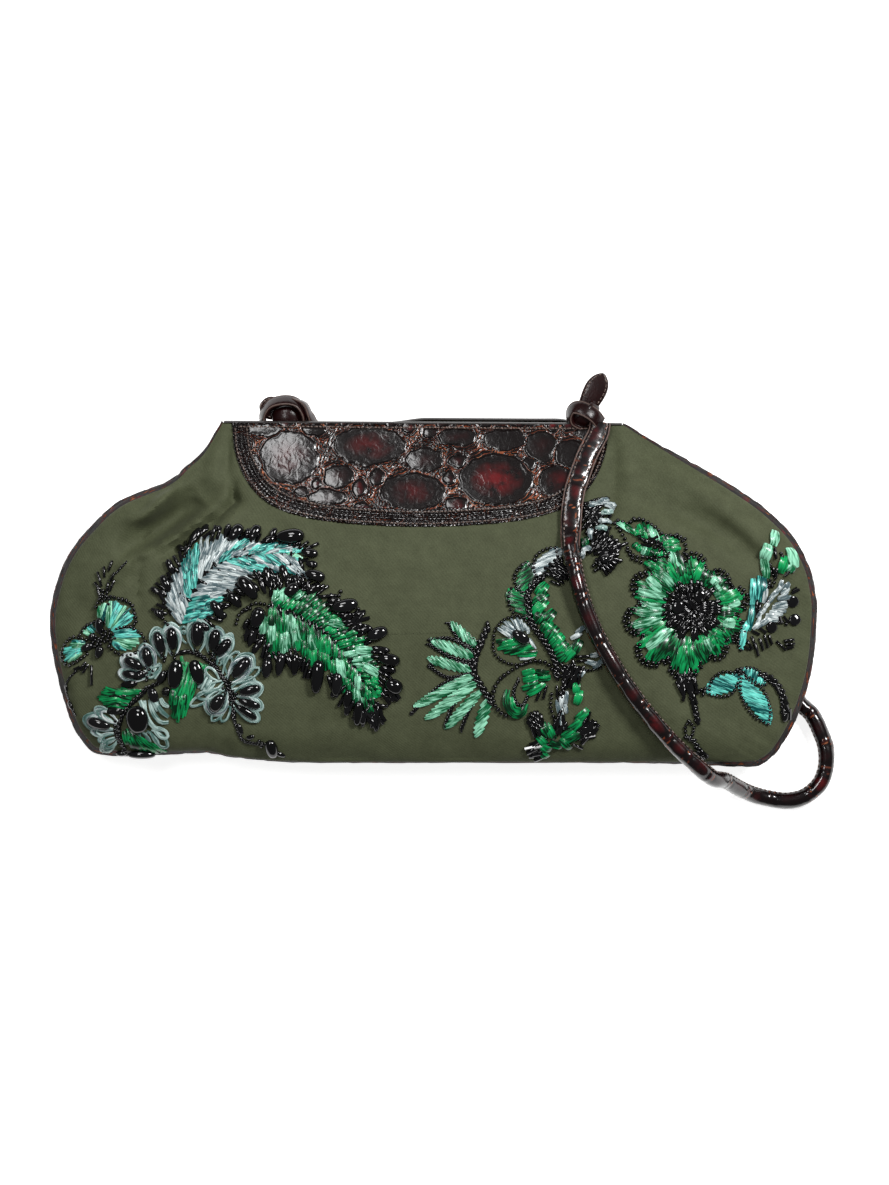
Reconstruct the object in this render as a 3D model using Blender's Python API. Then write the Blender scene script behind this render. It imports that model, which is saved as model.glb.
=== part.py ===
"""Soft clutch bag with leather yokes, a knotted leather strap and beaded flowers.

The bag lies on its back panel: +X runs along the bag, +Y from its base to its mouth, and +Z out of
its front panel. The origin is on the flat patch of the back panel that the bag rests on.
"""

import math

import bmesh
import bpy
import numpy as np
from mathutils import Matrix, Vector
from mathutils.bvhtree import BVHTree

MM = 0.001

# Clearances that every seat uses
SEAT_GAP = 0.3 * MM
BEAD_GAP = 0.4 * MM
OVERRUN = 20.0 * MM

# Bag body: overall size, and the levels of the two seams above the surface it lies on
BAG_LENGTH = 378.5 * MM
BAG_HEIGHT = 169.5 * MM
BAG_THICKNESS = 54.0 * MM
SPINE_DROP = 21.0 * MM
SPINE_SHARE = 0.35
FRONT_SEAM_BASE = 40.0 * MM
FRONT_SEAM_END = 38.0 * MM
FRONT_SEAM_MOUTH = 31.0 * MM
BACK_SEAM_BASE = 12.0 * MM
BACK_SEAM_END = 17.0 * MM
BACK_SEAM_MOUTH = 21.0 * MM
CORNER_FADE = 70.0 * MM
# How full the front stands, how far the flat patch of the back reaches out, and how the back turns up
FRONT_FULLNESS_SHARE = 0.6
MOUTH_FULLNESS_SHARE = 1.3
REST_SHARE = 0.3
REST_BASE_SHARE = 0.55
BACK_TURN = 1.5
BACK_BASE_TURN = 1.0
PANEL_THICKNESS = 1.6 * MM
GUSSET_THICKNESS = 1.6 * MM
GUSSET_BULGE_LEFT = 1.8 * MM
GUSSET_BULGE_RIGHT = 3.0 * MM
GUSSET_BULGE_BASE = 0.6 * MM
GUSSET_FADE_SHARE = 0.6
BAND_ROWS = 4
BASE_SEAM_SHARE = 0.86
END_START_SHARE = 0.5
END_FULL_SHARE = 0.9
# Half outline of the seam, from the left corner of the mouth round the base to the right corner,
# as shares of half the length and half the height
OUTLINE_SHARES = (
    (-0.559, 0.994), (-0.606, 0.817), (-0.646, 0.729), (-0.701, 0.622), (-0.823, 0.504),
    (-0.897, 0.357), (-0.950, 0.209), (-0.982, 0.044), (-1.000, -0.168), (-0.987, -0.422),
    (-0.950, -0.723), (-0.913, -0.870), (-0.865, -0.930), (-0.696, -0.937), (-0.601, -0.937),
    (-0.527, -0.968), (-0.376, -0.997), (-0.155, -1.000), (0.140, -1.000), (0.435, -1.000),
    (0.650, -1.000), (0.818, -0.998), (0.857, -0.978), (0.894, -0.900), (0.939, -0.717),
    (0.976, -0.451), (0.989, -0.139), (0.984, 0.009), (0.968, 0.145), (0.929, 0.304),
    (0.857, 0.463), (0.778, 0.587), (0.680, 0.722), (0.583, 0.853), (0.493, 0.980),
)
OUTLINE_STEPS = 2
MOUTH_STEPS = 12
RINGS = 6
LINING_STEPS = 1
LINING_RINGS = 5

# Yokes and what lies behind them in the mouth
YOKE_FROM_LEFT_CORNER = 4.5 * MM
YOKE_FROM_RIGHT_CORNER = 7.0 * MM
YOKE_DEPTH = 51.5 * MM
YOKE_LEFT = OUTLINE_SHARES[0][0] * BAG_LENGTH / 2 + YOKE_FROM_LEFT_CORNER
YOKE_RIGHT = OUTLINE_SHARES[-1][0] * BAG_LENGTH / 2 - YOKE_FROM_RIGHT_CORNER
YOKE_MIDDLE = (YOKE_LEFT + YOKE_RIGHT) / 2
YOKE_HALF_WIDTH = (YOKE_RIGHT - YOKE_LEFT) / 2
YOKE_THICKNESS = 1.8 * MM
YOKE_PROUD = 0.6 * MM
YOKE_SHARES = (
    (1.000, 0.00), (0.985, 0.27), (0.930, 0.53), (0.845, 0.72), (0.720, 0.85), (0.520, 0.94),
    (0.250, 0.985), (0.000, 1.00),
)
YOKE_STEPS = 2
STAY_THICKNESS = 1.0 * MM
STAY_WIDTH = 10.0 * MM
STAY_HALF_LENGTH = 60.0 * MM
STAY_FROM_EDGE = 2.5 * MM
FACING_THICKNESS = 1.0 * MM
FACING_MARGIN = 1.5 * MM
SNAP_RADIUS = 7.0 * MM
SNAP_COLLAR_RADIUS = 4.5 * MM
SNAP_FLANGE = 1.0 * MM
SNAP_FROM_EDGE = 15.0 * MM
ROUND_STEPS = 16
# The front half of the mouth folds outwards: these pieces move together
FOLDING_PIECES = (
    "front_yoke", "front_facing", "front_stay", "front_snap", "strap_tab_right", "strap_knot_right",
    "strap_flat_right",
)

# Lining, pocket and base board
LINING_DEPTH = 4.2 * MM
LINING_THICKNESS = 0.8 * MM
POCKET_LENGTH = 120.0 * MM
POCKET_DEPTH = 62.0 * MM
POCKET_THICKNESS = 0.8 * MM
POCKET_BELOW_EDGE = 78.0 * MM
POCKET_CORNER = 10.0 * MM
POCKET_CORNER_STEPS = 4
BOARD_THICKNESS = 1.2 * MM
BOARD_HALF_LENGTH = 105.0 * MM
BOARD_MARGIN = 3.0 * MM

# Strap: flat stitched ends that turn into a rolled cord
STRAP_DIAMETER = 8.5 * MM
STRAP_WIDTH = 10.0 * MM
STRAP_FLAT_THICKNESS = 3.0 * MM
STRAP_SIDES = 12
STRAP_POINT_EVERY = 17.0 * MM
TAB_WIDTH = 8.0 * MM
TAB_LENGTH = 13.0 * MM
TAB_ROWS = 4
TAB_THICKNESS = 1.0 * MM
KNOT_LENGTH = 15.0 * MM
KNOT_WIDTH = 9.0 * MM
KNOT_HEIGHT = 8.5 * MM
KNOT_WRAP = 1.8 * MM
KNOT_FROM_EDGE = 1.8 * MM
KNOT_SIDES = 10
KNOT_WRAP_SIDES = 6
KNOT_WRAP_SHARE = 0.17
TONGUE_LENGTH = 17.0 * MM
TONGUE_WIDTH = 9.5 * MM
TONGUE_THICKNESS = 2.2 * MM
# Tongue's outline: shares of its reach from the knot's middle, and of its half width
TONGUE_SHARES = ((0.0, 0.8), (0.5, 1.0), (0.75, 0.95), (0.92, 0.6), (1.0, 0.25))
# Places of the knots along the mouth, and the way their tongues point, in degrees
KNOT_RIGHT_X = 72.5 * MM
KNOT_LEFT_X = -74.0 * MM
TONGUE_RIGHT_TURN = 61.0
TONGUE_LEFT_TURN = 148.0
# Route of the strap, in metres: over the front yoke, down the front, over the base, round a loop on
# the table and back under the bag to the mouth's left corner
FLAT_RIGHT_ROUTE = (
    (0.0820, 0.0842, 0.0336), (0.0812, 0.0792, 0.0347), (0.0780, 0.0730, 0.0364),
    (0.0752, 0.0672, 0.0384), (0.0722, 0.0592, 0.0412), (0.0694, 0.0508, 0.0441),
    (0.0679, 0.0420, 0.0468), (0.0674, 0.0352, 0.0483),
)
TAPER_RIGHT_ROUTE = (
    (0.0673, 0.0319, 0.0487), (0.0670, 0.0270, 0.0508), (0.0672, 0.0213, 0.0536),
    (0.0683, 0.0159, 0.0549),
)
ROLL_ROUTE = (
    (0.0684, 0.0155, 0.0550), (0.0700, 0.0070, 0.0573), (0.0722, -0.0012, 0.0583),
    (0.0758, -0.0118, 0.0584), (0.0812, -0.0238, 0.0584), (0.0888, -0.0372, 0.0581),
    (0.0978, -0.0508, 0.0568), (0.1082, -0.0642, 0.0546), (0.1188, -0.0762, 0.0512),
    (0.1255, -0.0824, 0.0497), (0.1322, -0.0885, 0.0462), (0.1385, -0.0930, 0.0380),
    (0.1443, -0.0942, 0.0275), (0.1503, -0.0975, 0.0175), (0.1565, -0.1004, 0.0095),
    (0.1640, -0.1028, 0.0052), (0.1758, -0.1045, 0.0043), (0.1848, -0.1022, 0.0043),
    (0.1922, -0.0957, 0.0043), (0.1952, -0.0868, 0.0043), (0.1950, -0.0778, 0.0043),
    (0.1918, -0.0688, 0.0043), (0.1878, -0.0612, 0.0043), (0.1818, -0.0552, 0.0043),
    (0.1772, -0.0442, 0.0043), (0.1738, -0.0292, 0.0043), (0.1698, -0.0142, 0.0043),
    (0.1632, 0.0020, 0.0043), (0.1548, 0.0158, 0.0043), (0.1398, 0.0308, 0.0043),
    (0.1222, 0.0418, 0.0043), (0.1022, 0.0488, 0.0043), (0.0622, 0.0518, 0.0043),
    (0.0072, 0.0528, 0.0043), (-0.0228, 0.0535, 0.0043), (-0.0352, 0.0552, 0.0055),
    (-0.0452, 0.0588, 0.0078),
)
FLAT_LEFT_ROUTE = (
    (-0.0457, 0.0590, 0.0079), (-0.0520, 0.0612, 0.0094), (-0.0575, 0.0655, 0.0115),
    (-0.0612, 0.0720, 0.0138), (-0.0632, 0.0790, 0.0160), (-0.0640, 0.0850, 0.0182),
)

# Beadwork: relief above the fabric, and places as shares of half the bag's length and height
RELIEF_EDGE = 0.8 * MM
RELIEF_CROWN = 2.2 * MM
PEBBLE_HEIGHT = 4.5 * MM
PEBBLE_SIDES = 8
PEBBLE_RINGS = 3
ROSETTE_COLUMNS_PER_PETAL = 3
# Fronds and stems: name, material, half width as a share of half the bag's height, leaf pairs, sweep
# as a share of the half width, spine
FROND_SHARES = (
    ("aqua_frond", "aqua", 0.177, 7, 0.5,
     ((-0.696, -0.333), (-0.680, -0.156), (-0.635, 0.038), (-0.569, 0.174), (-0.464, 0.233),
      (-0.326, 0.150))),
    ("green_frond", "green", 0.177, 7, 0.5,
     ((-0.443, -0.027), (-0.358, -0.121), (-0.292, -0.245), (-0.231, -0.375), (-0.178, -0.510),
      (-0.131, -0.687))),
    ("bead_tail", "black", 0.041, 2, 0.3,
     ((-0.519, -0.687), (-0.485, -0.780), (-0.440, -0.880))),
    ("scroll_sprig", "green", 0.088, 7, 0.6,
     ((0.275, 0.160), (0.229, 0.068), (0.207, -0.121), (0.220, -0.316), (0.262, -0.457), (0.268, -0.634),
      (0.318, -0.805), (0.376, -0.888))),
    ("bugle_spray", "black", 0.059, 4, 0.7,
     ((0.452, 0.469), (0.440, 0.363), (0.437, 0.245), (0.450, 0.115))),
    ("ribbon_sprig", "aqua", 0.076, 5, 0.7,
     ((0.885, 0.290), (0.885, 0.110), (0.880, -0.080), (0.884, -0.260), (0.900, -0.420))),
    ("flower_stem", "black", 0.035, 3, 0.3,
     ((0.680, -0.480), (0.690, -0.640), (0.699, -0.805), (0.725, -0.930))),
)
# Flowers: name, material, centre, half length and half width as shares of half the bag's height, turn
# in degrees, petals, pebble places as shares of the half length and half width
FLOWER_SHARES = (
    ("pebble_flower_low", "mint", (-0.781, -0.735), 0.189, 0.153, 0.0, 7,
     ((-0.45, 0.0), (0.0, 0.1), (0.45, 0.35), (0.3, -0.4))),
    ("pebble_flower_high", "mint", (-0.590, -0.475), 0.260, 0.248, 0.0, 8,
     ((-0.45, 0.1), (-0.1, 0.4), (0.4, 0.3), (0.2, -0.4), (-0.3, -0.4), (0.05, 0.0))),
    ("end_flower", "aqua", (-0.878, -0.263), 0.165, 0.142, 15.0, 5,
     ((0.0, 0.2), (-0.1, -0.3))),
    ("round_flower", "green", (0.672, -0.121), 0.354, 0.342, 0.0, 12, ((0.0, 0.0),)),
    ("flower_bud", "green", (0.561, 0.304), 0.195, 0.088, -10.0, 6, ((0.0, 0.0),)),
)
# Leaf fans: name, material, root, leaf tips
FAN_SHARES = (
    ("fan_sprig", "mint", (0.112, -0.475),
     ((0.131, -0.227), (0.030, -0.186), (-0.012, -0.304), (-0.012, -0.428), (-0.036, -0.687),
      (-0.004, -0.746), (0.041, -0.805), (0.115, -0.841))),
    ("aqua_leaves", "aqua", (0.849, -0.528),
     ((0.752, -0.569), (0.790, -0.700), (0.878, -0.805), (0.925, -0.640))),
)
FAN_NOTCH_SHARE = 0.45
FAN_RING_SHARES = (0.25, 0.6, 1.0)
FAN_CROWN_SHARES = (1.0, 0.8, 0.0)
FLOWER_RING_SHARES = (0.3, 0.72, 1.0)
FLOWER_CROWN_SHARES = (0.7, 1.0, 0.0)
SCALLOP_SHARE = 0.14
FROND_END_SHARE = 0.35
FROND_NOTCH_SHARE = 0.6


def clear_scene():
    """Remove every object, so that only the bag is left."""
    for old in list(bpy.data.objects):
        bpy.data.objects.remove(old, do_unlink=True)


def make_material(name, colour, roughness, metallic=0.0):
    """A Principled material of one colour, given as linear red, green and blue."""
    material = bpy.data.materials.new(name)
    material.use_nodes = True
    shader = material.node_tree.nodes["Principled BSDF"]
    shader.inputs["Base Color"].default_value = (*colour, 1.0)
    shader.inputs["Roughness"].default_value = roughness
    shader.inputs["Metallic"].default_value = metallic
    return material


def add_object(name, mesh, material):
    """Link a mesh as an object of the bag."""
    piece = bpy.data.objects.new(name, mesh)
    bpy.context.scene.collection.objects.link(piece)
    piece.data.materials.append(material)
    return piece


def mesh_from(name, points, faces):
    """A mesh with all its faces pointing out."""
    mesh = bpy.data.meshes.new(name)
    mesh.from_pydata([tuple(map(float, p)) for p in points], [], faces)
    shape = bmesh.new()
    shape.from_mesh(mesh)
    bmesh.ops.recalc_face_normals(shape, faces=shape.faces)
    if shape.calc_volume(signed=True) < 0:
        bmesh.ops.reverse_faces(shape, faces=shape.faces)
    shape.to_mesh(mesh)
    shape.free()
    mesh.shade_smooth()
    mesh.set_sharp_from_angle(angle=math.radians(40))
    return mesh


def smooth_step(share):
    """Ease from 0 to 1."""
    share = np.clip(share, 0.0, 1.0)
    return share * share * (3.0 - 2.0 * share)


def smooth_curve(points, steps):
    """Points on a curve through the given ones: steps to each stretch, ends included."""
    points = np.array(points, float)
    ends = np.vstack([2 * points[0] - points[1], points, 2 * points[-1] - points[-2]])
    out = []
    for i in range(len(points) - 1):
        before, start, end, after = ends[i : i + 4]
        for step in range(steps):
            u = step / steps
            out.append(
                0.5 * (2 * start + (end - before) * u
                       + (2 * before - 5 * start + 4 * end - after) * u**2
                       + (3 * start - before - 3 * end + after) * u**3)
            )
    out.append(points[-1])
    return np.array(out)


def spaced_curve(points, spacing):
    """The same smooth curve, read at even distances of about the spacing."""
    fine = smooth_curve(points, 24)
    run = np.concatenate([[0.0], np.cumsum(np.linalg.norm(np.diff(fine, axis=0), axis=1))])
    at = np.linspace(0.0, run[-1], max(2, round(run[-1] / spacing) + 1))
    return np.stack([np.interp(at, run, fine[:, k]) for k in range(fine.shape[1])], axis=1)


def closed_solid(name, top, bottom, wrap, material):
    """A solid between two grids of points. With wrap, rows are rings and the first is capped."""
    rows, columns = top.shape[:2]
    points = np.concatenate([top.reshape(-1, 3), bottom.reshape(-1, 3)])
    shift = rows * columns
    faces = []
    for r in range(rows - 1):
        for c in range(columns if wrap else columns - 1):
            a, b = r * columns + c, r * columns + (c + 1) % columns
            d, e = a + columns, b + columns
            faces += [(a, b, e, d), (shift + d, shift + e, shift + b, shift + a)]
    last = (rows - 1) * columns
    for c in range(columns if wrap else columns - 1):
        n = (c + 1) % columns
        faces.append((last + c, last + n, shift + last + n, shift + last + c))
        if not wrap:
            faces.append((c, shift + c, shift + n, n))
    if wrap:
        faces.append(tuple(range(columns - 1, -1, -1)))
        faces.append(tuple(shift + c for c in range(columns)))
    else:
        for r in range(rows - 1):
            for c in (0, columns - 1):
                a, d = r * columns + c, (r + 1) * columns + c
                faces.append((a, d, shift + d, shift + a))
    return add_object(name, mesh_from(name, points, faces), material)


def prism(name, outline, low, high):
    """An upright solid over an outline, used as a cutter."""
    ring = np.array(outline)
    top = np.column_stack([ring, np.full(len(ring), high)])[None]
    bottom = np.column_stack([ring, np.full(len(ring), low)])[None]
    cutter = closed_solid(name, top, bottom, True, MATERIALS["guide"])
    cutter.hide_render = True
    cutter.display_type = "WIRE"
    return cutter


def boolean(piece, cutter, operation):
    """Combine a piece with a cutter, which itself is left out of the bag."""
    cutter.hide_render = True
    cutter.display_type = "WIRE"
    step = piece.modifiers.new(cutter.name, "BOOLEAN")
    step.operation = operation
    step.solver = "EXACT"
    step.object = cutter


class Body:
    """The bag's two domed surfaces over one seam outline, and points at a depth inside them."""

    def __init__(self, steps, rings):
        """Work out the seam, its outward direction and its nearness to the mouth."""
        half = np.array([BAG_LENGTH / 2, BAG_HEIGHT / 2])
        self.round = smooth_curve(np.array(OUTLINE_SHARES) * half, steps)
        start, end = self.round[-1], self.round[0]
        shares = np.linspace(0, 1, MOUTH_STEPS + 1)[1:-1, None]
        self.mouth = start + (end - start) * shares
        self.seam = np.vstack([self.round, self.mouth])
        self.rounds = len(self.round)
        ahead, behind = np.roll(self.seam, -1, axis=0), np.roll(self.seam, 1, axis=0)
        along = ahead - behind
        along /= np.linalg.norm(along, axis=1)[:, None]
        self.outward = np.column_stack([along[:, 1], -along[:, 0]])
        run = np.linalg.norm(np.diff(self.round, axis=0), axis=1)
        from_left = np.concatenate([[0.0], np.cumsum(run)])
        near = np.minimum(from_left, from_left[-1] - from_left)
        self.closeness = np.concatenate([1 - smooth_step(near / CORNER_FADE), np.ones(len(self.mouth))])
        self.side = np.abs(self.seam[:, 0]) / half[0]
        self.spine = np.column_stack([self.seam[:, 0] * SPINE_SHARE, np.full(len(self.seam), -SPINE_DROP)])
        self.front_seam = self.level(FRONT_SEAM_BASE, FRONT_SEAM_END, FRONT_SEAM_MOUTH)
        self.back_seam = self.level(BACK_SEAM_BASE, BACK_SEAM_END, BACK_SEAM_MOUTH)
        self.middle = (self.front_seam + self.back_seam) / 2
        self.shares = np.sin(np.arange(1, rings + 1) / rings * math.pi / 2)

    def level(self, base, end, mouth):
        """Seam height all round: between base and ends by the side, then towards the mouth."""
        around = base + (end - base) * self.side**2
        return around + (mouth - around) * self.closeness

    def ring_points(self, inset):
        """Places of all rings in plan, the last on the seam moved in by inset."""
        edge = self.seam - self.outward * np.broadcast_to(inset, len(self.seam))[:, None]
        return self.spine + (edge - self.spine) * self.shares[:, None, None]

    def front(self, depth, inset):
        """The front surface, moved in by depth from the outside and by inset at the seam."""
        plan = self.ring_points(inset)
        flat = FRONT_FULLNESS_SHARE + (MOUTH_FULLNESS_SHARE - FRONT_FULLNESS_SHARE) * self.closeness
        rise = (1 - self.shares[:, None] ** 2) ** flat
        seam = self.front_seam - depth * self.closeness
        height = seam + (BAG_THICKNESS - depth - seam) * rise
        return np.dstack([plan, height])

    def back(self, depth, inset):
        """The back surface, moved in by depth, flat where the bag lies on it."""
        plan = self.ring_points(inset)
        towards_base = np.clip(-self.outward[:, 1], 0, 1)
        start = REST_SHARE + (REST_BASE_SHARE - REST_SHARE) * towards_base
        share = np.clip((self.shares[:, None] - start) / (1 - start), 0, 1)
        round_rise = share ** (BACK_TURN + BACK_BASE_TURN * towards_base)
        rise = round_rise + (smooth_step(share) - round_rise) * self.closeness
        seam = self.back_seam + depth * self.closeness
        return np.dstack([plan, depth + (seam - depth) * rise])

    def with_skirt(self, surface, level):
        """A surface with one more ring, straight up or down from its edge to a level."""
        skirt = surface[-1:].copy()
        skirt[0, :, 2] = level
        return np.vstack([surface, skirt])


def surface_tree(surface):
    """A tree that finds the height of a surface made of rings."""
    rows, columns = surface.shape[:2]
    faces = [tuple(range(columns))]
    for r in range(rows - 1):
        for c in range(columns):
            a, b = r * columns + c, r * columns + (c + 1) % columns
            faces.append((a, b, b + columns, a + columns))
    return BVHTree.FromPolygons([tuple(p) for p in surface.reshape(-1, 3)], faces)


def height_on(tree, x, y):
    """Height of a surface over one place, or its nearest point's beside the bag."""
    above = Vector((x, y, BAG_THICKNESS + OVERRUN))
    hit = tree.ray_cast(above, Vector((0, 0, -1)))[0]
    return (hit or tree.find_nearest(Vector((x, y, FRONT_SEAM_BASE)))[0]).z


def mouth_line(body, x):
    """Place of the mouth's edge along the bag's height at x."""
    left, right = body.round[0], body.round[-1]
    return left[1] + (right[1] - left[1]) * (x - left[0]) / (right[0] - left[0])


def yoke_outline(body, grow):
    """Outline of the yoke in plan, grown all round, running past the mouth's edge."""
    half = smooth_curve(
        [(x * (YOKE_HALF_WIDTH + grow), y * (YOKE_DEPTH + grow)) for x, y in YOKE_SHARES], YOKE_STEPS
    )
    top = mouth_line(body, YOKE_MIDDLE)
    right = np.column_stack([YOKE_MIDDLE + half[:, 0], top - half[:, 1]])
    left = np.column_stack([YOKE_MIDDLE - half[-2::-1, 0], top - half[-2::-1, 1]])
    over = top + OVERRUN
    return np.vstack([[right[0][0], over], right, left, [left[-1][0], over]])


def hinge_place(body):
    """Middle of the fold line that the mouth's front opens about: the yoke's lowest point."""
    y = mouth_line(body, YOKE_MIDDLE) - YOKE_DEPTH
    return Vector((YOKE_MIDDLE, y, height_on(FRONT_TREE, YOKE_MIDDLE, y)))


def hang_on_fold(body):
    """Parent the front half of the mouth to an empty on its fold line."""
    place = hinge_place(body)
    fold = bpy.data.objects.new("mouth_fold", None)
    fold.location = place
    bpy.context.scene.collection.objects.link(fold)
    for name in FOLDING_PIECES:
        piece = bpy.data.objects[name]
        piece.parent = fold
        piece.location -= place


def build_panels(body):
    """Front and back fabric panels, each with a cut-out for its yoke."""
    inset = PANEL_THICKNESS * (1 - body.closeness)
    cut = yoke_outline(body, SEAT_GAP)
    for name, side in (("front_panel", body.front), ("back_panel", body.back)):
        panel = closed_solid(name, side(0.0, 0.0), side(PANEL_THICKNESS, inset), True, MATERIALS["fabric"])
        boolean(panel, prism(name + "_cut", cut, -OVERRUN, BAG_THICKNESS + OVERRUN), "DIFFERENCE")


def band(name, body, first, last, insets, bulge, margin, material):
    """A strip along the seam between the panels, from one seam point to another."""
    part = slice(first, last)
    low = body.back_seam[part] + PANEL_THICKNESS * body.closeness[part] + margin
    high = body.front_seam[part] - PANEL_THICKNESS * body.closeness[part] - margin
    solids = []
    for inset in insets:
        grid = []
        for row in range(BAND_ROWS + 1):
            share = row / BAND_ROWS
            out = bulge[part] * math.sin(math.pi * share) - inset
            plan = body.seam[part] + body.outward[part] * out[:, None]
            for end, beside in ((0, 1), (-1, -2)):
                along = plan[beside] - plan[end]
                plan[end] += along / np.linalg.norm(along) * SEAT_GAP / 2
            grid.append(np.column_stack([plan, low + (high - low) * share]))
        solids.append(np.array(grid))
    return closed_solid(name, solids[0], solids[1], False, material)


def build_gussets(body):
    """Leather band between the panels: two ends that run up to the mouth, and the base."""
    x_share = body.seam[:, 0] / (BAG_LENGTH / 2)
    low = body.seam[:, 1] < 0
    ends = smooth_step((np.abs(x_share) - END_START_SHARE) / (END_FULL_SHARE - END_START_SHARE))
    side = np.where(x_share > 0, GUSSET_BULGE_RIGHT, GUSSET_BULGE_LEFT)
    bulge = GUSSET_BULGE_BASE + (side - GUSSET_BULGE_BASE) * np.where(low, ends, 1.0)
    bulge = bulge * (1 - GUSSET_FADE_SHARE * body.closeness)
    at_base = np.flatnonzero(low & (np.abs(x_share) < BASE_SEAM_SHARE))
    first, last = at_base[0], at_base[-1]
    runs = {
        "gusset_left": (0, first + 1),
        "gusset_base": (first, last + 1),
        "gusset_right": (last, body.rounds),
    }
    for name, (start, end) in runs.items():
        band(name, body, start, end, (0.0, GUSSET_THICKNESS), bulge, SEAT_GAP, MATERIALS["croc"])


def layer(name, body, side, depth, thickness, outline, material):
    """A layer of the mouth: the slice of the shell over an outline, at a depth."""
    top, bottom = side(depth, 0.0), side(depth + thickness, 0.0)
    piece = closed_solid(name, top, bottom, True, material)
    boolean(piece, prism(name + "_outline", outline, -OVERRUN, BAG_THICKNESS + OVERRUN), "INTERSECT")
    return piece


def build_mouth(body):
    """Yoke, stay and facing of each half of the mouth."""
    edge = mouth_line(body, YOKE_MIDDLE)
    stay_depth = YOKE_THICKNESS - YOKE_PROUD + SEAT_GAP
    facing_depth = stay_depth + STAY_THICKNESS + SEAT_GAP
    high, low = edge - STAY_FROM_EDGE, edge - STAY_FROM_EDGE - STAY_WIDTH
    left, right = YOKE_MIDDLE - STAY_HALF_LENGTH, YOKE_MIDDLE + STAY_HALF_LENGTH
    stay_outline = [(left, low), (right, low), (right, high), (left, high)]
    for name, side in (("front", body.front), ("back", body.back)):
        layer(name + "_yoke", body, side, -YOKE_PROUD, YOKE_THICKNESS, yoke_outline(body, 0.0),
              MATERIALS["croc"])
        layer(name + "_stay", body, side, stay_depth, STAY_THICKNESS, stay_outline, MATERIALS["steel"])
        layer(name + "_facing", body, side, facing_depth, FACING_THICKNESS,
              yoke_outline(body, -FACING_MARGIN), MATERIALS["facing"])
    return facing_depth + FACING_THICKNESS


def turned(name, profile, place, material):
    """A solid turned about an upright axis from (radius, height) points, bottom to top."""
    angles = np.arange(ROUND_STEPS) / ROUND_STEPS * 2 * math.pi
    points = []
    for radius, height in profile:
        for angle in angles:
            points.append((radius * math.cos(angle), radius * math.sin(angle), height))
    faces = []
    for r in range(len(profile) - 1):
        for c in range(ROUND_STEPS):
            a, b = r * ROUND_STEPS + c, r * ROUND_STEPS + (c + 1) % ROUND_STEPS
            faces.append((a, b, b + ROUND_STEPS, a + ROUND_STEPS))
    faces.append(tuple(range(ROUND_STEPS - 1, -1, -1)))
    last = (len(profile) - 1) * ROUND_STEPS
    faces.append(tuple(last + c for c in range(ROUND_STEPS)))
    piece = add_object(name, mesh_from(name, points, faces), material)
    piece.location = place
    return piece


def build_snap(body, depth):
    """Two halves of a magnetic snap, each seated on its facing, meeting in the middle."""
    y = mouth_line(body, YOKE_MIDDLE) - SNAP_FROM_EDGE
    middle = (FRONT_SEAM_MOUTH + BACK_SEAM_MOUTH) / 2
    rim = [(YOKE_MIDDLE + SNAP_RADIUS * math.cos(a), y + SNAP_RADIUS * math.sin(a))
           for a in np.arange(ROUND_STEPS) / ROUND_STEPS * 2 * math.pi]
    front_tree, back_tree = surface_tree(body.front(depth, 0.0)), surface_tree(body.back(depth, 0.0))
    top = min(height_on(front_tree, *place) for place in rim) - SEAT_GAP
    bottom = max(height_on(back_tree, *place) for place in rim) + SEAT_GAP
    meet = SEAT_GAP / 2
    front = [(SNAP_COLLAR_RADIUS, meet), (SNAP_COLLAR_RADIUS, top - middle - SNAP_FLANGE),
             (SNAP_RADIUS, top - middle - SNAP_FLANGE), (SNAP_RADIUS, top - middle)]
    back = [(SNAP_RADIUS, bottom - middle), (SNAP_RADIUS, bottom - middle + SNAP_FLANGE),
            (SNAP_COLLAR_RADIUS, bottom - middle + SNAP_FLANGE), (SNAP_COLLAR_RADIUS, -meet)]
    turned("front_snap", front, (YOKE_MIDDLE, y, middle), MATERIALS["brass"])
    turned("back_snap", back, (YOKE_MIDDLE, y, middle), MATERIALS["brass"])


def build_lining(body):
    """Two half shells of lining that meet at mid height, cut out for the facings."""
    cut = yoke_outline(body, SEAT_GAP - FACING_MARGIN)
    thick = LINING_THICKNESS
    halves = (("lining_front", body.front, SEAT_GAP / 2), ("lining_back", body.back, -SEAT_GAP / 2))
    for name, side, off in halves:
        outer = body.with_skirt(side(LINING_DEPTH, LINING_DEPTH), body.middle + off)
        inner = body.with_skirt(side(LINING_DEPTH + thick, LINING_DEPTH + thick), body.middle + off)
        half = closed_solid(name, outer, inner, True, MATERIALS["lining"])
        boolean(half, prism(name + "_cut", cut, -OVERRUN, BAG_THICKNESS + OVERRUN), "DIFFERENCE")


def rounded_rectangle(middle_x, top, length, depth, corner):
    """Outline of an open-topped pocket: square above, round corners below."""
    left, right, low = middle_x - length / 2, middle_x + length / 2, top - depth
    points = [(right, top), (left, top)]
    for centre_x, start in ((left + corner, 180), (right - corner, 270)):
        for step in range(POCKET_CORNER_STEPS + 1):
            angle = math.radians(start + 90 * step / POCKET_CORNER_STEPS)
            points.append((centre_x + corner * math.cos(angle), low + corner + corner * math.sin(angle)))
    return points


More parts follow.
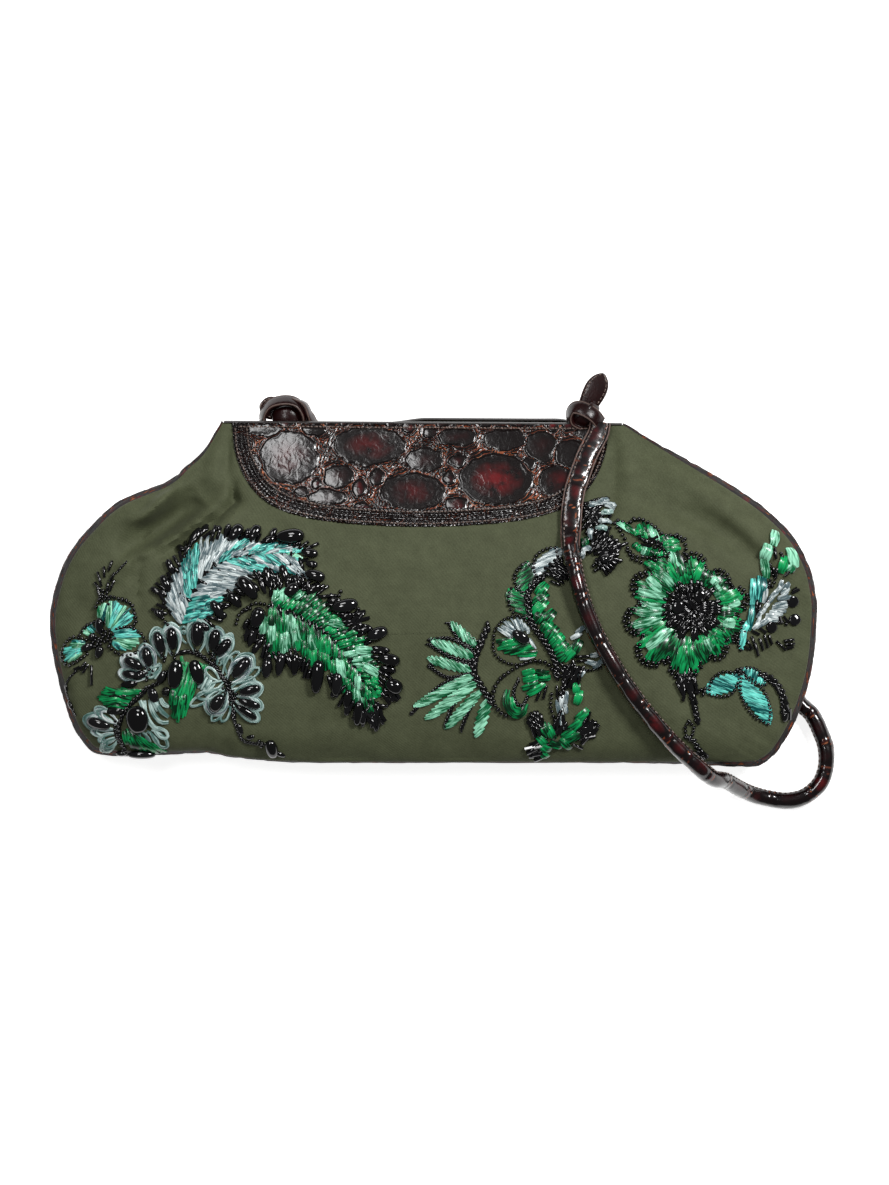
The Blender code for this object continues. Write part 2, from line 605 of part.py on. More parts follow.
def build_pocket(body):
    """Slip pocket that lies on the back half of the lining."""
    top = mouth_line(body, YOKE_MIDDLE) - POCKET_BELOW_EDGE
    outline = rounded_rectangle(YOKE_MIDDLE, top, POCKET_LENGTH, POCKET_DEPTH, POCKET_CORNER)
    depth = LINING_DEPTH + LINING_THICKNESS + SEAT_GAP
    piece = closed_solid("inner_pocket", body.back(depth, depth),
                         body.back(depth + POCKET_THICKNESS, depth + POCKET_THICKNESS), True,
                         MATERIALS["lining"])
    boolean(piece, prism("pocket_outline", outline, -OVERRUN, BAG_THICKNESS + OVERRUN), "INTERSECT")


def build_board(body):
    """Stiff board inside the base gusset."""
    at_base = np.flatnonzero((body.seam[:, 1] < 0) & (np.abs(body.seam[:, 0]) < BOARD_HALF_LENGTH))
    outer = GUSSET_THICKNESS + SEAT_GAP
    flat = np.zeros(len(body.seam))
    band("base_board", body, at_base[0], at_base[-1] + 1, (outer, outer + BOARD_THICKNESS), flat,
         BOARD_MARGIN, MATERIALS["board"])


def swept(name, route, half_widths, half_heights, material):
    """A strap with a rounded section, wide across its route and thick upwards."""
    route = np.array(route)
    ahead, behind = np.vstack([route[1:], route[-1:]]), np.vstack([route[:1], route[:-1]])
    along = ahead - behind
    along /= np.linalg.norm(along, axis=1)[:, None]
    across = np.cross(along, (0.0, 0.0, 1.0))
    across /= np.linalg.norm(across, axis=1)[:, None]
    up = np.cross(across, along)
    points = []
    for place, side, rise, wide, high in zip(route, across, up, half_widths, half_heights):
        for step in range(STRAP_SIDES):
            angle = 2 * math.pi * (step + 0.5) / STRAP_SIDES
            c, s = math.cos(angle), math.sin(angle)
            power = 0.5 + 0.5 * high / wide
            points.append(place + side * wide * math.copysign(abs(c) ** power, c)
                          + rise * high * math.copysign(abs(s) ** power, s))
    faces = [tuple(range(STRAP_SIDES - 1, -1, -1))]
    for r in range(len(route) - 1):
        for c in range(STRAP_SIDES):
            a, b = r * STRAP_SIDES + c, r * STRAP_SIDES + (c + 1) % STRAP_SIDES
            faces.append((a, b, b + STRAP_SIDES, a + STRAP_SIDES))
    last = (len(route) - 1) * STRAP_SIDES
    faces.append(tuple(last + c for c in range(STRAP_SIDES)))
    return add_object(name, mesh_from(name, points, faces), material)


def build_strap():
    """The strap's flat ends, its taper beside the fold line and its rolled cord."""
    flat, wide, roll = STRAP_FLAT_THICKNESS / 2, STRAP_WIDTH / 2, STRAP_DIAMETER / 2
    count = len(FLAT_RIGHT_ROUTE)
    swept("strap_flat_right", FLAT_RIGHT_ROUTE, [wide] * count, [flat] * count, MATERIALS["strap"])
    for name, route, start_round in (("strap_taper_right", TAPER_RIGHT_ROUTE, False),
                                     ("strap_flat_left", FLAT_LEFT_ROUTE, True)):
        shares = smooth_step(np.linspace(0, 1, len(route)))
        shares = 1 - shares if start_round else shares
        swept(name, route, wide + (roll - wide) * shares, flat + (roll - flat) * shares, MATERIALS["strap"])
    curve = bpy.data.curves.new("strap_roll", "CURVE")
    curve.dimensions = "3D"
    curve.bevel_depth = STRAP_DIAMETER / 2
    curve.bevel_resolution = 2
    curve.use_fill_caps = True
    places = spaced_curve(ROLL_ROUTE, STRAP_POINT_EVERY)
    line = curve.splines.new("POLY")
    line.points.add(len(places) - 1)
    for point, place in zip(line.points, places):
        point.co = (*place, 1.0)
    piece = bpy.data.objects.new("strap_roll", curve)
    bpy.context.scene.collection.objects.link(piece)
    curve.materials.append(MATERIALS["strap"])


def knot(name, place, turn):
    """A knot in the flat strap: a tight lump, one turn of strap round it and the tongue."""
    high = (KNOT_HEIGHT - KNOT_WRAP) / 2
    wide = (KNOT_WIDTH - KNOT_WRAP) / 2
    shape = bmesh.new()
    bmesh.ops.create_uvsphere(shape, u_segments=KNOT_SIDES, v_segments=KNOT_SIDES // 2, radius=1.0)
    size = Matrix.Diagonal((KNOT_LENGTH / 2, KNOT_WIDTH / 2, high, 1.0))
    bmesh.ops.transform(shape, matrix=size, verts=shape.verts)
    mesh = bpy.data.meshes.new(name)
    shape.to_mesh(mesh)
    shape.free()
    mesh.shade_smooth()
    lump = add_object(name, mesh, MATERIALS["strap"])
    lump.location = place
    points, faces = [], []
    sides = KNOT_WRAP_SIDES
    for i in range(KNOT_SIDES):
        angle = 2 * math.pi * i / KNOT_SIDES
        for j in range(sides):
            part = 2 * math.pi * j / sides
            reach = 1.0 + KNOT_WRAP / KNOT_HEIGHT * math.cos(part)
            points.append((KNOT_LENGTH * KNOT_WRAP_SHARE * math.sin(part),
                           wide * reach * math.cos(angle), high * reach * math.sin(angle)))
            a, b = i * sides + j, i * sides + (j + 1) % sides
            c, d = (a + sides) % (sides * KNOT_SIDES), (b + sides) % (sides * KNOT_SIDES)
            faces.append((a, b, d, c))
    wrap = add_object(name + "_wrap", mesh_from(name + "_wrap", points, faces), MATERIALS["strap"])
    wrap.location = place
    wrap.rotation_euler = (0, 0, math.radians(turn - 90) / 2)
    reach = KNOT_LENGTH / 2 + TONGUE_LENGTH
    plan = np.array([[(reach * along, side * width * TONGUE_WIDTH / 2) for side in (-1, 0, 1)]
                     for along, width in TONGUE_SHARES])
    half = np.full(plan.shape[:2], TONGUE_THICKNESS / 2)
    tip = closed_solid(name + "_tongue", np.dstack([plan, half]), np.dstack([plan, -half]), False,
                       MATERIALS["strap"])
    tip.location = place
    tip.rotation_euler = (0, 0, math.radians(turn))
    boolean(lump, wrap, "UNION")
    boolean(lump, tip, "UNION")


def build_knots(body):
    """Knots at the mouth's corners, each tied at the end of a tab that is sewn in the mouth."""
    stay_depth = YOKE_THICKNESS - YOKE_PROUD + SEAT_GAP
    reach = KNOT_FROM_EDGE - SEAT_GAP
    for side, x, turn, tree, inwards in (
        ("right", KNOT_RIGHT_X, TONGUE_RIGHT_TURN, FRONT_TREE, -1),
        ("left", KNOT_LEFT_X, TONGUE_LEFT_TURN, BACK_TREE, 1),
    ):
        edge = mouth_line(body, x)
        level = height_on(tree, x, edge - SEAT_GAP) + inwards * (stay_depth + TAB_THICKNESS / 2)
        knot("strap_knot_" + side, Vector((x, edge + KNOT_FROM_EDGE + KNOT_WIDTH / 2, level)), turn)
        rows = []
        for row in range(TAB_ROWS + 1):
            y = edge + reach - (TAB_LENGTH + reach) * row / TAB_ROWS
            rows.append([(x + TAB_WIDTH / 2 * k, y, height_on(tree, x, min(y, edge - SEAT_GAP)))
                         for k in (-1, 0, 1)])
        near, far = np.array(rows), np.array(rows)
        near[:, :, 2] += inwards * stay_depth
        far[:, :, 2] += inwards * (stay_depth + TAB_THICKNESS)
        closed_solid("strap_tab_" + side, near, far, False, MATERIALS["strap"])


def fabric_levels(plan, wrap):
    """Heights that keep flat cells over the plan places clear of the domed fabric between them."""
    heights = np.array([[height_on(FRONT_TREE, x, y) for x, y in row] for row in plan])
    excess = np.zeros(heights.shape)
    rows, columns = heights.shape
    for r in range(rows):
        for c in range(columns):
            for down, over in ((1, 0), (0, 1), (1, 1), (1, -1)):
                if r + down >= rows or (not wrap and not 0 <= c + over < columns):
                    continue
                other = (r + down, (c + over) % columns)
                for share in (0.25, 0.5, 0.75):
                    place = plan[r, c] + (plan[other] - plan[r, c]) * share
                    chord = heights[r, c] + (heights[other] - heights[r, c]) * share
                    rise = height_on(FRONT_TREE, *place) - chord
                    excess[r, c] = max(excess[r, c], rise)
                    excess[other] = max(excess[other], rise)
    if wrap:
        hub = height_on(FRONT_TREE, *plan[0].mean(axis=0)) - heights[0].min()
        excess[0] = np.maximum(excess[0], hub)
    return heights + excess


def relief(name, plan, crown, wrap, material):
    """A low solid on the fabric over a grid of plan places, crowned where crown is 1."""
    level = fabric_levels(plan, wrap) + BEAD_GAP
    top = np.dstack([plan, level + RELIEF_EDGE + (RELIEF_CROWN - RELIEF_EDGE) * crown])
    return closed_solid(name, top, np.dstack([plan, level]), wrap, material)


def bag_place(share):
    """A place on the bag in plan from its shares of half the length and half the height."""
    return np.array([share[0] * BAG_LENGTH / 2, share[1] * BAG_HEIGHT / 2])


def build_fronds():
    """Leafy sprigs: a spine with pairs of swept leaves that shorten towards both ends."""
    for name, material, width_share, leaves, sweep, shares in FROND_SHARES:
        half_width = width_share * BAG_HEIGHT / 2
        spine = smooth_curve([bag_place(share) for share in shares], 12)
        run = np.concatenate([[0.0], np.cumsum(np.linalg.norm(np.diff(spine, axis=0), axis=1))])
        count = 2 * leaves + 1
        at = np.linspace(0.0, run[-1], count)
        middle = np.stack([np.interp(at, run, spine[:, k]) for k in range(2)], axis=1)
        along = np.gradient(middle, axis=0)
        along /= np.linalg.norm(along, axis=1)[:, None]
        across = np.column_stack([-along[:, 1], along[:, 0]])
        bow = np.sin(np.linspace(0.0, math.pi, count))
        envelope = FROND_END_SHARE + (1 - FROND_END_SHARE) * bow
        tips = np.where(np.arange(count) % 2 == 1, 1.0, FROND_NOTCH_SHARE) * envelope
        back = along * (sweep * half_width * (tips - FROND_NOTCH_SHARE * envelope))[:, None]
        out = across * (half_width * tips)[:, None]
        plan = np.stack([middle + out + back, middle, middle - out + back], axis=1)
        crown = np.tile([0.0, 1.0, 0.0], (count, 1))
        relief(name, plan, crown, False, MATERIALS[material])


def build_flowers():
    """Round flowers: scalloped petals about a raised heart, with pebble beads."""
    for name, material, centre, length_share, width_share, turn, petals, pebbles in FLOWER_SHARES:
        length, width = length_share * BAG_HEIGHT / 2, width_share * BAG_HEIGHT / 2
        columns = ROSETTE_COLUMNS_PER_PETAL * petals
        angles = np.arange(columns) / columns * 2 * math.pi
        scallop = 1 - SCALLOP_SHARE * (np.arange(columns) % ROSETTE_COLUMNS_PER_PETAL == 0)
        c, s = math.cos(math.radians(turn)), math.sin(math.radians(turn))
        rings = []
        for share in FLOWER_RING_SHARES:
            x, y = length * share * scallop * np.cos(angles), width * share * scallop * np.sin(angles)
            rings.append(np.column_stack([x * c - y * s, x * s + y * c]) + bag_place(centre))
        plan = np.array(rings)
        crown = np.outer(FLOWER_CROWN_SHARES, np.ones(columns))
        flower = relief(name, plan, crown, True, MATERIALS[material])
        for number, (px, py) in enumerate(pebbles):
            x, y = px * length, py * width
            place = bag_place(centre) + np.array([x * c - y * s, x * s + y * c])
            radius = 2 * width / (4 + len(pebbles))
            boolean(flower, pebble(f"{name}_pebble_{number}", place, radius), "UNION")


def pebble(name, place, radius):
    """A domed bead with a flat foot sunk in its flower."""
    rings = []
    for ring in range(1, PEBBLE_RINGS + 1):
        angle = math.pi / 2 * ring / PEBBLE_RINGS
        around = np.arange(PEBBLE_SIDES) / PEBBLE_SIDES * 2 * math.pi
        reach = radius * math.sin(angle)
        x, y = place[0] + reach * np.cos(around), place[1] + reach * np.sin(around)
        rings.append(np.column_stack([x, y]))
    plan = np.array(rings)
    level = fabric_levels(plan, True) + BEAD_GAP + RELIEF_EDGE / 2
    steps = np.arange(1, PEBBLE_RINGS + 1) / PEBBLE_RINGS * math.pi / 2
    dome = (PEBBLE_HEIGHT - RELIEF_EDGE) * np.cos(steps)[:, None] + RELIEF_EDGE / 4
    top, foot = np.dstack([plan, level + dome]), np.dstack([plan, level])
    return closed_solid(name, top, foot, True, MATERIALS["black"])


def build_fans():
    """Sprays of long leaves from one root."""
    for name, material, root, tips in FAN_SHARES:
        base = bag_place(root)
        ends = np.array([bag_place(tip) for tip in tips])
        edge = []
        for i, end in enumerate(ends):
            edge.append(end)
            after = ends[(i + 1) % len(ends)]
            edge.append(base + ((end + after) / 2 - base) * FAN_NOTCH_SHARE)
        edge = np.array(edge)
        plan = np.array([base + (edge - base) * share for share in FAN_RING_SHARES])
        crown = np.outer(FAN_CROWN_SHARES, np.ones(len(edge)))
        relief(name, plan, crown, True, MATERIALS[material])


MATERIALS = {
    "guide": make_material("guide", (0.8, 0.2, 0.8), 0.5),
    "fabric": make_material("olive_fabric", (0.062, 0.067, 0.042), 0.75),
    "croc": make_material("crocodile_leather", (0.035, 0.008, 0.008), 0.3),
    "facing": make_material("facing_leather", (0.03, 0.012, 0.01), 0.5),
    "lining": make_material("lining_satin", (0.02, 0.022, 0.018), 0.45),
    "steel": make_material("spring_steel", (0.55, 0.56, 0.58), 0.35, 1.0),
    "brass": make_material("snap_brass", (0.6, 0.45, 0.2), 0.3, 1.0),
    "board": make_material("grey_board", (0.3, 0.27, 0.22), 0.8),
    "strap": make_material("strap_leather", (0.035, 0.008, 0.008), 0.3),
    "green": make_material("green_ribbon", (0.01, 0.3, 0.09), 0.4),
    "aqua": make_material("aqua_ribbon", (0.1, 0.5, 0.4), 0.4),
    "mint": make_material("mint_ribbon", (0.35, 0.6, 0.45), 0.4),
    "black": make_material("black_bead", (0.004, 0.004, 0.005), 0.1),
}

clear_scene()
BODY = Body(OUTLINE_STEPS, RINGS)
FRONT_TREE = surface_tree(BODY.front(0.0, 0.0))
BACK_TREE = surface_tree(BODY.back(0.0, 0.0))
build_panels(BODY)
build_gussets(BODY)
MOUTH_DEPTH = build_mouth(BODY)
build_snap(BODY, MOUTH_DEPTH)
build_lining(Body(LINING_STEPS, LINING_RINGS))
build_pocket(BODY)
build_board(BODY)
build_strap()
build_knots(BODY)
build_fronds()
build_flowers()
build_fans()
hang_on_fold(BODY)
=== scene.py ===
"""Looks of a soft clutch bag: olive cotton satin, crocodile-embossed calf, a knotted strap and beadwork.

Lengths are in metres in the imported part's own frame. The bag lies on its back panel: +X runs along it,
+Y from its base to its mouth and +Z out of its front. Designs on the cloth are drawn in millimetres.
"""

import logging
import math
from dataclasses import dataclass
from enum import Enum
from typing import Any, Iterator, Optional, Sequence

import bpy
import numpy as np
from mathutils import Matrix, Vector
from mathutils.bvhtree import BVHTree


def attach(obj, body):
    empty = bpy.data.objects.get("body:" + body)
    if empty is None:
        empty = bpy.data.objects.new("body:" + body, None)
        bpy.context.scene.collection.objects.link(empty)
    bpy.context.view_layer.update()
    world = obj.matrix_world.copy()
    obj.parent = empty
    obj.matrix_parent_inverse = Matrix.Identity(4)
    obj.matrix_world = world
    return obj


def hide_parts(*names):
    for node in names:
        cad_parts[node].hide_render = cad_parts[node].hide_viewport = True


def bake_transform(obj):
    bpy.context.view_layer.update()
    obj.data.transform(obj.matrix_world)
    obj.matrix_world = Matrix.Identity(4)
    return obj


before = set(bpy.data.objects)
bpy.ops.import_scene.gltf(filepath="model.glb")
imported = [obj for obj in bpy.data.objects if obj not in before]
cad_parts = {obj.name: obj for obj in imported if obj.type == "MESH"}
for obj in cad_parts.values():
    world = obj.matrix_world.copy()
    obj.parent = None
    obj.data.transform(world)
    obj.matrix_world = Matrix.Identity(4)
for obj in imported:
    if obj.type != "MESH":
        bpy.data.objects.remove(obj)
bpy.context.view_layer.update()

LOG = logging.getLogger("clutch_bag")
MM = 0.001
BAG = "bag"
MOUTH = "mouth_front"
UP = np.array([0.0, 0.0, 1.0])
# A wave texture of scale 1 repeats after this distance, so its scale is this over the wanted pitch.
WAVE_PERIOD = 0.31
# Turn from one place to the next in a spiral that fills a disc evenly, in radians.
SPIRAL_TURN = 2.4
Place = tuple[float, float, float]
# Where the cloth, the band's ends and the strap's end start and end to bend when the mouth opens.
CLOTH_FOLD = ((0.0, 0.024, 0.0), (0.0, 0.042, 0.0))
GUSSET_FOLD = ((0.0, 0.084, 0.0226), (0.0, 0.084492, 0.02508))
STRAP_FOLD = ((0.0, 0.030, 0.0), (0.0, 0.038, 0.0))


def linear(hex_colour: str) -> tuple[float, float, float, float]:
    """Turn an sRGB hex colour to linear red, green, blue and alpha.

    Args:
        hex_colour: A colour such as "#4e543f".

    Returns:
        Linear channels from 0 to 1, and an alpha of 1.
    """
    channels = [int(hex_colour[i:i + 2], 16) / 255 for i in (1, 3, 5)]
    red, green, blue = (c / 12.92 if c <= 0.04045 else ((c + 0.055) / 1.055) ** 2.4 for c in channels)
    return red, green, blue, 1.0


def plug_in(tree: bpy.types.NodeTree, node: bpy.types.Node, inputs: dict[Any, Any]) -> None:
    """Give a shader node's sockets their links and values.

    Args:
        tree: The node tree that it is in.
        node: The node.
        inputs: Socket name or number to a value, another node or one of its output sockets.
    """
    for socket, value in inputs.items():
        source = value.outputs[0] if isinstance(value, bpy.types.Node) else value
        if isinstance(source, bpy.types.NodeSocket):
            tree.links.new(source, node.inputs[socket])
        else:
            node.inputs[socket].default_value = source


def add_node(tree: bpy.types.NodeTree, kind: str, inputs: Optional[dict[Any, Any]] = None,
             **settings: Any) -> bpy.types.Node:
    """Add a shader node with its settings and links.

    Args:
        tree: The material's or world's node tree.
        kind: The node's type name.
        inputs: Socket name or number to a value, another node or one of its output sockets.
        **settings: Properties of the node itself.

    Returns:
        The new node.
    """
    node = tree.nodes.new(kind)
    for key, value in settings.items():
        setattr(node, key, value)
    plug_in(tree, node, inputs or {})
    return node


def blend_colours(tree: bpy.types.NodeTree, share: Any, first: Any, second: Any) -> bpy.types.NodeSocket:
    """Blend two colours by a share.

    Args:
        tree: The node tree to add to.
        share: A value, node or socket from 0 (first) to 1 (second).
        first: A hex colour, node or socket.
        second: A hex colour, node or socket.

    Returns:
        The blended colour's socket.
    """
    ends = [linear(c) if isinstance(c, str) else c for c in (first, second)]
    # The mix node's sockets share names, so its share and two colours go by number, and so does its result.
    mix = add_node(tree, "ShaderNodeMix", {0: share, 6: ends[0], 7: ends[1]}, data_type="RGBA")
    return mix.outputs[2]


def surface_vector(tree: bpy.types.NodeTree, on_solid: bool = False) -> bpy.types.NodeSocket:
    """Millimetre coordinates that stay on a surface when it bends.

    Args:
        tree: The node tree to add to.
        on_solid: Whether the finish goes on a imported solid, which has no surface values of its own.

    Returns:
        A vector socket in millimetres.
    """
    if on_solid:
        place = add_node(tree, "ShaderNodeTexCoord").outputs["Object"]
        scaled = add_node(tree, "ShaderNodeVectorMath", {0: place, "Scale": 1 / MM}, operation="SCALE")
        return scaled.outputs[0]
    return add_node(tree, "ShaderNodeAttribute", attribute_name="surface").outputs["Vector"]


@dataclass(frozen=True)
class Finish:
    """A finish with its maker's name. Each kind knows how its own material is made.

    Args:
        name: The material's name.
    """

    name: str

    def build(self) -> bpy.types.Material:
        """Make the material, or return the one already made.

        Returns:
            The material with its finished nodes.
        """
        made = bpy.data.materials.get(self.name)
        if made:
            return made
        material = bpy.data.materials.new(self.name)
        material.use_nodes = True
        tree = material.node_tree
        tree.nodes.clear()
        shader = add_node(tree, "ShaderNodeBsdfPrincipled")
        add_node(tree, "ShaderNodeOutputMaterial", {"Surface": shader})
        self.dress(tree, shader)
        return material

    def dress(self, tree: bpy.types.NodeTree, shader: bpy.types.Node) -> None:
        """Link the finish's pattern to its shader.

        Args:
            tree: The material's node tree.
            shader: Its surface shader.
        """
        raise NotImplementedError


@dataclass(frozen=True)
class CottonSatin(Finish):
    """Cotton satin: woven with long floats, so it has a fine diagonal grain and a soft sheen.

    The real threads are 0.2 mm apart, too fine to show, so the grain is drawn at thread_mm.
    """

    light: str = "#545941"
    dark: str = "#414530"
    thread_mm: float = 0.9
    slub_mm: float = 7.0
    on_solid: bool = False

    def dress(self, tree: bpy.types.NodeTree, shader: bpy.types.Node) -> None:
        """Link a diagonal grain, uneven slubs and the nap's sheen."""
        place = surface_vector(tree, self.on_solid)
        twill = add_node(tree, "ShaderNodeTexWave", {"Vector": place, "Scale": WAVE_PERIOD / self.thread_mm,
                                                     "Distortion": 1.2, "Detail": 2.0, "Detail Scale": 1.5},
                         bands_direction="DIAGONAL")
        slub = add_node(tree, "ShaderNodeTexNoise", {"Vector": place, "Scale": 1 / self.slub_mm,
                                                     "Detail": 5.0, "Roughness": 0.62})
        grit = add_node(tree, "ShaderNodeTexNoise", {"Vector": place, "Scale": 1.4 / self.thread_mm,
                                                     "Detail": 2.0})
        share = add_node(tree, "ShaderNodeMath", {0: slub, 1: grit}, operation="ADD")
        half = add_node(tree, "ShaderNodeMapRange", {"Value": share, "From Min": 0.62, "From Max": 1.38})
        colour = blend_colours(tree, half, self.dark, self.light)
        relief = add_node(tree, "ShaderNodeMath", {0: twill.outputs["Fac"], 1: grit}, operation="ADD")
        bump = add_node(tree, "ShaderNodeBump", {"Strength": 0.35, "Distance": 0.12 * MM, "Height": relief})
        plug_in(tree, shader, {"Base Color": colour, "Normal": bump, "Roughness": 0.72,
                               "Specular IOR Level": 0.2, "Sheen Weight": 0.03, "Sheen Roughness": 0.4})


@dataclass(frozen=True)
class CrocodileCalf(Finish):
    """Calf leather, plated with a crocodile grain and glazed: dark polished scales, pale creases that are
    paler still on raised wrinkles, partly wear and partly a painted highlight.

    Its mark value is 1 in a crease, its tone differs from scale to scale, and the third surface
    coordinate runs from 0 in the middle of a scale to 1 at its rim.
    """

    dark: str = "#0d0606"
    wine: str = "#640f13"
    shaded: str = "#4c2419"
    crease: str = "#8a3c1c"
    # the crease's paler colour: partly rubbed wear, partly a painted highlight on raised wrinkles
    worn: str = "#c27a50"
    wrinkle_mm: float = 4.2
    wrinkle_high: float = 0.21
    glaze: float = 0.9
    specular: float = 0.12
    roughness: float = 0.3
    on_solid: bool = False

    def dress(self, tree: bpy.types.NodeTree, shader: bpy.types.Node) -> None:
        """Link scale colour, creases, fine wrinkles and the glaze."""
        place = surface_vector(tree, self.on_solid)
        mark = add_node(tree, "ShaderNodeAttribute", attribute_name="mark").outputs["Fac"]
        tone = add_node(tree, "ShaderNodeAttribute", attribute_name="tone").outputs["Fac"]
        rim = add_node(tree, "ShaderNodeSeparateXYZ", {0: place}).outputs[2]
        cloud = add_node(tree, "ShaderNodeTexNoise", {"Vector": place, "Scale": 0.11, "Detail": 4.0,
                                                      "Roughness": 0.6})
        wrinkle = add_node(tree, "ShaderNodeTexNoise", {"Vector": place, "Scale": 1 / self.wrinkle_mm,
                                                        "Detail": 2.5, "Roughness": 0.5, "Distortion": 1.2})
        heart = add_node(tree, "ShaderNodeMapRange", {"Value": rim, "From Min": 0.75, "From Max": 0.15})
        lit = add_node(tree, "ShaderNodeMapRange", {"Value": cloud, "From Min": 0.36, "From Max": 0.56})
        wine = add_node(tree, "ShaderNodeMath", {0: heart, 1: lit}, operation="MULTIPLY")
        wine = add_node(tree, "ShaderNodeMath", {0: wine, 1: tone}, operation="MULTIPLY")
        scale = blend_colours(tree, wine, self.dark, self.wine)
        # Paler where the wrinkle noise rises: partly rubbed wear, partly a painted highlight on the raised
        # wrinkles.
        worn = add_node(tree, "ShaderNodeMapRange", {"Value": wrinkle, "From Min": 0.45, "From Max": 0.7})
        bare = add_node(tree, "ShaderNodeMapRange", {"Value": cloud, "From Min": 0.42, "From Max": 0.62})
        crease = blend_colours(tree, worn, self.crease, self.worn)
        crease = blend_colours(tree, bare, self.shaded, crease)
        edge = add_node(tree, "ShaderNodeMapRange", {"Value": mark, "From Min": 0.35, "From Max": 0.8})
        colour = blend_colours(tree, edge, scale, crease)
        gloss = add_node(tree, "ShaderNodeMapRange",
                         {"Value": mark, "From Min": 0.2, "From Max": 0.9, "To Min": self.roughness,
                          "To Max": self.roughness + 0.25})
        bump = add_node(tree, "ShaderNodeBump", {"Strength": 0.6, "Distance": self.wrinkle_high * MM,
                                                 "Height": wrinkle})
        plug_in(tree, shader, {"Base Color": colour, "Roughness": gloss, "Normal": bump, "Coat Normal": bump,
                               "Specular IOR Level": self.specular, "Coat Weight": self.glaze,
                               "Coat Roughness": 0.13})


@dataclass(frozen=True)
class SmoothCalf(Finish):
    """Smooth calf, dyed and waxed: a fine pore grain under a low polish."""

    light: str = "#2c1d1a"
    dark: str = "#1a1110"
    pore_mm: float = 1.1
    roughness: float = 0.36
    specular: float = 0.5
    on_solid: bool = False

    def dress(self, tree: bpy.types.NodeTree, shader: bpy.types.Node) -> None:
        """Link cloudy dye and a pore bump."""
        place = surface_vector(tree, self.on_solid)
        dye = add_node(tree, "ShaderNodeTexNoise", {"Vector": place, "Scale": 0.2, "Detail": 5.0})
        pore = add_node(tree, "ShaderNodeTexVoronoi", {"Vector": place, "Scale": 1 / self.pore_mm})
        bump = add_node(tree, "ShaderNodeBump", {"Strength": 0.3, "Distance": 0.1 * MM,
                                                 "Height": pore.outputs["Distance"]})
        plug_in(tree, shader, {"Base Color": blend_colours(tree, dye, self.dark, self.light), "Normal": bump,
                               "Roughness": self.roughness, "Specular IOR Level": self.specular})


@dataclass(frozen=True)
class WaxedThread(Finish):
    """Polyester thread, twisted and waxed: its own dark brown, with a painted highlight on each short twist.
    """

    # dark is the thread's own brown; light is a painted highlight on the twists
    light: str = "#8b7a72"
    dark: str = "#33241f"
    twist_mm: float = 0.7

    def dress(self, tree: bpy.types.NodeTree, shader: bpy.types.Node) -> None:
        """Link the painted highlights of the twists along the stitch."""
        place = surface_vector(tree)
        twist = add_node(tree, "ShaderNodeTexWave", {"Vector": place, "Scale": WAVE_PERIOD / self.twist_mm},
                         bands_direction="DIAGONAL")
        # The twist bands lay a painted highlight over the thread's own brown.
        plug_in(tree, shader, {"Base Color": blend_colours(tree, twist.outputs["Fac"], self.dark, self.light),
                               "Roughness": 0.38})


@dataclass(frozen=True)
class EdgePaint(Finish):
    """Acrylic edge paint, rolled on and sanded: an even dark line with soft unevenness."""

    light: str = "#2b2422"
    dark: str = "#0d0b0b"
    ripple_mm: float = 3.0

    def dress(self, tree: bpy.types.NodeTree, shader: bpy.types.Node) -> None:
        """Link soft ripples to colour and bump."""
        ripple = add_node(tree, "ShaderNodeTexNoise", {"Vector": surface_vector(tree),
                                                       "Scale": 1 / self.ripple_mm, "Detail": 3.0})
        bump = add_node(tree, "ShaderNodeBump", {"Strength": 0.2, "Distance": 0.1 * MM,
                                                 "Height": ripple})
        plug_in(tree, shader, {"Base Color": blend_colours(tree, ripple, self.dark, self.light),
                               "Normal": bump, "Roughness": 0.4})


@dataclass(frozen=True)
class ViscoseRaffia(Finish):
    """Viscose raffia ribbon, extruded flat and crimped: lengthwise ribs with a silky shine, whose lighter and
    darker streaks are partly uneven dye and partly painted highlight and painted shade.

    The first surface coordinate runs along the ribbon and the second across it.
    """

    light: str = "#3fd093"
    dark: str = "#0d7a45"
    rib_mm: float = 0.9

    def dress(self, tree: bpy.types.NodeTree, shader: bpy.types.Node) -> None:
        """Link lengthwise ribs, a change of shade from ribbon to ribbon and the ribs' bump; the ribs' colour
        streaks are partly painted highlight and painted shade.
        """
        place = surface_vector(tree)
        tone = add_node(tree, "ShaderNodeAttribute", attribute_name="tone").outputs["Fac"]
        ribs = add_node(tree, "ShaderNodeMapping", {"Vector": place, "Scale": (0.16, 1 / self.rib_mm, 1.0)})
        rib = add_node(tree, "ShaderNodeTexNoise", {"Vector": ribs, "Scale": 1.0, "Detail": 1.5})
        # The rib streaks are partly the raffia's uneven dye and partly a painted highlight on the crimps with
        # painted shade between them.
        spread = add_node(tree, "ShaderNodeMapRange",
                          {"Value": rib, "From Min": 0.32, "From Max": 0.68, "To Min": -0.7, "To Max": 0.7})
        share = add_node(tree, "ShaderNodeMath", {0: spread, 1: tone}, operation="ADD", use_clamp=True)
        bump = add_node(tree, "ShaderNodeBump", {"Strength": 0.55, "Distance": 0.2 * MM,
                                                 "Height": rib})
        plug_in(tree, shader, {"Base Color": blend_colours(tree, share, self.dark, self.light),
                               "Normal": bump, "Coat Normal": bump, "Roughness": 0.28,
                               "Specular IOR Level": 0.3, "Coat Weight": 0.25, "Coat Roughness": 0.13})


@dataclass(frozen=True)
class JetGlass(Finish):
    """Black pressed glass, fire-polished: a deep dark body and small sharp highlights."""

    dark: str = "#050506"
    light: str = "#101012"

    def dress(self, tree: bpy.types.NodeTree, shader: bpy.types.Node) -> None:
        """Link a faint change of depth from bead to bead."""
        tone = add_node(tree, "ShaderNodeAttribute", attribute_name="tone").outputs["Fac"]
        plug_in(tree, shader, {"Base Color": blend_colours(tree, tone, self.dark, self.light),
                               "Roughness": 0.06, "IOR": 1.55})


